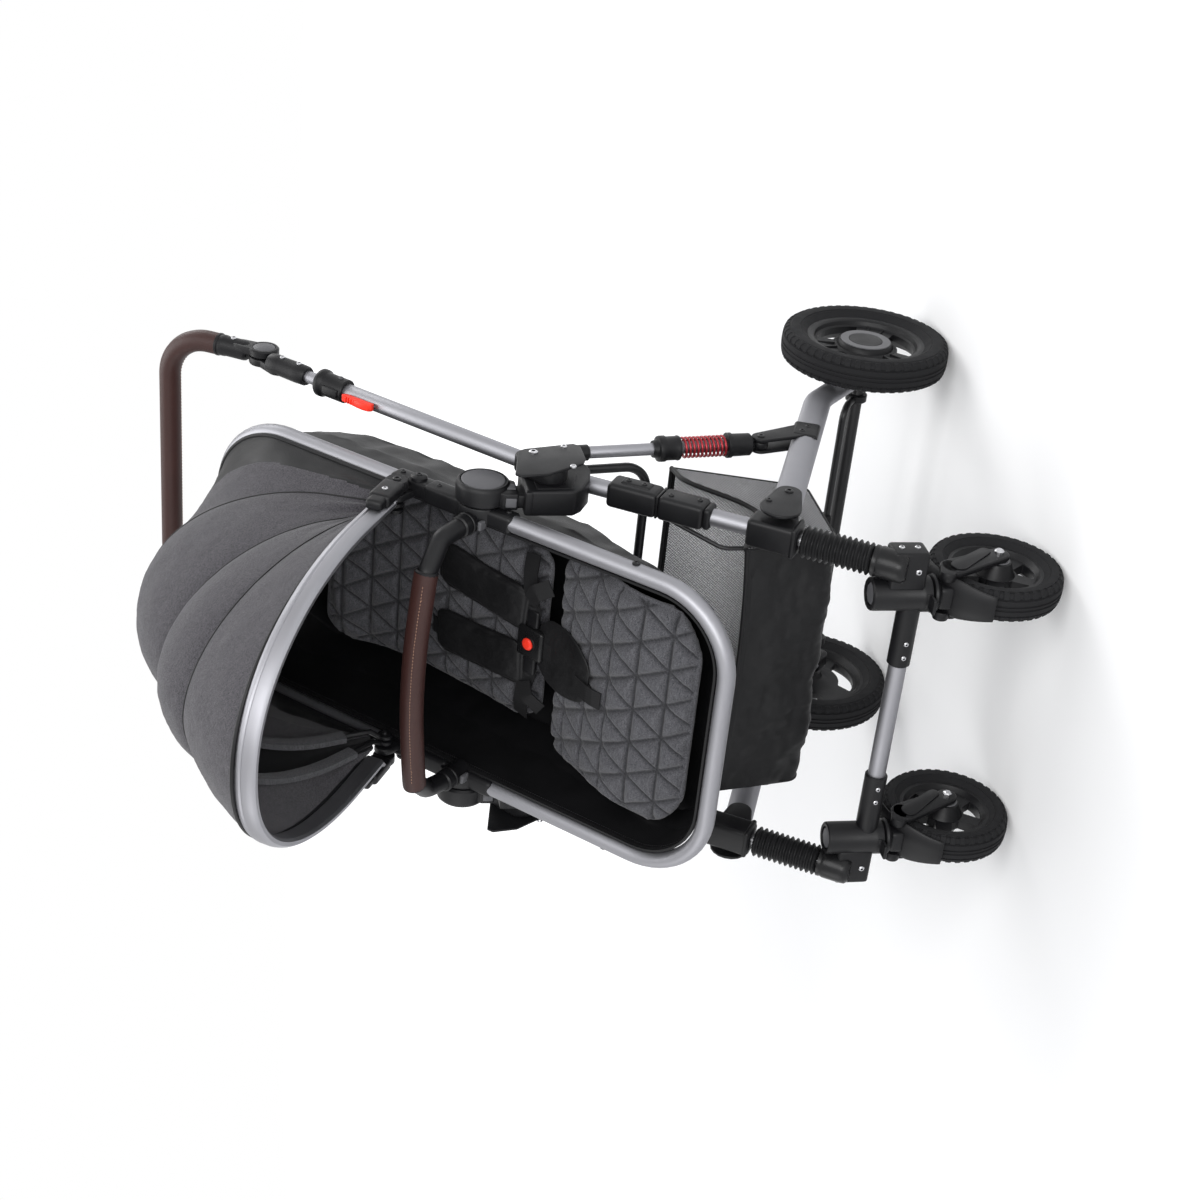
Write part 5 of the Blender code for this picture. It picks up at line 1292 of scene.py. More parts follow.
@dataclass
class Caster:
    """Swivelling forks with their fenders, arms and axle bolts."""

    blade: float = 0.025
    thick: float = 0.008

    def fender(self) -> bpy.types.Object:
        """Curved shield over the front of the wheel.

        Returns:
            The piece.
        """
        x, y = LAY.caster[0], LAY.front_axle[0]
        z = LAY.front_axle[1]

        def shape(u: float, v: float) -> Vector:
            """A point of the fender.

            Args:
                u: Place across, from 0 to 1.
                v: Place along, from 0 to 1.

            Returns:
                The point.
            """
            turn = math.radians(19.0 + 74.0 * v)
            across = (u - 0.5) * 2.0
            half = 0.0255 - 0.009 * max(0.0, 0.4 - v) / 0.4
            radius = 0.0895 + 0.0065 * (1.0 - abs(across) ** 3.0) * min(1.0, 0.35 + v)
            return Vector((x + across * half, y - radius * math.cos(turn), z + radius * math.sin(turn)))

        piece = cloth_grid(18, 24, shape)
        modified(piece, "SOLIDIFY", thickness=0.003, offset=0.0, use_even_offset=True)
        modified(piece, "BEVEL", width=0.0009, segments=2, limit_method="ANGLE",
                 angle_limit=math.radians(50.0))
        return moulded(piece)

    def build(self) -> None:
        """Makes and mounts the forks."""
        x, y = LAY.caster
        wheel = LAY.front_axle
        crown = turned([(0.0, 0.186), (0.0185, 0.186), (0.0235, 0.1845), (0.0245, 0.1815), (0.0225, 0.1785),
                        (0.018, 0.1765),
                        (0.016, 0.172), (0.0, 0.172)], Matrix.Translation((x, y, 0.0)), 48)
        parts = [moulded(crown), self.fender()]
        neck = brick((x - 0.015, y - 0.018, 0.158), (x + 0.015, y + 0.012, 0.1775), 0.005)
        parts.append(moulded(neck))
        knee = (y + 0.01, 0.155)
        for sign in (1.0, -1.0):
            near = x + sign * self.blade
            far = near + sign * self.thick
            low, high = min(near, far), max(near, far)
            arm = slab(capsule(wheel, 0.0135, knee, 0.018), low, high, 0.0022, 3)
            parts.append(moulded(arm))
            pad = slab(capsule((wheel[0] + 0.003, wheel[1] + 0.018), 0.0075,
                               (knee[0] - 0.001, knee[1] - 0.006), 0.011),
                       min(far, far + sign * 0.0022), max(far, far + sign * 0.0022), 0.001)
            parts.append(moulded(pad))
            top = slab(capsule((knee[0] - 0.014, knee[1] + 0.012), 0.01, (knee[0] + 0.004, knee[1] + 0.004),
                               0.012),
                       min(near - sign * 0.004, far), max(near - sign * 0.004, far), 0.0022)
            parts.append(moulded(top))
            nut = turned([(0.0, 0.0052), (0.0036, 0.0052), (0.0046, 0.0046), (0.0062, 0.003),
                          (0.0062, -0.002)],
                         facing((far, *wheel), (far + sign, *wheel)), 6 if sign < 0.0 else 32)
            parts.append(settled(nut, "bolt", "bright_steel", 25.0))
        parts.append(settled(shaft((x - 0.024, *wheel), (x + 0.024, *wheel), 0.0045), "pin",
                             "bright_steel"))
        fork = merged(*parts)
        fork.name = "caster_shield_L"
        BENCH.pair(fork, "caster_L", "caster_fork", "caster_fork_L")


@dataclass
class FrontAxle:
    """Caster housings, leg cups, telescoping stanchions and the silver bar between them."""

    bar_z: float = 0.208

    def housing(self) -> bpy.types.Object:
        """Makes the left housing.

        Returns:
            The piece.
        """
        x, y = LAY.caster
        barrel = turned([(0.0, 0.259), (0.015, 0.259), (0.0152, 0.2618), (0.019, 0.2622), (0.0207, 0.2608),
                         (0.0212, 0.258),
                         (0.0212, 0.201), (0.0222, 0.1995), (0.0228, 0.196), (0.0228, 0.188),
                         (0.0215, 0.187), (0.0, 0.187)],
                        Matrix.Translation((x, y, 0.0)), 64)
        parts = [moulded(barrel)]
        cap = turned([(0.0, 0.2612), (0.0125, 0.261), (0.014, 0.2602), (0.0145, 0.2585)],
                     Matrix.Translation((x, y, 0.0)) @ Matrix.Rotation(0.5, 4, "Z"), 8)
        modified(cap, "BEVEL", width=0.0025, segments=3, limit_method="ANGLE",
                 angle_limit=math.radians(20.0))
        parts.append(settled(cap, "cap", "grey_cap", 25.0))
        foot = brick((x + 0.012, y - 0.0175, 0.1985), (LAY.leg_x + 0.0205, y + 0.0175, 0.244), 0.0045)
        parts.append(moulded(foot))
        for z in (0.211, 0.231):
            parts.append(bolt((LAY.leg_x - 0.004, y - 0.0175, z), (0.0, -1.0, 0.0), 0.0038))
            parts.append(bolt((LAY.leg_x + 0.0205, y, z), (1.0, 0.0, 0.0), 0.0038))
        cup = turned([(0.0, -0.03), (0.015, -0.03), (0.019, -0.026), (0.02, -0.018), (0.02, 0.004),
                      (0.0188, 0.0075),
                      (0.0196, 0.0095), (0.0196, 0.0125), (0.018, 0.0136), (0.0, 0.0136)],
                     facing(LAY.leg(0.0), LAY.leg(0.1)), 48)
        parts.append(settled(cup, "cup", "gloss_black"))
        parts.append(settled(shaft(LAY.leg(0.01), LAY.leg(0.158), 0.0088), "stanchion", "bright_steel"))
        arm = hollow((0.083, y, self.bar_z), (x - 0.01, y, self.bar_z), 0.0146, 0.0118, 0.0015)
        parts.append(moulded(arm))
        gusset = slab([(y - 0.012, 0.199), (y + 0.012, 0.199), (y + 0.012, 0.217), (y - 0.012, 0.217)],
                      0.118, x - 0.012, 0.003)
        parts.append(moulded(gusset))
        for bar_x in (0.098, 0.118):
            parts.append(bolt((bar_x, y - 0.014, self.bar_z), (0.0, -1.0, 0.0), 0.0032))
        piece = merged(*parts)
        piece.name = "front_housing_L"
        return piece

    def build(self) -> None:
        """Makes and mounts the housings, the lock tabs and the bar."""
        x, y = LAY.caster
        BENCH.pair(self.housing(), "front_axle", "caster_housing", "caster_housing_L")
        tab = brick((x - 0.01, -0.3005, 0.1884), (x + 0.01, -0.2815, 0.193), 0.0018)
        with editing(tab):
            grid = bmesh.from_edit_mesh(tab.data)
            for face in grid.faces:
                face.select = face.normal.z > 0.95 and face.calc_area() > 0.0001
            bmesh.update_edit_mesh(tab.data)
            bpy.ops.mesh.inset(thickness=0.003, depth=-0.001)
        tab = settled(tab, "lock_tab_L", "black_nylon")
        eye = moulded(shaft((x - 0.01, -0.281, 0.193), (x + 0.01, -0.281, 0.193), 0.0039))
        lock = merged(tab, eye)
        lock.name = "lock_tab_L"
        BENCH.pair(lock, "swivel_lock_L", "swivel_lock", "swivel_lock_L")
        bar = settled(shaft((-0.11, y, self.bar_z), (0.11, y, self.bar_z), 0.0115), "front_bar",
                      "satin_aluminium")
        BENCH.mount(bar, "front_axle", "front_crossbar", "front_crossbar")


# Legs


@dataclass
class Legs:
    """Front legs with their gaiters, clamps and moulded knuckles."""

    ribs: int = 12
    gaiter_low: float = 0.0145
    gaiter_length: float = 0.088

    def gaiter(self) -> bpy.types.Object:
        """Ribbed bellows, which on the pram shortens with the suspension; here it is made at one length.

        Returns:
            The piece.
        """
        pitch = self.gaiter_length / self.ribs
        profile: list[Point] = []
        for rib in range(self.ribs):
            low = self.gaiter_low + rib * pitch
            profile += [(0.0165, low + pitch * 0.04), (0.0172, low + pitch * 0.16),
                        (0.0198, low + pitch * 0.36),
                        (0.0206, low + pitch * 0.5), (0.0198, low + pitch * 0.64),
                        (0.0172, low + pitch * 0.84)]
        profile += [(0.0165, self.gaiter_low + self.gaiter_length),
                    (0.013, self.gaiter_low + self.gaiter_length),
                    (0.013, self.gaiter_low), profile[0]]
        return settled(turned(profile, facing(LAY.leg(0.0), LAY.leg(0.1)), 48), "bellows_L",
                       "bellows_rubber", 70.0)

    def knuckle(self) -> list[bpy.types.Object]:
        """Two-part moulded sleeve with its hinge plate and screws.

        Returns:
            The parts.
        """
        slope = lean(LAY.leg_foot, LAY.leg_angle)
        x = LAY.leg_x
        parts = []
        for low, high, half, proud in ((0.229, 0.289, 0.016, 0.0195), (0.291, 0.3575, 0.0165, 0.019)):
            body = brick((x - half, low, -proud), (x + half, high, 0.017), 0.0062, slope, 4)
            parts.append(moulded(body))
        seam = brick((x - 0.015, 0.2885, -0.018), (x + 0.015, 0.2915, 0.0155), 0.001, slope)
        parts.append(settled(seam, "seam", "gloss_black"))
        latch = brick((x - 0.0185, 0.304, -0.013), (x + 0.0185, 0.344, 0.006), 0.003, slope)
        parts.append(moulded(latch))
        collar = brick((x - 0.0145, 0.22, -0.0145), (x + 0.0145, 0.23, 0.0145), 0.006, slope, 4)
        parts.append(moulded(collar))
        for along, rise in ((0.24, -0.004), (0.276, 0.003), (0.314, -0.002), (0.335, -0.002)):
            out = 0.016 if along < 0.29 else 0.0185
            parts.append(bolt(LAY.leg(along, rise, x + out), (1.0, 0.0, 0.0), 0.0036, "black_coat"))
        return parts

    def clamp(self) -> list[bpy.types.Object]:
        """Lower clamp that carries the rail's pivot.

        Returns:
            The parts.
        """
        slope = lean(LAY.leg_foot, LAY.leg_angle)
        x = LAY.leg_x
        parts = []
        body = brick((x - 0.0185, 0.106, -0.0185), (x + 0.0185, 0.172, 0.0185), 0.006, slope, 4)
        parts.append(moulded(body))
        band = brick((x - 0.0195, 0.108, -0.0195), (x + 0.0195, 0.115, 0.0195), 0.003, slope)
        parts.append(moulded(band))
        root = on_slope(*LAY.leg_foot, LAY.leg_angle, 0.139, -0.01)
        for x0, x1 in ((0.2245, 0.2285), (0.2525, 0.2568)):
            cheek = slab(capsule(LAY.rail_pivot, 0.0165, root, 0.026), x0, x1, 0.0014, 3)
            parts.append(moulded(cheek))
        for yz, radius in ((LAY.rail_pivot, 0.0058),
                           (on_slope(*LAY.leg_foot, LAY.leg_angle, 0.158, -0.02), 0.004)):
            parts.append(bolt((0.2568, *yz), (1.0, 0.0, 0.0), radius, "black_coat"))
        return parts

    def build(self) -> None:
        """Makes and mounts the legs."""
        gaiter = self.gaiter()
        BENCH.pair(gaiter, "frame", "gaiter", "gaiter_L")
        top = self.gaiter_low + self.gaiter_length
        direction = (LAY.leg(1.0) - LAY.leg(0.0)).normalized()
        for side, sign in ((Side.LEFT, 1.0), (Side.RIGHT, -1.0)):
            anchor = LAY.leg(top) - Vector((0.0, MIDDLE_Y, 0.0))
            anchor.x *= sign
            bellows = bpy.data.objects["bellows_" + side.value]
            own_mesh(bellows)
        tube = settled(hollow(LAY.leg(0.106), LAY.leg(0.416), 0.0112, 0.0094), "leg", "satin_aluminium")
        leg = merged(tube, *self.knuckle(), *self.clamp())
        leg.name = "front_leg_L"
        BENCH.pair(leg, "frame", "leg_tube", "leg_tube_L")


# Rear frame


@dataclass
class RearFrame:
    """Oval side rails, rear axle, brake bar and the struts' lower brackets."""

    height: float = 0.038
    width: float = 0.022

    def rail(self) -> bpy.types.Object:
        """Makes the left rail.

        Returns:
            The piece.
        """
        pivot = at(0.0, LAY.rail_pivot)
        corner = at(0.0, on_slope(*LAY.rail_pivot, -LAY.rail_slope, 0.345))
        axle = at(0.0, LAY.rear_axle)
        path = arcs([pivot, corner, corner + (axle - corner) * 0.93], 0.09, 12)
        beam = swept(path, self.height / 2.0)
        beam.data.transform(Matrix.Translation((LAY.rail_x, 0.0,
                0.0)) @ Matrix.Diagonal((self.width / self.height, 1.0, 1.0, 1.0)))
        parts = [settled(beam, "rail", "satin_aluminium", 50.0)]
        nose = shaft((LAY.rail_x - 0.0112, *LAY.rail_pivot), (LAY.rail_x + 0.0112, *LAY.rail_pivot), 0.0188,
                     0.004)
        parts.append(settled(nose, "nose", "satin_aluminium"))
        down = math.degrees(math.atan2(axle.z - corner.z, axle.y - corner.y))
        block = brick((LAY.rail_x - 0.0135, -0.018, -0.0195), (LAY.rail_x + 0.0135, 0.0175, 0.0195), 0.0065,
                      lean(LAY.rear_axle, down), 4)
        parts.append(moulded(block))
        lug = moulded(shaft((LAY.rail_x - 0.015, *LAY.rear_axle), (LAY.rail_x + 0.015, *LAY.rear_axle),
                            0.015, 0.003))
        parts.append(lug)
        foot = on_slope(*LAY.rail_pivot, -LAY.rail_slope, 0.212, 0.004)
        saddle = brick((LAY.rail_x - 0.0125, 0.19, -0.015), (LAY.rail_x + 0.0125, 0.236, 0.0205), 0.0045,
                       lean(LAY.rail_pivot, -LAY.rail_slope))
        parts.append(moulded(saddle))
        outline = capsule(LAY.shock, 0.0125, foot, 0.0175, 12)
        for x0, x1 in ((0.2315, 0.2355), (0.2475, 0.2522)):
            parts.append(moulded(slab(outline, x0, x1, 0.0014, 3)))
        pin = shaft((0.233, *LAY.shock), (0.2522, *LAY.shock), 0.0038)
        parts.append(settled(pin, "pin", "bright_steel"))
        screws = ((LAY.shock, 0.005), ((foot[0] - 0.006, foot[1] + 0.006), 0.0038),
                  ((foot[0] + 0.007, foot[1] - 0.006), 0.0038))
        for yz, radius in screws:
            parts.append(bolt((0.2522, *yz), (1.0, 0.0, 0.0), radius, "black_coat"))
        piece = merged(*parts)
        piece.name = "side_rail_L"
        return piece

    def build(self) -> None:
        """Makes and mounts the rear frame and the brake."""
        BENCH.pair(self.rail(), "rear_frame", "rail", "rail_L")
        y, z = LAY.rear_axle
        axle = settled(shaft((-0.2276, y, z), (0.2276, y, z), 0.0096), "axle", "black_coat")
        ends = [settled(shaft((s * 0.227, y, z), (s * 0.284, y, z), 0.0058), "axle_end",
                        "bright_steel") for s in (1.0, -1.0)]
        piece = merged(axle, *ends)
        piece.name = "rear_axle_tube"
        BENCH.mount(piece, "rear_frame", "rear_axle", "rear_axle")
        front, top = y - 0.042, z + 0.03
        path = arcs([(-0.205, y - 0.01, z + 0.008), (-0.205, front, top), (0.205, front, top),
                     (0.205, y - 0.01, z + 0.008)], 0.02)
        bar = settled(swept(path, 0.0052), "brake", "black_coat", 60.0)
        lugs = []
        for x in (-0.205, 0.205):
            lugs.append(moulded(hollow((x - 0.006, y, z), (x + 0.006, y, z), 0.0155, 0.0102, 0.0015)))
        pedal = brick((-0.034, front - 0.01, top - 0.006), (0.034, front + 0.01, top + 0.0062), 0.0035)
        piece = merged(bar, *lugs, moulded(pedal))
        piece.name = "parking_brake"
        BENCH.mount(piece, "brake", "brake_bar", "brake_bar")


# Struts


@dataclass
class Struts:
    """Both rear struts."""

    collar: float = 0.125
    cup: float = 0.2215
    curls: int = 11

    def build(self) -> None:
        """Makes and mounts rods, coils and lower sleeves."""
        top = LAY.strut(0.0)
        axis = facing(top, LAY.strut(0.1))
        rod = settled(shaft(LAY.strut(0.01), LAY.strut(self.cup + 0.008), 0.008), "rod", "satin_aluminium")
        eye = moulded(shaft((0.2395, *LAY.strut_top), (0.2485, *LAY.strut_top), 0.0115, 0.002))
        ferrule = turned([(0.0082, 0.012), (0.01, 0.012), (0.0105, 0.014), (0.0105, 0.03), (0.0082, 0.032)],
                         axis, 40)
        collar = turned([(0.0078, self.collar - 0.006), (0.011, self.collar - 0.006), (0.0125, self.collar),
                         (0.0165, self.collar + 0.001),
                         (0.0172, self.collar + 0.003), (0.0172, self.collar + 0.01),
                         (0.0158, self.collar + 0.012),
                         (0.0158, self.collar + 0.026), (0.0166, self.collar + 0.028),
                         (0.016, self.collar + 0.03),
                         (0.0078, self.collar + 0.03), (0.0078, self.collar - 0.006)], axis, 48)
        piece = merged(rod, eye, moulded(ferrule), moulded(collar))
        piece.name = "strut_upper_L"
        BENCH.pair(piece, "strut_rod_L", "shock_rod", "shock_rod_L")
        low, high = self.collar + 0.0312, self.cup - 0.0008
        path = []
        per_curl = 24
        count = self.curls * per_curl
        for step in range(count + 1):
            turn = 2.0 * math.pi * step / per_curl
            share = step / count
            path.append(axis @ Vector((0.0128 * math.cos(turn), 0.0128 * math.sin(turn),
                                       low + 0.0018 + (high - low - 0.0036) * share)))
        coil = settled(swept(path, 0.0017), "strut_coil_L", "red_wire", 70.0)
        BENCH.pair(coil, "strut_rod_L", "shock_spring", "shock_spring_L")
        direction = (LAY.strut(0.0) - LAY.strut(0.1)).normalized()
        for side, sign in ((Side.LEFT, 1.0), (Side.RIGHT, -1.0)):
            anchor = LAY.strut(low) - Vector((0.0, MIDDLE_Y, 0.0))
            anchor.x *= sign
            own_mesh(bpy.data.objects["strut_coil_" + side.value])
        cup = turned([(0.0092, self.cup), (0.0158, self.cup), (0.0168, self.cup + 0.001),
                      (0.0168, self.cup + 0.006), (0.0152, self.cup + 0.008),
                      (0.0148, 0.254), (0.012, 0.257), (0.007, 0.26), (0.0, 0.26), (0.0, self.cup + 0.022),
                      (0.0092, self.cup + 0.022), (0.0092, self.cup)], axis, 48)
        foot = moulded(shaft((0.2367, *LAY.shock), (0.2463, *LAY.shock), 0.0108, 0.002))
        stem = moulded(shaft(LAY.strut(0.256), LAY.strut(0.266), 0.0052))
        piece = merged(moulded(cup), foot, stem)
        piece.name = "strut_lower_L"
        BENCH.pair(piece, "strut_sleeve_L", "shock_sleeve", "shock_sleeve_L")


# Upper frame and handle


@dataclass
class UpperFrame:
    """Moulded upper brackets with the seat's sockets, and the brace between them."""

    x0: float = 0.204
    x1: float = 0.2385
    plate: float = 0.2628

    def bracket(self) -> bpy.types.Object:
        """Makes the left bracket.

        Returns:
            The piece.
        """
        outline = [
            (-0.104, 0.603), (-0.1045, 0.658), (-0.1, 0.664), (-0.058, 0.664), (-0.034, 0.664),
            (-0.024, 0.66),
            (-0.014, 0.648), (0.004, 0.62), (0.0118, 0.606), (0.0122, 0.594), (0.006, 0.587),
            (-0.01, 0.5855),
            (-0.026, 0.575), (-0.04, 0.573), (-0.07, 0.579), (-0.094, 0.592),
        ]
        parts = [moulded(slab(outline, self.x0, self.x1, 0.0035, 3))]
        lip = brick((self.x0 + 0.0008, -0.1052, 0.654), (self.x1 - 0.001, -0.056, 0.665), 0.003)
        well = brick((0.209, -0.0965, 0.63), (0.2295, -0.0635, 0.68), 0.001)
        parts.append(moulded(carved(lip, well), 30.0))
        rib = slab([(-0.096, 0.606), (-0.06, 0.594), (-0.02, 0.592), (-0.006, 0.6), (-0.03, 0.642),
                    (-0.052, 0.652), (-0.098, 0.65)],
                   self.x1 - 0.001, self.x1 + 0.0008, 0.0008)
        parts.append(moulded(rib, 30.0))
        for yz in (LAY.fold, LAY.strut_top):
            end = self.plate if yz == LAY.fold else 0.2505
            parts.append(settled(shaft((self.x1 - 0.004, *yz), (end, *yz),
                                       0.0058 if yz == LAY.fold else 0.0038), "pin", "bright_steel"))
        side = [(-0.117, 0.674), (-0.111, 0.681), (-0.048, 0.669), (-0.039, 0.66), (-0.022, 0.595),
                (-0.029, 0.587),
                (-0.066, 0.586), (-0.08, 0.591), (-0.112, 0.64)]
        outer = moulded(slab(side, self.plate, self.plate + 0.0036, 0.0014, 3), 40.0)
        parts += [outer, settled(shaft((self.x1 - 0.002, -0.0327, 0.6087),
                (self.plate + 0.001, -0.0327, 0.6087), 0.0045), "pin", "black_coat")]
        for y, z, size in ((-0.0492, 0.6498, 0.0058), (-0.0327, 0.6087, 0.0042), (-0.0905, 0.606, 0.0042)):
            parts.append(bolt((self.plate + 0.0036, y, z), (1.0, 0.0, 0.0), size))
        piece = merged(*parts)
        piece.name = "upper_housing_L"
        return piece

    def build(self) -> None:
        """Makes and mounts brackets and brace."""
        BENCH.pair(self.bracket(), "frame", "upper_bracket", "upper_bracket_L")
        points = [(-0.217, 0.0, 0.598), (-0.217, 0.01, 0.535), (-0.217, 0.018, 0.485),
                  (0.217, 0.018, 0.485),
                  (0.217, 0.01, 0.535), (0.217, 0.0, 0.598)]
        brace = settled(swept(arcs(points, 0.032, 10), 0.0062), "rear_brace_tube", "black_coat", 60.0)
        BENCH.mount(brace, "frame", "rear_brace", "rear_brace")


@dataclass
class Handle:
    """Folding handle tubes with collars, catches and joints, and the leather-covered bar."""

    joint_r: float = 0.0205
    sleeve_top: float = 0.455
    collar: float = 0.319
    catch: float = 0.266

    def lower(self) -> bpy.types.Object:
        """Left handle tube with its knuckle plate and the joint's inner half.

        Returns:
            The piece.
        """
        x = LAY.handle_x
        a = on_slope(*LAY.fold, LAY.handle_angle, -0.014)
        b = on_slope(*LAY.fold, LAY.handle_angle, 0.02)
        parts = [moulded(slab(capsule(a, 0.0218, b, 0.0178, 14), x - 0.0113, x + 0.0112, 0.0035, 3))]
        parts.append(settled(shaft(LAY.handle(0.01), LAY.handle(0.33), 0.011), "tube", "satin_aluminium"))
        parts.append(settled(shaft(LAY.handle(0.326), LAY.handle(self.sleeve_top - 0.004), 0.0082), "tube",
                             "satin_aluminium"))
        sleeve = turned([(0.008, 0.0), (0.0118, 0.0), (0.0134, 0.003), (0.0138, 0.02), (0.0134, 0.046),
                         (0.0142, 0.05),
                         (0.0142, 0.06), (0.0128, 0.066), (0.0, 0.066)],
                        facing(LAY.handle(self.sleeve_top - 0.066), LAY.handle(self.sleeve_top)), 40)
        parts.append(moulded(sleeve))
        for along in (self.sleeve_top - 0.05, self.sleeve_top - 0.02):
            parts.append(bolt(LAY.handle(along, 0.0, x + 0.0134), (1.0, 0.0, 0.0), 0.0036))
        split = x - 0.0005
        parts.append(moulded(shaft((x - 0.0113, *LAY.joint), (split, *LAY.joint), self.joint_r, 0.0025)))
        neck = on_slope(*LAY.fold, LAY.handle_angle, self.sleeve_top - 0.012)
        parts.append(moulded(slab(capsule(LAY.joint, 0.015, neck, 0.0125), x - 0.0113, split, 0.002)))
        ear = brick((x - 0.0018, self.catch - 0.003, 0.006), (x + 0.0018, self.catch + 0.003, 0.0185),
                    0.0008,
                    lean(LAY.fold, LAY.handle_angle))
        parts.append(settled(ear, "ear", "satin_aluminium"))
        piece = merged(*parts)
        piece.name = "handle_leg_L"
        return piece

    def release(self) -> bpy.types.Object:
        """Sliding collar.

        Returns:
            The piece.
        """
        profile = [(0.0117, 0.0), (0.0148, 0.0), (0.016, 0.0014), (0.016, 0.034), (0.0168, 0.036),
                   (0.0186, 0.0385), (0.0188, 0.0445),
                   (0.0178, 0.046), (0.0117, 0.046), (0.0117, 0.0)]
        ring = moulded(turned(profile, facing(LAY.handle(self.collar), LAY.handle(self.collar + 0.1)), 48))
        key = brick((LAY.handle_x - 0.0055, self.collar + 0.004, 0.013),
                    (LAY.handle_x + 0.0055, self.collar + 0.03, 0.0182), 0.0018,
                    lean(LAY.fold, LAY.handle_angle))
        dot = screw(LAY.handle(self.collar + 0.012, 0.0, LAY.handle_x + 0.0158), (1.0, 0.0, 0.0), 0.0034)
        piece = merged(ring, moulded(key), settled(dot, "dot", "grey_cap", 25.0))
        piece.name = "collar_grip_L"
        return piece

    def lever(self) -> bpy.types.Object:
        """Red catch lever with a hooked nose and a thumb rest.

        Returns:
            The piece.
        """
        x = LAY.handle_x
        side = [(-0.0032, 0.012), (-0.0038, 0.0175), (0.0, 0.0212), (0.008, 0.0226), (0.018, 0.0222),
                (0.03, 0.0205),
                (0.04, 0.019), (0.0455, 0.02), (0.047, 0.018), (0.044, 0.0135), (0.038, 0.0119),
                (0.02, 0.0119)]
        outline = [on_slope(*LAY.fold, LAY.handle_angle, self.catch + a, r) for a, r in side]
        blade = settled(slab(outline, x - 0.005, x + 0.005, 0.0014, 3), "lever", "red_plastic")
        ribs = []
        for index in range(4):
            rib = brick((x - 0.0042, self.catch + 0.024 + 0.0045 * index, 0.0198),
                        (x + 0.0042, self.catch + 0.0262 + 0.0045 * index, 0.0222),
                        0.0008, lean(LAY.fold, LAY.handle_angle))
            ribs.append(settled(rib, "rib", "red_plastic"))
        piece = merged(blade, *ribs)
        piece.name = "catch_lever_L"
        return piece

    def upper(self) -> bpy.types.Object:
        """Joint's outer half with its sleeve.

        Returns:
            The piece.
        """
        x = LAY.handle_x
        split, high = x + 0.0005, x + 0.011
        parts = [moulded(hollow((split, *LAY.joint), (high + 0.0008, *LAY.joint), self.joint_r, 0.0156,
                                0.002))]
        parts.append(moulded(shaft((split, *LAY.joint), (high - 0.0042, *LAY.joint), 0.0165)))
        parts.append(settled(shaft((x - 0.011, *LAY.joint), (x + 0.003, *LAY.joint), 0.0048), "pin",
                             "bright_steel"))
        start = self.joint_r + 0.0025
        sleeve = turned([(0.0, 0.0), (0.0112, 0.0), (0.0134, 0.003), (0.014, 0.006), (0.0138, 0.033),
                         (0.0146, 0.036), (0.0146, 0.043),
                         (0.0136, 0.0455), (0.0, 0.0455)], facing(LAY.upper(start), LAY.upper(start + 0.1)),
                         40)
        parts.append(moulded(sleeve))
        neck = on_slope(*LAY.joint, LAY.upper_angle, start + 0.012)
        parts.append(moulded(slab(capsule(LAY.joint, 0.015, neck, 0.0125), split, high, 0.002)))
        parts.append(bolt(LAY.upper(start + 0.024, 0.0, x + 0.0136), (1.0, 0.0, 0.0), 0.004))
        piece = merged(*parts)
        piece.name = "joint_housing_L"
        return piece

    def bar(self) -> bpy.types.Object:
        """Leather grip with its seam.

        Returns:
            The piece.
        """
        x, reach, bend = LAY.handle_x, 0.148, 0.062
        ends = [LAY.upper(0.0684), LAY.upper(reach)]
        mirrored = [Vector((-p.x, p.y, p.z)) for p in ends]
        path = arcs([mirrored[0], mirrored[1], ends[1], ends[0]], bend, 16)
        grip = settled(swept(path, 0.015), "grip", "brown_leather", 60.0)
        parts = [grip]
        for s in (1.0, -1.0):
            cuff = hollow(LAY.upper(0.0662, 0.0, s * x), LAY.upper(0.0712, 0.0, s * x), 0.0157, 0.011,
                          0.0012)
            parts.append(moulded(cuff))
            parts.append(settled(shaft(LAY.upper(0.03, 0.0, s * x), LAY.upper(0.069, 0.0, s * x), 0.011),
                                 "core", "satin_aluminium"))
        for rise, inset in ((0.0112, 0.0104), (0.006, 0.014)):
            ends = [LAY.upper(0.072, -rise, x - inset), LAY.upper(reach - inset, -rise, x - inset)]
            back = [Vector((-p.x, p.y, p.z)) for p in ends]
            row = arcs([back[0], back[1], ends[1], ends[0]], bend - inset, 16)
            parts.append(settled(dotted(row, 0.0048, 0.0032, 0.00045), "stitches", "leather_thread", 80.0))
        piece = merged(*parts)
        piece.name = "leather_handlebar"
        return piece

    def build(self) -> None:
        """Makes and mounts the handle."""
        BENCH.pair(self.lower(), "handle", "handle_tube", "handle_tube_L")
        BENCH.pair(self.release(), "release_collar_L", "release_collar", "release_collar_L")
        BENCH.pair(self.lever(), "catch_L", "red_catch", "red_catch_L")
        BENCH.pair(self.upper(), "handlebar", "handle_joint", "handle_joint_L")
        x = LAY.handle_x + 0.011
        profile = [(0.0, 0.0016), (0.012, 0.0016), (0.0128, 0.0012), (0.0136, 0.0012), (0.0148, 0.0006),
                   (0.015, -0.001), (0.0, -0.001)]
        button = turned(profile, facing((x, *LAY.joint), (x + 1.0, *LAY.joint)), 56)
        BENCH.pair(settled(button, "joint_button_L", "grey_cap"), "handle_button_L", "handle_button",
                   "handle_button_L")
        BENCH.mount(self.bar(), "handlebar", "handlebar", "handlebar")


# Seat


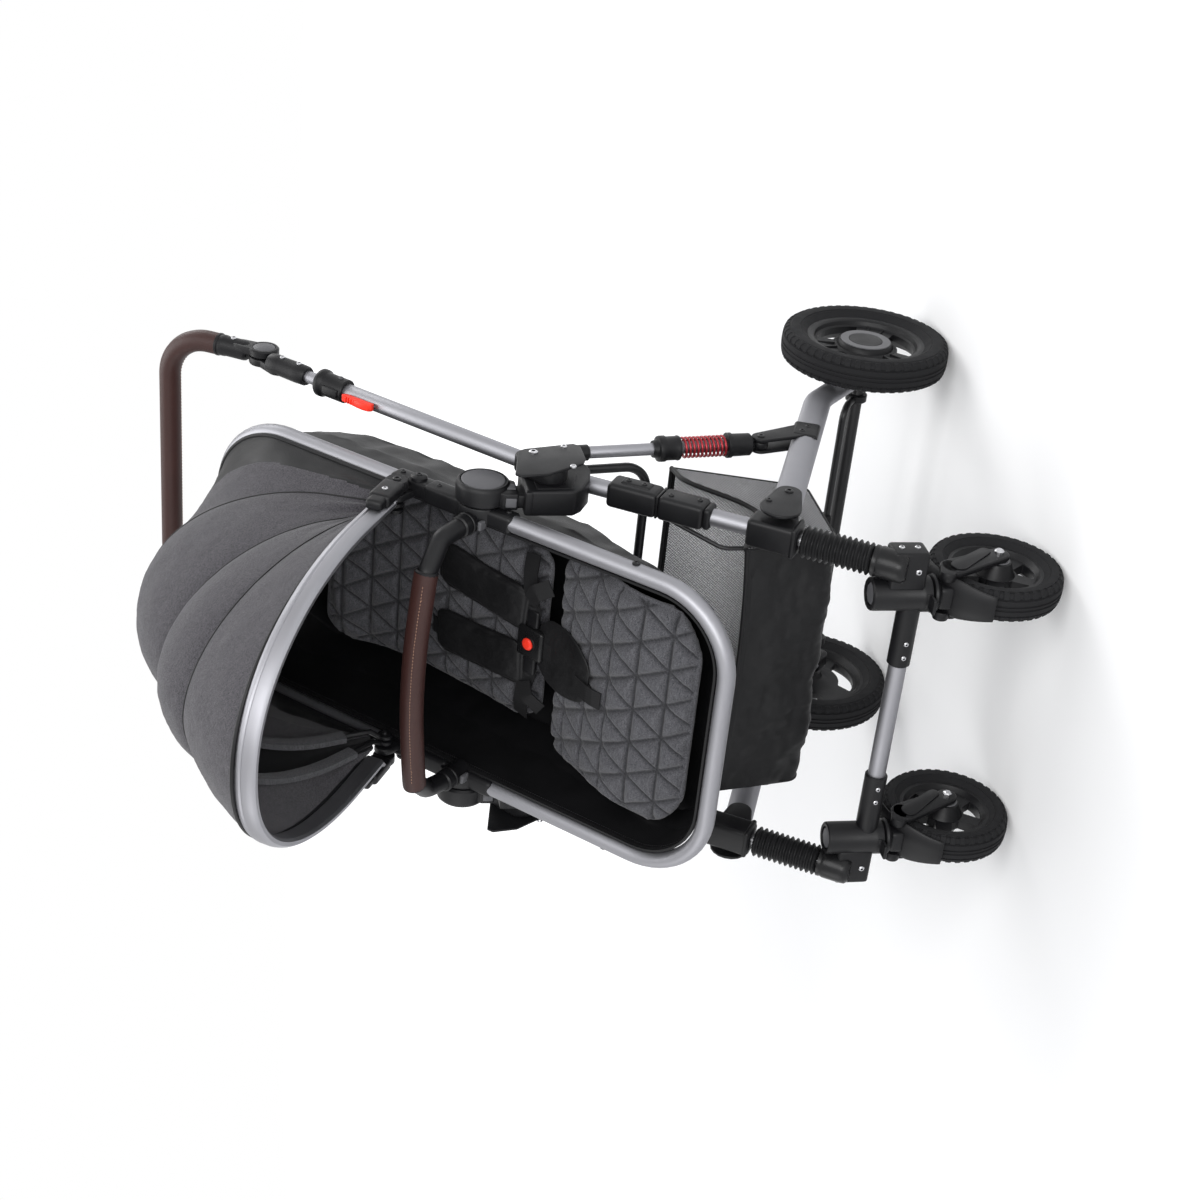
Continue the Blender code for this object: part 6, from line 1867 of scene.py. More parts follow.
@dataclass
class SeatMounts:
    """Posts and hubs that carry the seat, with their tilt buttons."""

    radius: float = 0.034

    def build(self) -> None:
        """Makes and mounts hubs, posts and buttons."""
        y, z = LAY.hub
        stand = facing((0.21, y, z), (1.0, y, z))
        hub = turned([(0.0122, 0.0), (self.radius - 0.003, 0.0), (self.radius, 0.003),
                      (self.radius, 0.0215), (self.radius - 0.0012, 0.0252),
                      (self.radius - 0.003, 0.027), (0.029, 0.027), (0.0286, 0.0215), (0.0, 0.0215),
                      (0.0, 0.0148), (0.0122, 0.0148),
                      (0.0122, 0.0)], stand, 72)
        parts = [moulded(hub)]
        post = brick((0.21, -0.095, 0.6146), (0.2285, -0.065, 0.702), 0.003)
        parts.append(moulded(post))
        neck = slab([(-0.099, 0.672), (-0.0985, 0.69), (-0.09, 0.702), (-0.046, 0.702), (-0.05, 0.69),
                     (-0.06, 0.672)], 0.2092, 0.232, 0.0025, 3)
        parts.append(moulded(neck))
        latch = brick((0.231, -0.086, 0.674), (0.2336, -0.072, 0.688), 0.001)
        parts.append(settled(latch, "latch", "grey_cap"))
        front = brick((0.214, -0.1006, 0.6745), (0.2262, -0.0975, 0.688), 0.001)
        parts.append(settled(front, "latch", "grey_cap"))
        piece = merged(*parts)
        piece.name = "seat_hub_L"
        BENCH.pair(piece, "seat_base", "seat_mount", "seat_mount_L")
        profile = [(0.0, 0.001), (0.0235, 0.0014), (0.025, 0.0008), (0.0262, 0.0008), (0.0276, 0.0),
                   (0.028, -0.004), (0.0, -0.004)]
        button = turned(profile, facing((0.237, y, z), (1.0, y, z)), 72)
        BENCH.pair(settled(button, "hub_button_L", "grey_cap"), "tilt_button_L", "tilt_button",
                   "tilt_button_L")


def rim_outline(inset: float, steps: int) -> list[Point]:
    """Closed outline of the seat's rim.

    Args:
        inset: Distance inside the tube's middle.
        steps: Points in each bend.

    Returns:
        (x, along) points from the left side round the head to the left again.
    """
    half, head, foot = LAY.rim_half - inset, LAY.rim_head - inset, -LAY.rim_foot + inset
    upper = [(half, 0.0, 0.0), (half, head, 0.0), (-half, head, 0.0), (-half, 0.0, 0.0)]
    lower = [(-half, 0.0, 0.0), (-half, foot, 0.0), (half, foot, 0.0), (half, 0.0, 0.0)]
    loop = arcs(upper, 0.11 - inset, steps)[:-1] + arcs(lower, 0.1 - inset, steps)[:-1]
    return [(p.x, p.y) for p in loop]


@dataclass
class Rim:
    """Silver rim with its moulded side housings, bumper sockets and hood hinges."""

    def side(self) -> list[bpy.types.Object]:
        """Parts of the left housing.

        Returns:
            The parts.
        """
        slope = lean(LAY.rim, LAY.rim_angle)
        hub, hood = LAY.hub, LAY.hood
        parts = []
        body = brick((0.185, -0.024, -0.014), (0.2088, 0.167, 0.0125), 0.0065, slope, 4)
        parts.append(moulded(body))
        grip = brick((0.1838, 0.05, -0.015), (0.2094, 0.112, 0.0135), 0.005, slope, 3)
        parts.append(moulded(grip))
        parts.append(moulded(shaft((0.188, *hub), (0.2092, *hub), 0.031, 0.003)))
        parts.append(settled(shaft((0.207, *hub), (0.224, *hub), 0.0118), "shaft", "black_coat"))
        foot, top = LAY.rim_at(0.189, 0.0308, 0.001), LAY.rim_at(0.189, 0.0308, 0.03)
        socket = turned([(0.0, 0.0), (0.015, 0.0), (0.014, 0.012), (0.0142, 0.024), (0.015, 0.0255),
                         (0.015, 0.0282), (0.014, 0.0292),
                         (0.0093, 0.0292), (0.0093, 0.01), (0.0, 0.01)], facing(foot, top), 40)
        parts.append(moulded(socket))
        key = brick((0.183, 0.012, 0.01), (0.195, 0.0172, 0.024), 0.0016, slope)
        parts.append(settled(key, "key", "grey_cap"))
        arm = slab(capsule(on_slope(*LAY.rim, LAY.rim_angle, 0.1413, 0.002), 0.0165, hood, 0.0135), 0.186,
                   0.1955, 0.0022, 3)
        parts.append(moulded(arm))
        parts.append(settled(shaft((0.164, *hood), (0.211, *hood), 0.0038), "pin", "black_coat"))
        lower = on_slope(*LAY.rim, LAY.rim_angle, 0.128, 0.0)
        knob = turned([(0.0, 0.005), (0.008, 0.005), (0.0108, 0.003), (0.0112, -0.001), (0.0, -0.001)],
                      facing((0.2088, *lower), (1.0, *lower)), 40)
        parts.append(moulded(knob))
        parts.append(bolt((0.2136, *lower), (1.0, 0.0, 0.0), 0.004, "black_coat"))
        for along in (-0.012, 0.062, 0.096, 0.154):
            parts.append(bolt(LAY.rim_at(0.209, along, -0.001), (1.0, 0.0, 0.0), 0.0034, "black_coat"))
        return parts

    def build(self) -> None:
        """Makes and mounts the rim."""
        section = []
        for step in range(24):
            turn = 2.0 * math.pi * step / 24
            section.append((0.0108 * math.cos(turn), 0.012 * math.sin(turn)))
        loop = [(x, along, 0.0) for x, along in rim_outline(0.0, 14)]
        band = settled(swept(loop, section=section, cyclic=True, stand=lean(LAY.rim, LAY.rim_angle)), "rim",
                       "satin_aluminium", 60.0)
        halves = [band]
        for sign in (1.0, -1.0):
            side = merged(*self.side())
            if sign < 0.0:
                side.data.transform(Matrix.Diagonal((-1.0, 1.0, 1.0, 1.0)))
                with editing(side):
                    bpy.ops.mesh.flip_normals()
            halves.append(side)
        knob = (screw(LAY.rim_at(s * 0.2078, -0.2, 0.0), (s, 0.0, 0.0), 0.0052) for s in (1.0, -1.0))
        halves += [moulded(k, 25.0) for k in knob]
        piece = merged(*halves)
        piece.name = "seat_frame_rim"
        BENCH.mount(piece, "seat", "seat_rim", "seat_rim")


def eased(stations: Sequence[Point], value: float) -> float:
    """Smoothly interpolated value from (position, value) stations.

    Args:
        stations: Rising (position, value) pairs.
        value: Position to look up.

    Returns:
        The value.
    """
    if value <= stations[0][0]:
        return stations[0][1]
    for (a, low), (b, high) in zip(stations, stations[1:]):
        if value <= b:
            share = (value - a) / (b - a)
            return low + (high - low) * share * share * (3.0 - 2.0 * share)
    return stations[-1][1]


def wrinkle(point: Vector, scale: float, stretch: Spot = (1.0, 1.0, 1.0)) -> float:
    """Smooth folds from -1 to 1 at a point."""
    return noise.fractal(Vector((point.x * stretch[0], point.y * stretch[1], point.z * stretch[2])) * scale,
                         0.8, 2.1, 4)


@dataclass
class Tub:
    """Deep black cloth tub that hangs from the rim, with a zip and piping round its edge."""

    inset: float = 0.014

    def build(self) -> None:
        """Makes and mounts the tub."""
        depths = ((-0.34, 0.044), (-0.25, 0.064), (-0.15, 0.092), (-0.03, 0.126), (0.1, 0.134),
                  (0.2, 0.142),
                  (0.3, 0.138), (0.37, 0.116), (0.45, 0.09))
        shrink = ((0.0, 0.0), (0.25, 0.04), (0.5, 0.12), (0.75, 0.5), (1.0, 1.0))
        sink = ((0.0, 0.0), (0.25, 0.58), (0.5, 1.0), (0.75, 1.02), (1.0, 1.02))
        stand = lean(LAY.rim, LAY.rim_angle)
        loop = rim_outline(self.inset, 14)
        closed = loop + [loop[0]]
        lengths = [0.0]
        for a, b in zip(closed, closed[1:]):
            lengths.append(lengths[-1] + math.dist(a, b))
        total = lengths[-1]

        def spot(u: float) -> Point:
            """A point of the rim's inner line.

            Args:
                u: Place across, from 0 to 1.

            Returns:
                The point in its plane.
            """
            want = (u % 1.0) * total
            for index in range(len(closed) - 1):
                if want <= lengths[index + 1]:
                    break
            share = (want - lengths[index]) / max(1e-9, lengths[index + 1] - lengths[index])
            a, b = closed[index], closed[index + 1]
            return a[0] + (b[0] - a[0]) * share, a[1] + (b[1] - a[1]) * share

        def shape(u: float, v: float) -> Vector:
            """A point of the tub's cloth.

            Args:
                u: Place across, from 0 to 1.
                v: Place along, from 0 to 1.

            Returns:
                The point.
            """
            x, along = spot(u)
            spine = max(-LAY.rim_foot * 0.62, min(along, LAY.rim_head * 0.68))
            share = eased(shrink, v)
            reach = along + (spine - along) * share
            depth = eased(depths, reach) * eased(sink, v)
            hang = min(1.0, v * 5.0)
            across = x * (1.0 - share)
            fold = wrinkle(Vector((across, reach, v * 0.1)), 20.0, (1.0, 0.8, 0.25)) * 0.0045 * hang
            gather = hang * math.sin(math.pi * min(1.0, v * 1.4))
            side = wrinkle(Vector((reach, v * 0.1, 3.0 + math.copysign(1.0, x))), 17.0) * 0.0065 * gather
            width = across - math.copysign(abs(side), x) * min(1.0, abs(across) / 0.08)
            return stand @ Vector((width, reach, -0.003 - depth + fold))

        tub = cloth_grid(168, 40, shape)
        with editing(tub):
            bpy.ops.mesh.remove_doubles(threshold=0.00002)
            bpy.ops.mesh.normals_make_consistent(inside=False)
        modified(tub, "SOLIDIFY", thickness=0.0016, offset=0.0)
        tub = settled(tub, "tub", "tub_nylon", 70.0)
        edge = [(x, along, 0.0008) for x, along in rim_outline(self.inset - 0.0002, 12)]
        piping = settled(swept(edge, section=[(0.0015, 0.004), (0.002, 0.0), (0.0015, -0.004),
                (-0.0015, -0.004), (-0.002, 0.0), (-0.0015, 0.004)],
                               cyclic=True, stand=stand), "piping", "black_piping", 60.0)
        zipper = [stand @ Vector((x, along, -0.0035)) for x, along in rim_outline(self.inset + 0.003, 12)]
        zipper = moulded(dotted(zipper + [zipper[0]], 0.0034, 0.002, 0.0011), 60.0)
        piece = merged(tub, piping, zipper)
        piece.name = "seat_tub"
        BENCH.mount(piece, "seat", "seat_shell", "seat_shell")


@dataclass
class QuiltedPad:
    """Padded panel laid along a line in the plane of the pram's length, quilted in triangles."""

    name: str
    path: Sequence[Point]
    half: float
    thick: float
    taper: float = 0.0
    row: float = 0.044
    depth: float = 0.006

    def lengths(self) -> list[float]:
        """Distance along the path at each of its points.

        Returns:
            The distances.
        """
        made = [0.0]
        for a, b in zip(self.path, self.path[1:]):
            made.append(made[-1] + math.dist(a, b))
        return made

    def spot(self, along: float) -> tuple[Vector, Vector]:
        """Point on the smoothed path and the direction square to it.

        Args:
            along: Distance along the path.

        Returns:
            The point and the direction out of the face.
        """
        lengths = self.lengths()

        def raw(want: float) -> Vector:
            """A point of the plain path.

            Args:
                want: Distance along the path.

            Returns:
                The point.
            """
            want = max(0.0, min(lengths[-1], want))
            for index in range(len(self.path) - 1):
                if want <= lengths[index + 1] + 1e-9:
                    break
            a, b = self.path[index], self.path[index + 1]
            share = (want - lengths[index]) / (lengths[index + 1] - lengths[index])
            return Vector((0.0, a[0] + (b[0] - a[0]) * share, a[1] + (b[1] - a[1]) * share))

        reach = 0.012
        point = (raw(along - reach) + raw(along) * 2.0 + raw(along + reach)) / 4.0
        if along < reach or along > lengths[-1] - reach:
            point = raw(along)
        ahead = (raw(along + reach) - raw(along - reach)).normalized()
        return point, Vector((0.0, -ahead.z, ahead.y))

    def seam(self, x: float, along: float) -> float:
        """Distance to the nearest quilting line.

        Args:
            x: Place across the pad.
            along: Distance along the path.

        Returns:
            The value.
        """
        height = self.row
        base = height * 1.1
        lines = [along / height, (along / height + 2.0 * x / base) / 2.0 * 1.0,
                 (along / height - 2.0 * x / base) / 2.0 * 1.0]
        slant = math.hypot(0.5 / height, 1.0 / base)
        rates = [1.0 / height, slant, slant]
        return min(abs(value - round(value)) / rate for value, rate in zip(lines, rates))

    def build(self) -> bpy.types.Object:
        """Makes the pad: a closed form, swelled, then stitched down along its seams.

        Returns:
            The piece.
        """
        total = self.lengths()[-1]

        def face(side: float) -> Callable[[float, float], Vector]:
            """Gives one face of the pad.

            Args:
                side: 1 for the upper face, -1 for the lower.

            Returns:
                The function that gives a point for each place.
            """
            def shape(u: float, v: float) -> Vector:
                """A point of that face.

                Args:
                    u: Place across, from 0 to 1.
                    v: Place along, from 0 to 1.

                Returns:
                    The point.
                """
                a, b = u * 2.0 - 1.0, v * 2.0 - 1.0
                squash = math.sqrt(1.0 - 0.24 * b ** 14), math.sqrt(1.0 - 0.16 * a ** 14)
                half = self.half * (a * squash[0]) * (1.0 - self.taper * max(0.0, 1.0 - v / 0.2) ** 2)
                along = total / 2.0 + total / 2.0 * b * squash[1]
                edge = (1.0 - abs(a) ** 8) * (1.0 - abs(b) ** 14)
                point, out = self.spot(along)
                rise = 0.0035 * edge if side > 0.0 else -self.thick * (0.55 + 0.4 * edge)
                if side > 0.0:
                    rise -= self.thick * 0.35 * (1.0 - edge)
                return point + Vector((half, 0.0, 0.0)) + out * rise
            return shape

        top = cloth_grid(40, 56, face(1.0))
        under = cloth_grid(40, 56, face(-1.0))
        pad = merged(top, under)
        with editing(pad):
            bpy.ops.mesh.select_all(action="DESELECT")
            bpy.ops.mesh.select_non_manifold()
            bpy.ops.mesh.bridge_edge_loops()
            bpy.ops.mesh.select_all(action="SELECT")
            bpy.ops.mesh.normals_make_consistent(inside=False)
        pad = swelled(pad, 0.005, 0.005)
        grid = bmesh.new()
        grid.from_mesh(pad.data)
        grid.normal_update()
        # The "seam" layer is the mask of painted shade along the quilting grooves, read by the melange
        # material.
        groove_shade_layer = grid.verts.layers.float.new("seam")
        samples = [(step / 200.0 * total, *self.spot(step / 200.0 * total)) for step in range(201)]
        for vert in grid.verts:
            along, point, out = min(samples,
                                    key=lambda s: (s[1].y - vert.co.y) ** 2 + (s[1].z - vert.co.z) ** 2)
            near = self.seam(vert.co.x, along)
            facing_up = max(0.0, vert.normal.dot(out))
            edge = min(self.half - abs(vert.co.x), along, total - along)
            border = max(0.0, 1.0 - abs(edge - 0.01) / 0.0035)
            dip = math.exp(-((near / 0.0042) ** 2)) * min(1.0, max(0.0, (edge - 0.008) / 0.006))
            puff = min(near / 0.012, 1.0) * 0.0012 * min(1.0, max(0.0, edge / 0.02))
            fine = wrinkle(vert.co, 70.0) * 0.0005
            drop = max(dip * self.depth, border * 0.0022)
            vert.co = vert.co + out * ((puff - drop + fine) * facing_up)
            # Painted shade mask: 1 on a quilting line, fading out within 3.4 mm, and none near the pad's
            # edge.
            vert[groove_shade_layer] = max(0.0, 1.0 - near / 0.0034) if edge > 0.01 else 0.0
        grid.to_mesh(pad.data)
        grid.free()
        pad = settled(pad, self.name, "grey_melange", 180.0)
        return pad


@dataclass
class Pads:
    """Seat pad over the knee edge and the reclining back pad."""

    def build(self) -> None:
        """Makes and mounts both pads."""
        seat = QuiltedPad("seat_cushion", [(-0.2866, 0.463), (-0.25, 0.504), (-0.215, 0.542),
                (-0.189, 0.5565), (-0.074, 0.6045)], 0.162, 0.018, 0.16)
        back = QuiltedPad("back_cushion", [(-0.064, 0.6145), (0.037, 0.695), (0.111, 0.757), (0.161, 0.823),
                (0.187, 0.892)], 0.142, 0.02)
        for pad, body, node in ((seat, "seat", "seat_pad"), (back, "backrest", "back_pad")):
            piece = pad.build()
            BENCH.mount(piece, body, node, node)


# Harness and bumper


@dataclass
class Harness:
    """Shoulder pads, webbing, buckle and crotch pad."""

    start: Point = (-0.064, 0.6145)
    rise: float = 0.0085

    def slope(self) -> float:
        """Slope of the back under the harness, in degrees."""
        return math.degrees(math.atan2(0.0805, 0.101))

    def soft(self, half: float, low: float, high: float, thick: float, name: str) -> bpy.types.Object:
        """Slim padded panel in its own XY plane, bound at its edge.

        Args:
            half: Half its width.
            low: Start of its length.
            high: End of its length.
            thick: Its thickness.
            name: Name of what is made.

        Returns:
            The piece.
        """

        def shape(side: float) -> Callable[[float, float], Vector]:
            """Gives one face of the panel.

            Args:
                side: 1 for the upper face, -1 for the lower.

            Returns:
                The function that gives a point for each place.
            """
            def place(u: float, v: float) -> Vector:
                """A point of that face.

                Args:
                    u: Place across, from 0 to 1.
                    v: Place along, from 0 to 1.

                Returns:
                    The point.
                """
                a, b = u * 2.0 - 1.0, v * 2.0 - 1.0
                x = half * a * math.sqrt(1.0 - 0.24 * b ** 12)
                y = (low + high) / 2.0 + (high - low) / 2.0 * b * math.sqrt(1.0 - 0.16 * a ** 12)
                edge = (1.0 - abs(a) ** 6) * (1.0 - abs(b) ** 12)
                return Vector((x, y, thick * (0.5 + side * (0.16 + 0.3 * edge))))
            return place

        piece = merged(cloth_grid(14, 34, shape(1.0)), cloth_grid(14, 34, shape(-1.0)))
        with editing(piece):
            bpy.ops.mesh.select_all(action="DESELECT")
            bpy.ops.mesh.select_non_manifold()
            bpy.ops.mesh.bridge_edge_loops()
            bpy.ops.mesh.select_all(action="SELECT")
            bpy.ops.mesh.normals_make_consistent(inside=False)
        piece = swelled(piece, 0.004, 0.0022)
        for vert in piece.data.vertices:
            edge = min(half - abs(vert.co.x), vert.co.y - low, high - vert.co.y)
            dent = max(0.0, 1.0 - abs(edge - 0.006) / 0.0022) * 0.0013
            if vert.co.z > thick * 0.5:
                vert.co.z += wrinkle(vert.co, 60.0) * 0.0008 - dent
        return settled(piece, name, "black_cloth", 180.0)

    def strap(self, points: Sequence[Spot], half: float, name: str,
              lift: Optional[Matrix] = None) -> bpy.types.Object:
        """Flat webbing along a path whose width lies along X of its own plane.

        Args:
            points: Points of the path.
            half: Half its width.
            name: Name of what is made.
            lift: Frame that it is moved to, or None where it is in place.

        Returns:
            The piece.
        """
        path = arcs(points, 0.01, 5)

        def shape(u: float, v: float) -> Vector:
            """A point of the webbing.

            Args:
                u: Place across, from 0 to 1.
                v: Place along, from 0 to 1.

            Returns:
                The point.
            """
            spot = v * (len(path) - 1)
            index = min(int(spot), len(path) - 2)
            point = path[index].lerp(path[index + 1], spot - index)
            ahead = (path[index + 1] - path[index]).normalized()
            side = ahead.cross(Vector((0.0, 0.0, 1.0)))
            side = side.normalized() if side.length > 0.2 else Vector((1.0, 0.0, 0.0))
            return point + side * (half * (u * 2.0 - 1.0))

        piece = cloth_grid(6, 48, shape)
        modified(piece, "SOLIDIFY", thickness=0.0016, offset=0.0)
        if lift is not None:
            piece.data.transform(lift)
        return settled(piece, name, "black_webbing", 50.0)

    def buckle(self, slope: Matrix) -> list[bpy.types.Object]:
        """Moulded buckle with side clips.

        Args:
            slope: Frame of the back's slope.

        Returns:
            The parts.
        """
        r = self.rise
        parts = []
        body = brick((-0.0225, -0.011, r), (0.0225, 0.033, r + 0.014), 0.005, slope, 4)
        parts.append(settled(body, "buckle", "gloss_black"))
        well = turned([(0.0092, 0.015), (0.0112, 0.015), (0.012, 0.0136), (0.0092, 0.0136),
                       (0.0092, 0.015)],
                      slope @ Matrix.Translation((0.0, 0.012, r)), 40)
        parts.append(settled(well, "well", "gloss_black"))
        for s in (-1.0, 1.0):
            clip = brick((-0.007, -0.01, 0.002), (0.019, 0.01, 0.01), 0.0032,
                         slope @ Matrix.Translation((s * 0.029, 0.012,
                                 r)) @ Matrix.Rotation(0.0 if s > 0.0 else math.pi, 4, "Z"))
            parts.append(moulded(clip))
            ladder = brick((-0.014, -0.0055, 0.0005), (0.014, 0.0055, 0.0062), 0.0016,
                           slope @ Matrix.Translation((s * 0.034, 0.036,
                                                       r + 0.004)) @ Matrix.Rotation(-s * 0.25, 4, "Z"))
            parts.append(moulded(ladder))
        return parts

    def build(self) -> None:
        """Makes and mounts the harness."""
        slope = lean(self.start, self.slope())
        parts = self.buckle(slope)
        for side in (-1.0, 1.0):
            turn = slope @ Matrix.Translation((side * 0.041, 0.03,
                    self.rise)) @ Matrix.Rotation(-side * math.radians(4.0), 4, "Z")
            pad = self.soft(0.033, -0.009, 0.154, 0.0135, "shoulder_pad")
            pad.data.transform(turn)
            parts.append(pad)
            web = self.strap([(0.0, -0.028, 0.005), (0.0, -0.012, 0.008), (0.0, 0.01, 0.006)], 0.012, "web",
                             turn)
            parts.append(web)
            upper = self.strap([(0.0, 0.142, 0.007), (0.0, 0.162, 0.0052), (0.0, 0.172, -0.002)], 0.012,
                               "web", turn)
            parts.append(upper)
            waist = slope @ Matrix.Translation((0.0, 0.012, self.rise))
            loop = self.strap([(side * 0.04, 0.0, 0.005), (side * 0.07, 0.006, 0.009),
                               (side * 0.1, 0.012, 0.006), (side * 0.122, 0.016, -0.002)],
                              0.012, "web", waist)
            parts.append(loop)
            tail = self.strap([(side * 0.06, 0.004, 0.011), (side * 0.078, -0.006, 0.015),
                               (side * 0.092, -0.026, 0.007)], 0.0115, "web", waist)
            parts.append(tail)
        piece = merged(*parts)
        piece.name = "harness_set"
        BENCH.mount(piece, "backrest", "harness", "harness")
        button = turned([(0.0, 0.018), (0.004, 0.018), (0.007, 0.0174), (0.0084, 0.016), (0.0084, 0.014),
                         (0.0, 0.014)],
                        slope @ Matrix.Translation((0.0, 0.012, self.rise)), 40)
        BENCH.mount(settled(button, "buckle_push", "red_plastic"), "buckle_button", "buckle_button",
                    "buckle_button")
        self.crotch()

    def crotch(self) -> None:
        """Padded crotch piece that lies on the seat and runs up to the buckle."""
        path = [(-0.066, 0.6235), (-0.09, 0.6115), (-0.13, 0.593), (-0.172, 0.576)]

        def shape(side: float) -> Callable[[float, float], Vector]:
            """Gives one face of the pad.

            Args:
                side: 1 for the upper face, -1 for the lower.

            Returns:
                The function that gives a point for each place.
            """
            def place(u: float, v: float) -> Vector:
                """A point of that face.

                Args:
                    u: Place across, from 0 to 1.
                    v: Place along, from 0 to 1.

                Returns:
                    The point.
                """
                a, b = u * 2.0 - 1.0, v * 2.0 - 1.0
                spot = v * (len(path) - 1)
                index = min(int(spot), len(path) - 2)
                share = spot - index
                y = path[index][0] + (path[index + 1][0] - path[index][0]) * share
                z = path[index][1] + (path[index + 1][1] - path[index][1]) * share
                half = 0.023 + 0.026 * math.sin(math.pi * min(1.0, v * 0.85 + 0.08))
                edge = (1.0 - abs(a) ** 5) * (1.0 - abs(b) ** 10)
                return Vector((half * a * math.sqrt(1.0 - 0.5 * b ** 8), y,
                               z + 0.0015 + side * (0.0012 + 0.0028 * edge)))
            return place

        piece = merged(cloth_grid(14, 24, shape(1.0)), cloth_grid(14, 24, shape(-1.0)))
        with editing(piece):
            bpy.ops.mesh.select_all(action="DESELECT")
            bpy.ops.mesh.select_non_manifold()
            bpy.ops.mesh.bridge_edge_loops()
            bpy.ops.mesh.select_all(action="SELECT")
            bpy.ops.mesh.normals_make_consistent(inside=False)
        modified(piece, "SUBSURF", levels=2, render_levels=2)
        for vert in piece.data.vertices:
            vert.co.z += wrinkle(vert.co, 45.0) * 0.001
        piece = settled(piece, "crotch_pad", "black_cloth", 180.0)
        tails = []
        for x, points in ((-0.01, [(0.0, -0.15, 0.5905), (0.0, -0.176, 0.58), (0.0, -0.186, 0.574),
                                   (0.0, -0.196, 0.565)]),
                          (0.0, [(0.0, -0.056, 0.629), (0.0, -0.075, 0.624), (0.0, -0.098, 0.613)])):
            tails.append(self.strap([(x + a, b, c) for a, b, c in points], 0.012, "web"))
        piece = merged(piece, *tails)
        piece.name = "crotch_pad"
        piece.data.transform(Matrix.Translation((0.0, -MIDDLE_Y, 0.0)))
        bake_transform(piece)


@dataclass
class Bumper:
    """Bumper bar: black elbows with a stitched leather sleeve between them."""

    def build(self) -> None:
        """Makes and mounts the bar."""
        stand = lean(LAY.rim, LAY.rim_angle)
        half = [(0.189, 0.0308, 0.03), (0.189, 0.0308, 0.036), (0.185, 0.0338, 0.0748),
                (0.15, 0.0258, 0.1125), (0.06, 0.0288, 0.1205)]
        path = [stand @ p for p in arcs(half + [(-x, t, n) for x, t, n in reversed(half)], 0.024, 10)]
        parts = [moulded(swept(path, 0.0124), 60.0)]
        grip = [(0.156, 0.0258, 0.1112), (0.144, 0.026, 0.1132), (0.1, 0.0274, 0.1176),
                (0.06, 0.0288, 0.1205), (0.02, 0.0292, 0.1222)]
        whole = grip + [(-x, t, n) for x, t, n in reversed(grip)]
        leather = swept([stand @ Vector(p) for p in whole], 0.0152)
        parts.append(settled(leather, "sleeve", "brown_leather", 60.0))
        for sign in (1.0, -1.0):
            a, b = (stand @ Vector((sign * x, t, n)) for x, t,
                    n in ((0.153, 0.0258, 0.1118), (0.158, 0.0257, 0.1106)))
            parts.append(moulded(hollow(a, b, 0.015, 0.012, 0.0016)))
            low, high = (stand @ Vector((sign * 0.189, 0.0308, n)) for n in (0.008, 0.0385))
            parts.append(moulded(shaft(low, high, 0.0084)))
            foot, top = (stand @ Vector((sign * 0.189, 0.0308, n)) for n in (0.0298, 0.044))
            parts.append(moulded(hollow(foot, top, 0.0142, 0.012, 0.002)))
        for turn in (-38.0, 118.0):
            off = (0.0149 * math.cos(math.radians(turn)), 0.0149 * math.sin(math.radians(turn)))
            row = [stand @ Vector((x, t + off[0], n + off[1])) for x, t, n in whole[1:-1]]
            parts.append(settled(dotted(row, 0.0046, 0.0031, 0.00045), "stitches", "leather_thread", 80.0))
        for sign in (1.0, -1.0):
            ring = []
            for step in range(13):
                turn = math.radians(-38.0 + 156.0 * step / 12.0)
                bulge = 0.02 * math.sin(math.pi * step / 12.0)
                x = 0.124 - bulge
                n = 0.1148 + (0.1205 - 0.1148) * (0.124 - x) / 0.064
                ring.append(stand @ Vector((sign * x, 0.0268 + 0.0151 * math.cos(turn),
                                            n + 0.0151 * math.sin(turn))))
            parts.append(settled(dotted(ring, 0.0046, 0.0031, 0.00045), "stitches", "leather_thread", 80.0))
        piece = merged(*parts)
        piece.name = "leather_bumper"
        BENCH.mount(piece, "bumper", "bumper_bar", "bumper_bar")


# Hood


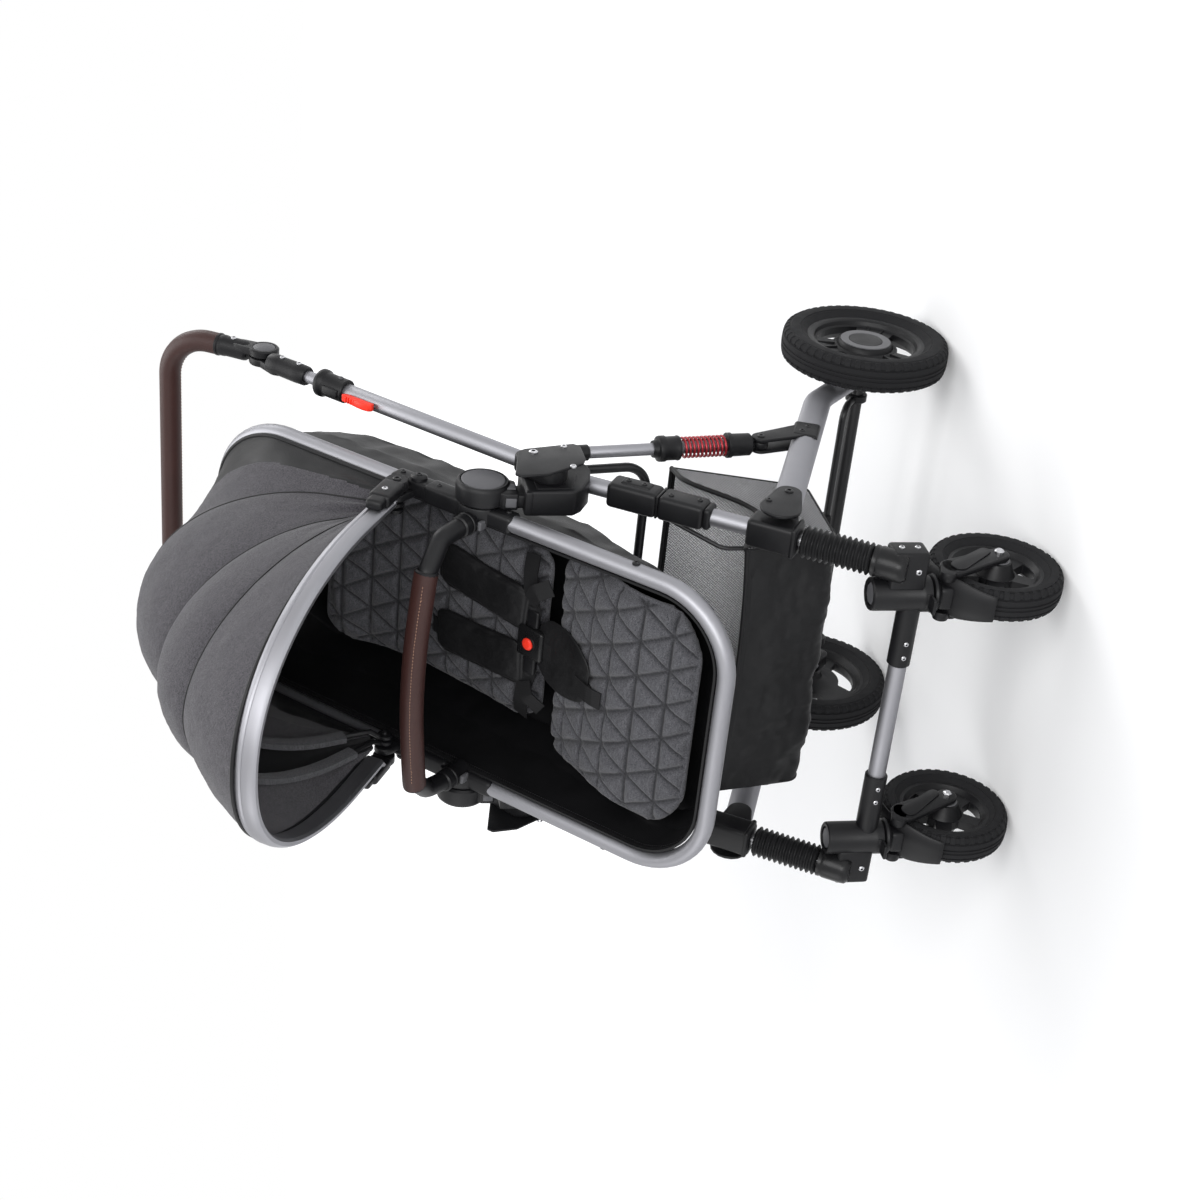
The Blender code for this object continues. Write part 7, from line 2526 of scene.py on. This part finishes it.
@dataclass
class Hood:
    """Silver front hoop, two bound ribs and the swelling cloth panels sewn between them."""

    half: float = 0.19
    hoop_angle: float = 29.0
    hoop_reach: float = 0.4
    b_angle: float = 50.7
    b_reach: float = 0.339
    b_half: float = 0.1717
    a_angle: float = 72.4
    a_reach: float = 0.3005
    a_half: float = 0.1597
    c_angle: float = 107.0
    c_reach: float = 0.327
    c_half: float = 0.1784
    over: float = 0.0085
    side: float = 0.2
    start: float = 0.022
    power: float = 2.15
    rib_power: float = 1.87
    seam_power: float = 1.88

    def slant(self, angle: float) -> Matrix:
        """Local Y runs out along a hoop's plane from the hinge, local Z square to it."""
        return lean(LAY.hood, 180.0 - angle)

    def half_hoop(self, share: float, reach: float, half: float, flat: float, power: float) -> Point:
        """(x, out) on one half of a hoop.

        Args:
            share: Place along the half hoop, from 0 at its foot to 1 at its top.
            reach: Its length from the hood's pivot.
            half: Half its width.
            flat: How flat its top is.
            power: Roundness of its bend.

        Returns:
            The point in its plane.
        """
        if share < self.side:
            return half, self.start + (flat - self.start) * share / self.side
        angle = (share - self.side) / (1.0 - self.side) * math.pi / 2.0
        bend = 2.0 / power
        return half * math.cos(angle) ** bend, flat + (reach - flat) * math.sin(angle) ** bend

    def whole(self, reach: float, half: float, flat: float, power: float, steps: int) -> list[Vector]:
        """Points of a whole hoop in its plane, left to right."""
        left = [self.half_hoop(step / steps, reach, half, flat, power) for step in range(steps + 1)]
        return [Vector((x, out, 0.0)) for x, out in left + [(-x, out) for x, out in reversed(left[:-1])]]

    def hoop(self) -> None:
        """Makes and mounts the front hoop."""
        path = self.whole(self.hoop_reach - 0.007, self.half + 0.002, 0.1, self.power, 40)
        path = [p for p in path if p.y > 0.03]
        middle = 0.2068
        path = [Vector((middle, 0.018, 0.0))] + path + [Vector((-middle, 0.018, 0.0))]
        width, t = 0.027, 0.007
        section = [(t, -0.01), (t + 0.0008, -0.007), (t - 0.0002, -0.005), (t - 0.0002, -0.0044),
                   (t + 0.001, -0.003), (t + 0.0014, 0.003),
                   (t + 0.0006, 0.0075), (t - 0.0006, 0.011), (t - 0.003, width / 2.0),
                   (-0.001, width / 2.0 + 0.0002), (-0.004, 0.01),
                   (-0.0045, -0.01), (-0.001, -width / 2.0), (t - 0.003, -width / 2.0), (t - 0.001, -0.012)]
        band = settled(swept(path, section=section, stand=self.slant(self.hoop_angle)), "hoop",
                       "satin_aluminium", 35.0)
        parts = [band]
        for s in (1.0, -1.0):
            cx = s * 0.2068
            drum = turned([(0.0, 0.0), (0.013, 0.0), (0.015, 0.002), (0.015, 0.0115), (0.0135, 0.0135),
                           (0.0, 0.0135)],
                          facing((s * 0.2, *LAY.hood), (s, *LAY.hood)), 48)
            parts.append(moulded(drum))
            boot = brick((cx - 0.009, 0.006, -0.015), (cx + 0.0085, 0.056, 0.015), 0.0055,
                         self.slant(self.hoop_angle), 4)
            parts.append(moulded(boot))
            wing = brick((cx - 0.0075, 0.04, -0.0115), (cx + 0.007, 0.072, 0.0115), 0.0055,
                         self.slant(self.hoop_angle), 4)
            parts.append(moulded(wing))
            parts.append(bolt((s * 0.2135, *LAY.hood), (s, 0.0, 0.0), 0.0056, "black_coat"))
            spot = on_slope(*LAY.hood, 180.0 - self.hoop_angle, 0.036)
            parts.append(bolt((s * 0.2153, *spot), (s, 0.0, 0.0), 0.004))
        piece = merged(*parts)
        piece.name = "hood_front_hoop"
        BENCH.mount(piece, "hood_hoop", "canopy_hoop", "canopy_hoop")

    def rib(self, name: str, body: str, node: str, angle: float, reach: float, eye: float,
            half: float) -> None:
        """Makes and mounts one inner rib, sewn into its binding.

        Args:
            name: Name of what is made.
            body: Body that it rides on.
            node: CAD node that it stands for.
            angle: Its angle about the pivot, in degrees.
            reach: Its length from the hood's pivot.
            eye: X of the eye on the pivot.
            half: Half its width.
        """
        path = self.whole(reach - 0.0072, half, 0.09, self.rib_power, 28)
        path = [Vector((eye, 0.008, 0.0))] + path + [Vector((-eye, 0.008, 0.0))]
        wire = settled(swept([self.slant(angle) @ p for p in path], 0.0036), "rib", "black_coat", 60.0)
        bound = [p for p in path if p.y > 0.055]
        section = [(0.0046, -0.0095), (0.0054, 0.0), (0.0046, 0.0095), (-0.003, 0.0092), (-0.0046, 0.0),
                   (-0.003, -0.0092)]
        sleeve = settled(swept(bound, section=section, stand=self.slant(angle)), "binding", "grey_binding",
                         60.0)
        parts = [wire, sleeve]
        for s in (1.0, -1.0):
            x = s * eye
            parts.append(moulded(shaft((x - 0.0026, *LAY.hood), (x + 0.0026, *LAY.hood), 0.0102, 0.0012)))
        piece = merged(*parts)
        piece.name = name
        BENCH.mount(piece, body, "canopy_rib", node)

    def polar(self, x: float, along: float, rise: float, angle: float) -> tuple[float, float, float]:
        """(x, radius, turn) about the hinge."""
        return x, math.hypot(along, rise), angle + math.degrees(math.atan2(rise, along))

    def seam(self, index: int, share: float) -> tuple[float, float, float]:
        """(x, radius, turn) on one seam; 0 is the front edge and 4 the rear.

        Args:
            index: Which one, counted from the front.
            share: Place along the seam, from 0 to 1.

        Returns:
            The point's three numbers.
        """
        if index == 0:
            x, out = self.half_hoop(share, self.hoop_reach, self.half, 0.1, self.power)
            return self.polar(x, out, 0.0152, self.hoop_angle)
        if index < 4:
            reach, half, power, angle = (
                (self.b_reach, self.b_half + self.over, self.rib_power, self.b_angle),
                (self.a_reach, self.a_half + self.over, self.rib_power, self.a_angle),
                (self.c_reach, self.c_half, self.seam_power, self.c_angle),
            )[index - 1]
            return self.polar(*self.half_hoop(share, reach, half, 0.09, power), 0.0, angle)
        along, rise, bend = 0.1413, 0.0288, 0.11
        side = LAY.rim_head - bend - along
        if share < self.side:
            x, out = LAY.rim_half, self.start + (side - self.start) * share / self.side
        else:
            turn = (share - self.side) / (1.0 - self.side)
            arc = min(turn / 0.6, 1.0) * math.pi / 2.0
            x = (LAY.rim_half - bend) * (1.0 - max(turn - 0.6, 0.0) / 0.4) + bend * math.cos(arc)
            out = side + bend * math.sin(arc)
        return self.polar(x, out, rise - 0.0145, 180.0 - LAY.rim_angle)

    def point(self, x: float, radius: float, turn: float) -> Vector:
        """A point from x, radius and turn about the hinge."""
        angle = math.radians(turn)
        return Vector((x, LAY.hood[0] - radius * math.cos(angle), LAY.hood[1] + radius * math.sin(angle)))

    def panel(self, index: int, lift: float) -> bpy.types.Object:
        """One cloth panel between two seams.

        Args:
            index: Which one, counted from the front.
            lift: How far the cloth swells between its seams.

        Returns:
            The piece.
        """

        def shape(u: float, v: float) -> Vector:
            """A point of the panel's cloth.

            Args:
                u: Place across, from 0 to 1.
                v: Place along, from 0 to 1.

            Returns:
                The point.
            """
            share = 1.0 - abs(2.0 * u - 1.0)
            (x_a, r_a, t_a), (x_b, r_b, t_b) = self.seam(index, share), self.seam(index + 1, share)
            full = min(1.0, share / 0.6)
            swell = math.sin(math.pi * v) ** 0.62
            radius = r_a + (r_b - r_a) * v + lift * full * swell
            x = (x_a + (x_b - x_a) * v) * (1.0 if u < 0.5 else -1.0)
            point = self.point(x, radius, t_a + (t_b - t_a) * v)
            pucker = math.exp(-min(v, 1.0 - v) / 0.1)
            fold = wrinkle(point, 24.0, (1.0, 1.0, 1.0)) * 0.0016 + wrinkle(Vector((share * 0.9, v * 0.05,
                    index * 3.1)), 60.0) * 0.0011 * pucker
            slack = max(0.0, 0.35 - share) / 0.35
            fold += math.sin(v * math.pi * 3.0 + index) * 0.003 * slack * math.sin(math.pi * v)
            centre = self.point(0.0, 0.0, 0.0)
            out = (point - Vector((point.x * 0.4, centre.y, centre.z))).normalized()
            return point + out * (fold * math.sin(math.pi * v) ** 0.5)

        rows = (26, 18, 24, 24)[index]
        piece = cloth_grid(150, rows, shape)
        with editing(piece):
            bpy.ops.mesh.remove_doubles(threshold=0.00002)
            bpy.ops.mesh.normals_make_consistent(inside=False)
        grid = piece.data
        outward = sum((f.normal.dot(f.center - self.point(0.0, 0.05, 60.0)) for f in grid.polygons))
        if outward < 0.0:
            with editing(piece):
                bpy.ops.mesh.flip_normals()
        grid.materials.clear()
        lining = ("hood_melange", "black_lining", "hood_melange", "hood_melange")[index]
        for name in ("hood_melange", lining, "black_cloth", "black_cloth"):
            grid.materials.append(FINISH[name])
        if index == 3:
            for face in grid.polygons:
                turn = math.degrees(math.atan2(face.center.z - LAY.hood[1], LAY.hood[0] - face.center.y))
                face.material_index = 2 if turn > 124.0 else 0
        modified(piece, "SOLIDIFY", thickness=0.0018, offset=-1.0, material_offset=1, material_offset_rim=0)
        only(piece)
        bpy.ops.object.shade_smooth_by_angle(angle=math.radians(80.0))
        return piece

    def piping(self, index: int, radius: float, finish: str) -> bpy.types.Object:
        """Cord sewn into one seam.

        Args:
            index: Which one, counted from the front.
            radius: Its radius.
            finish: Name of its finish.

        Returns:
            The piece.
        """
        count = 60
        left = [self.seam(index, step / count) for step in range(count + 1)]
        points = [self.point(*spot) for spot in left]
        points += [Vector((-p.x, p.y, p.z)) for p in reversed(points[:-1])]
        return settled(swept(points, radius), "piping", finish, 60.0)

    def build(self) -> None:
        """Makes the hood, mounting its hoop and ribs; the cloth panels stay unmounted in the model's frame.
        """
        self.hoop()
        self.rib("hood_rib_front", "hood_rib_b", "canopy_rib_b", self.b_angle, self.b_reach, 0.1795,
                 self.b_half)
        self.rib("hood_rib_rear", "hood_rib_a", "canopy_rib_a", self.a_angle, self.a_reach, 0.1705,
                 self.a_half)
        plan = (
            ("hood_panel_front", (0,), 1.0, 0.685, 0.0024),
            ("hood_panel_middle", (1,), 0.685, 0.5273, 0.0013),
            ("hood_panel_rear", (2, 3), 0.5273, 0.0, 0.0013),
        )
        lifts = (0.001, 0.012, 0.008, -0.01)
        for name, indexes, high, low, cord in plan:
            parts = [self.panel(index, lifts[index]) for index in indexes]
            parts += [self.piping(index, cord if index == indexes[0] else 0.0013,
                                  "black_piping") for index in indexes]
            if indexes[-1] == 3:
                parts.append(self.piping(4, 0.003, "black_piping"))
            piece = merged(*parts)
            piece.name = name
            shift = Vector((0.0, -MIDDLE_Y, 0.0))
            piece.data.transform(Matrix.Translation(shift))
            ahead = self.point(0.0, *self.seam(indexes[0], 1.0)[1:]) + shift
            behind = self.point(0.0, *self.seam(indexes[-1] + 1, 1.0)[1:]) + shift
            step = (ahead - behind) / (high - low)
            start = behind - step * low
            tuple(start + step)
            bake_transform(piece)
            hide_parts("canopy_cover")
            LOG.info("%s bends between seat and hood_hoop", piece.name)


# Basket


@dataclass
class Basket:
    """Cloth basket: black front and floor, net sides, bound edges and hanger wires."""

    half: float = 0.183
    front: Point = (-0.15, 0.388)
    toe: Point = (-0.128, 0.262)
    heel: Point = (0.03, 0.262)
    rear: Point = (0.085, 0.435)

    def wall(self) -> bpy.types.Object:
        """Front, floor and rear in one sagging sheet.

        Returns:
            The piece.
        """
        line = arcs([at(0.0, p) for p in (self.front, self.toe, self.heel, self.rear)], 0.02, 8)
        lengths = [0.0]
        for a, b in zip(line, line[1:]):
            lengths.append(lengths[-1] + (b - a).length)

        def shape(u: float, v: float) -> Vector:
            """A point of the basket's walls and floor.

            Args:
                u: Place across, from 0 to 1.
                v: Place along, from 0 to 1.

            Returns:
                The point.
            """
            want = v * lengths[-1]
            for index in range(len(line) - 1):
                if want <= lengths[index + 1] + 1e-9:
                    break
            share = (want - lengths[index]) / (lengths[index + 1] - lengths[index])
            point = line[index].lerp(line[index + 1], share)
            x = (u - 0.5) * 2.0 * (self.half - 0.001)
            ahead = (line[index + 1] - line[index]).normalized()
            out = Vector((0.0, ahead.z, -ahead.y)) * -1.0
            sag = (1.0 - (x / self.half) ** 2) * math.sin(math.pi * v) * 0.004
            fold = wrinkle(Vector((x, point.y, point.z)), 14.0,
                           (1.0, 0.6, 1.6)) * 0.0075 * math.sin(math.pi * min(1.0, v * 1.2)) ** 0.5
            top = -0.01 * (1.0 - (x / self.half) ** 2) if v < 0.02 else 0.0
            return Vector((x, point.y, point.z)) + out * (fold - sag) + Vector((0.0, 0.0, top))

        piece = cloth_grid(110, 110, shape)
        modified(piece, "SOLIDIFY", thickness=0.0016, offset=0.0)
        return settled(piece, "wall", "black_cloth", 70.0)

    def side_line(self, y: float) -> tuple[float, float]:
        """Lowest and highest z of the side panel at this y.

        Args:
            y: Place along the pram.

        Returns:
            The two numbers.
        """
        low_pts = arcs([at(0.0, p) for p in (self.front, self.toe, self.heel, self.rear)], 0.02, 8)
        low = self.toe[1]
        for a, b in zip(low_pts, low_pts[1:]):
            if min(a.y, b.y) - 1e-9 <= y <= max(a.y, b.y) + 1e-9 and abs(b.y - a.y) > 1e-6:
                low = a.z + (b.z - a.z) * (y - a.y) / (b.y - a.y)
        share = (y - self.front[0]) / (self.rear[0] - self.front[0])
        dip = -0.06 * math.sin(math.pi * min(1.0, max(0.0, share * 1.15))) ** 1.5
        return low, self.front[1] + (self.rear[1] - self.front[1]) * share + dip

    def side(self, sign: float) -> list[bpy.types.Object]:
        """Net side panel with its bound top edge.

        Args:
            sign: 1 for the pram's left side, -1 for its right.

        Returns:
            The parts.
        """

        def shape(u: float, v: float) -> Vector:
            """A point of the basket's side.

            Args:
                u: Place across, from 0 to 1.
                v: Place along, from 0 to 1.

            Returns:
                The point.
            """
            y = self.front[0] + (self.rear[0] - self.front[0]) * u
            low, high = self.side_line(y)
            high = max(high, low + 0.001)
            bulge = 0.003 * math.sin(math.pi * u) * math.sin(math.pi * v)
            return Vector((sign * (self.half - 0.0012 + bulge), y, low + (high - low) * v))

        piece = cloth_grid(70, 40, shape)
        modified(piece, "SOLIDIFY", thickness=0.0012, offset=0.0)
        net = settled(piece, "net", "basket_net", 70.0)
        top = []
        for step in range(41):
            y = self.front[0] + (self.rear[0] - self.front[0]) * step / 40.0
            low, high = self.side_line(y)
            top.append(Vector((sign * (self.half - 0.001), y, max(high, low + 0.001))))
        edge = settled(swept(top, 0.0034), "binding", "black_piping", 60.0)
        corners_low = (self.front, self.toe, self.heel, self.rear)
        low_edge = arcs([at(sign * (self.half - 0.001), p) for p in corners_low], 0.02, 8)
        return [net, edge, settled(swept(low_edge, 0.0018), "piping", "black_piping", 60.0)]

    def build(self) -> None:
        """Makes and mounts the basket."""
        parts = [self.wall()]
        hem = [Vector((self.half * (1.0 - step / 20.0), self.front[0],
                       self.front[1] - 0.01 * (1.0 - (1.0 - step / 20.0) ** 2))) for step in range(41)]
        parts.append(settled(swept(hem, 0.003), "hem", "black_piping", 60.0))
        rear = [(self.half, *self.rear), (-self.half, *self.rear)]
        parts.append(settled(swept(rear, 0.0034), "hem", "black_piping", 60.0))
        for s in (1.0, -1.0):
            parts += self.side(s)
            points = [(s * (self.half - 0.002), self.front[0] + 0.008, self.front[1] - 0.03),
                      (s * (self.half - 0.002), self.front[0] + 0.006, self.front[1] + 0.03),
                      (s * 0.205, -0.1, 0.49)]
            parts.append(settled(swept(arcs(points, 0.03, 8), 0.003), "wire", "black_coat", 60.0))
        wide, low, high = self.half - 0.004, self.heel, self.rear

        def floor(u: float, v: float) -> Vector:
            """A point of the lining.

            Args:
                u: Place across, from 0 to 1.
                v: Place along, from 0 to 1.

            Returns:
                The point.
            """
            return Vector(((u - 0.5) * 2.0 * wide, low[0] + 0.002 + (high[0] - low[0] - 0.006) * v - 0.004,
                           low[1] + 0.006 + (high[1] - low[1] - 0.01) * v))

        lining = cloth_grid(60, 30, floor)
        modified(lining, "SOLIDIFY", thickness=0.001, offset=0.0)
        parts.append(settled(lining, "lining", "inner_net", 70.0))
        piece = merged(*parts)
        piece.name = "cloth_basket"
        BENCH.mount(piece, "frame", "basket", "basket")


# Studio


@dataclass
class Studio:
    """Pale floor, soft lights and the camera of the photograph."""

    azimuth: float = 29.4282
    elevation: float = 11.2427
    distance: float = 2.6785
    lens: float = 58.85
    target: tuple[float, float, float] = (0.0, 0.1071 - 0.0753, 0.5233)
    roll: float = -0.2194

    def camera(self) -> None:
        """Sets the camera, rolled a quarter turn as the photograph is."""
        a, e = math.radians(self.azimuth), math.radians(self.elevation)
        back = Vector((math.sin(a) * math.cos(e), -math.cos(a) * math.cos(e), math.sin(e)))
        right = (-back).cross(Vector((0.0, 0.0, 1.0))).normalized()
        up = right.cross(-back)
        r = math.radians(self.roll)
        right, up = right * math.cos(r) + up * math.sin(r), up * math.cos(r) - right * math.sin(r)
        data = bpy.data.cameras.new("photo_camera")
        data.lens = self.lens
        data.sensor_width = 36.0
        camera = bpy.data.objects.new("photo_camera", data)
        bpy.context.scene.collection.objects.link(camera)
        place = Vector(self.target) + back * self.distance
        turn = Matrix((-up, right, back)).transposed().to_4x4()
        camera.matrix_world = Matrix.Translation(place) @ turn
        bpy.context.scene.camera = camera

    def lamp(self, name: str, place: Spot, size: float, power: float) -> None:
        """Adds a large soft lamp aimed at the pram.

        Args:
            name: Name of what is made.
            place: Where it hangs.
            size: Diameter.
            power: Power in watts.
        """
        data = bpy.data.lights.new(name, "AREA")
        data.shape = "DISK"
        data.size = size
        data.energy = power
        lamp = bpy.data.objects.new(name, data)
        bpy.context.scene.collection.objects.link(lamp)
        aim = Vector((0.0, 0.0, 0.55)) - Vector(place)
        lamp.matrix_world = Matrix.Translation(Vector(place)) @ aim.to_track_quat("-Z",
                "Y").to_matrix().to_4x4()

    def pale(self, name: str, shade: float, glow: float) -> bpy.types.Material:
        """Near-white surface that shows white to the camera and keeps shadows.

        Args:
            name: Name of what is made.
            shade: Its own brightness.
            glow: Brightness that the camera sees near the pram.

        Returns:
            The material.
        """
        p = Paint(name)
        rays = p.node("ShaderNodeLightPath", {}, {}, 0)
        gloss = p.node("ShaderNodeLightPath", {}, {}, 3)
        p.set(Base_Color=(shade, shade, shade), Roughness=0.9, Specular_IOR_Level=0.0)
        spot = p.place()
        across, ahead = p.axis(spot, 0), p.axis(spot, 1)
        far = p.levels(across * across + ahead * ahead, 1.0, 12.0, glow, 1.0)
        p.set(Emission_Color=p.mixed((rays + gloss).clamped() * far, (0.0, 0.0, 0.0), (1.0, 1.0, 1.0)),
              Emission_Strength=1.0)
        return p.material

    def world(self) -> None:
        """White surroundings for the camera and reflections, dimmer for light."""
        world = bpy.data.worlds.new("surroundings")
        bpy.context.scene.world = world
        world.use_nodes = True
        tree = world.node_tree
        tree.nodes.clear()
        out = tree.nodes.new("ShaderNodeOutputWorld")
        mix = tree.nodes.new("ShaderNodeMixShader")
        seen, fill = tree.nodes.new("ShaderNodeBackground"), tree.nodes.new("ShaderNodeBackground")
        seen.inputs["Color"].default_value = (1.0, 1.0, 1.0, 1.0)
        seen.inputs["Strength"].default_value = 1.0
        fill.inputs["Color"].default_value = (0.93, 0.95, 1.0, 1.0)
        fill.inputs["Strength"].default_value = 0.38
        path = tree.nodes.new("ShaderNodeLightPath")
        total = path.outputs["Is Camera Ray"]
        for kind in ("Is Glossy Ray", "Is Transmission Ray"):
            add = tree.nodes.new("ShaderNodeMath")
            add.operation = "ADD"
            add.use_clamp = True
            tree.links.new(total, add.inputs[0])
            tree.links.new(path.outputs[kind], add.inputs[1])
            total = add.outputs[0]
        tree.links.new(total, mix.inputs[0])
        tree.links.new(fill.outputs[0], mix.inputs[1])
        tree.links.new(seen.outputs[0], mix.inputs[2])
        tree.links.new(mix.outputs[0], out.inputs["Surface"])

    def build(self) -> None:
        """Makes floor, lights and camera."""
        bpy.ops.object.select_all(action="DESELECT")
        bpy.ops.mesh.primitive_plane_add(size=40.0)
        floor = bpy.context.object
        floor.name = "studio_floor"
        floor.data.materials.append(self.pale("pale_floor", 0.82, 0.15))
        self.lamp("key", (2.2, -2.6, 3.0), 2.6, 80.0)
        self.lamp("fill", (-2.8, -2.2, 1.8), 2.6, 30.0)
        self.lamp("top", (0.2, 0.6, 3.4), 2.4, 48.0)
        self.lamp("back", (1.6, 2.8, 2.2), 2.0, 36.0)
        self.lamp("front", (1.3, -3.0, 1.1), 1.4, 42.0)
        self.world()
        self.camera()
        bpy.context.scene.view_settings.view_transform = "Standard"


def main() -> None:
    """Builds every assembly in order."""
    logging.basicConfig(level=logging.INFO, format="%(message)s")
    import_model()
    bpy.ops.object.select_all(action="DESELECT")
    assemblies = (
        RearWheels(), FrontWheels(), Caster(), FrontAxle(), Legs(), RearFrame(), Struts(), UpperFrame(),
        Handle(),
        SeatMounts(), Rim(), Tub(), Pads(), Harness(), Bumper(), Hood(), Basket(), Studio(),
    )
    for assembly in assemblies:
        assembly.build()
        LOG.info("%s done", type(assembly).__name__)


if __name__ == "__main__":
    main()
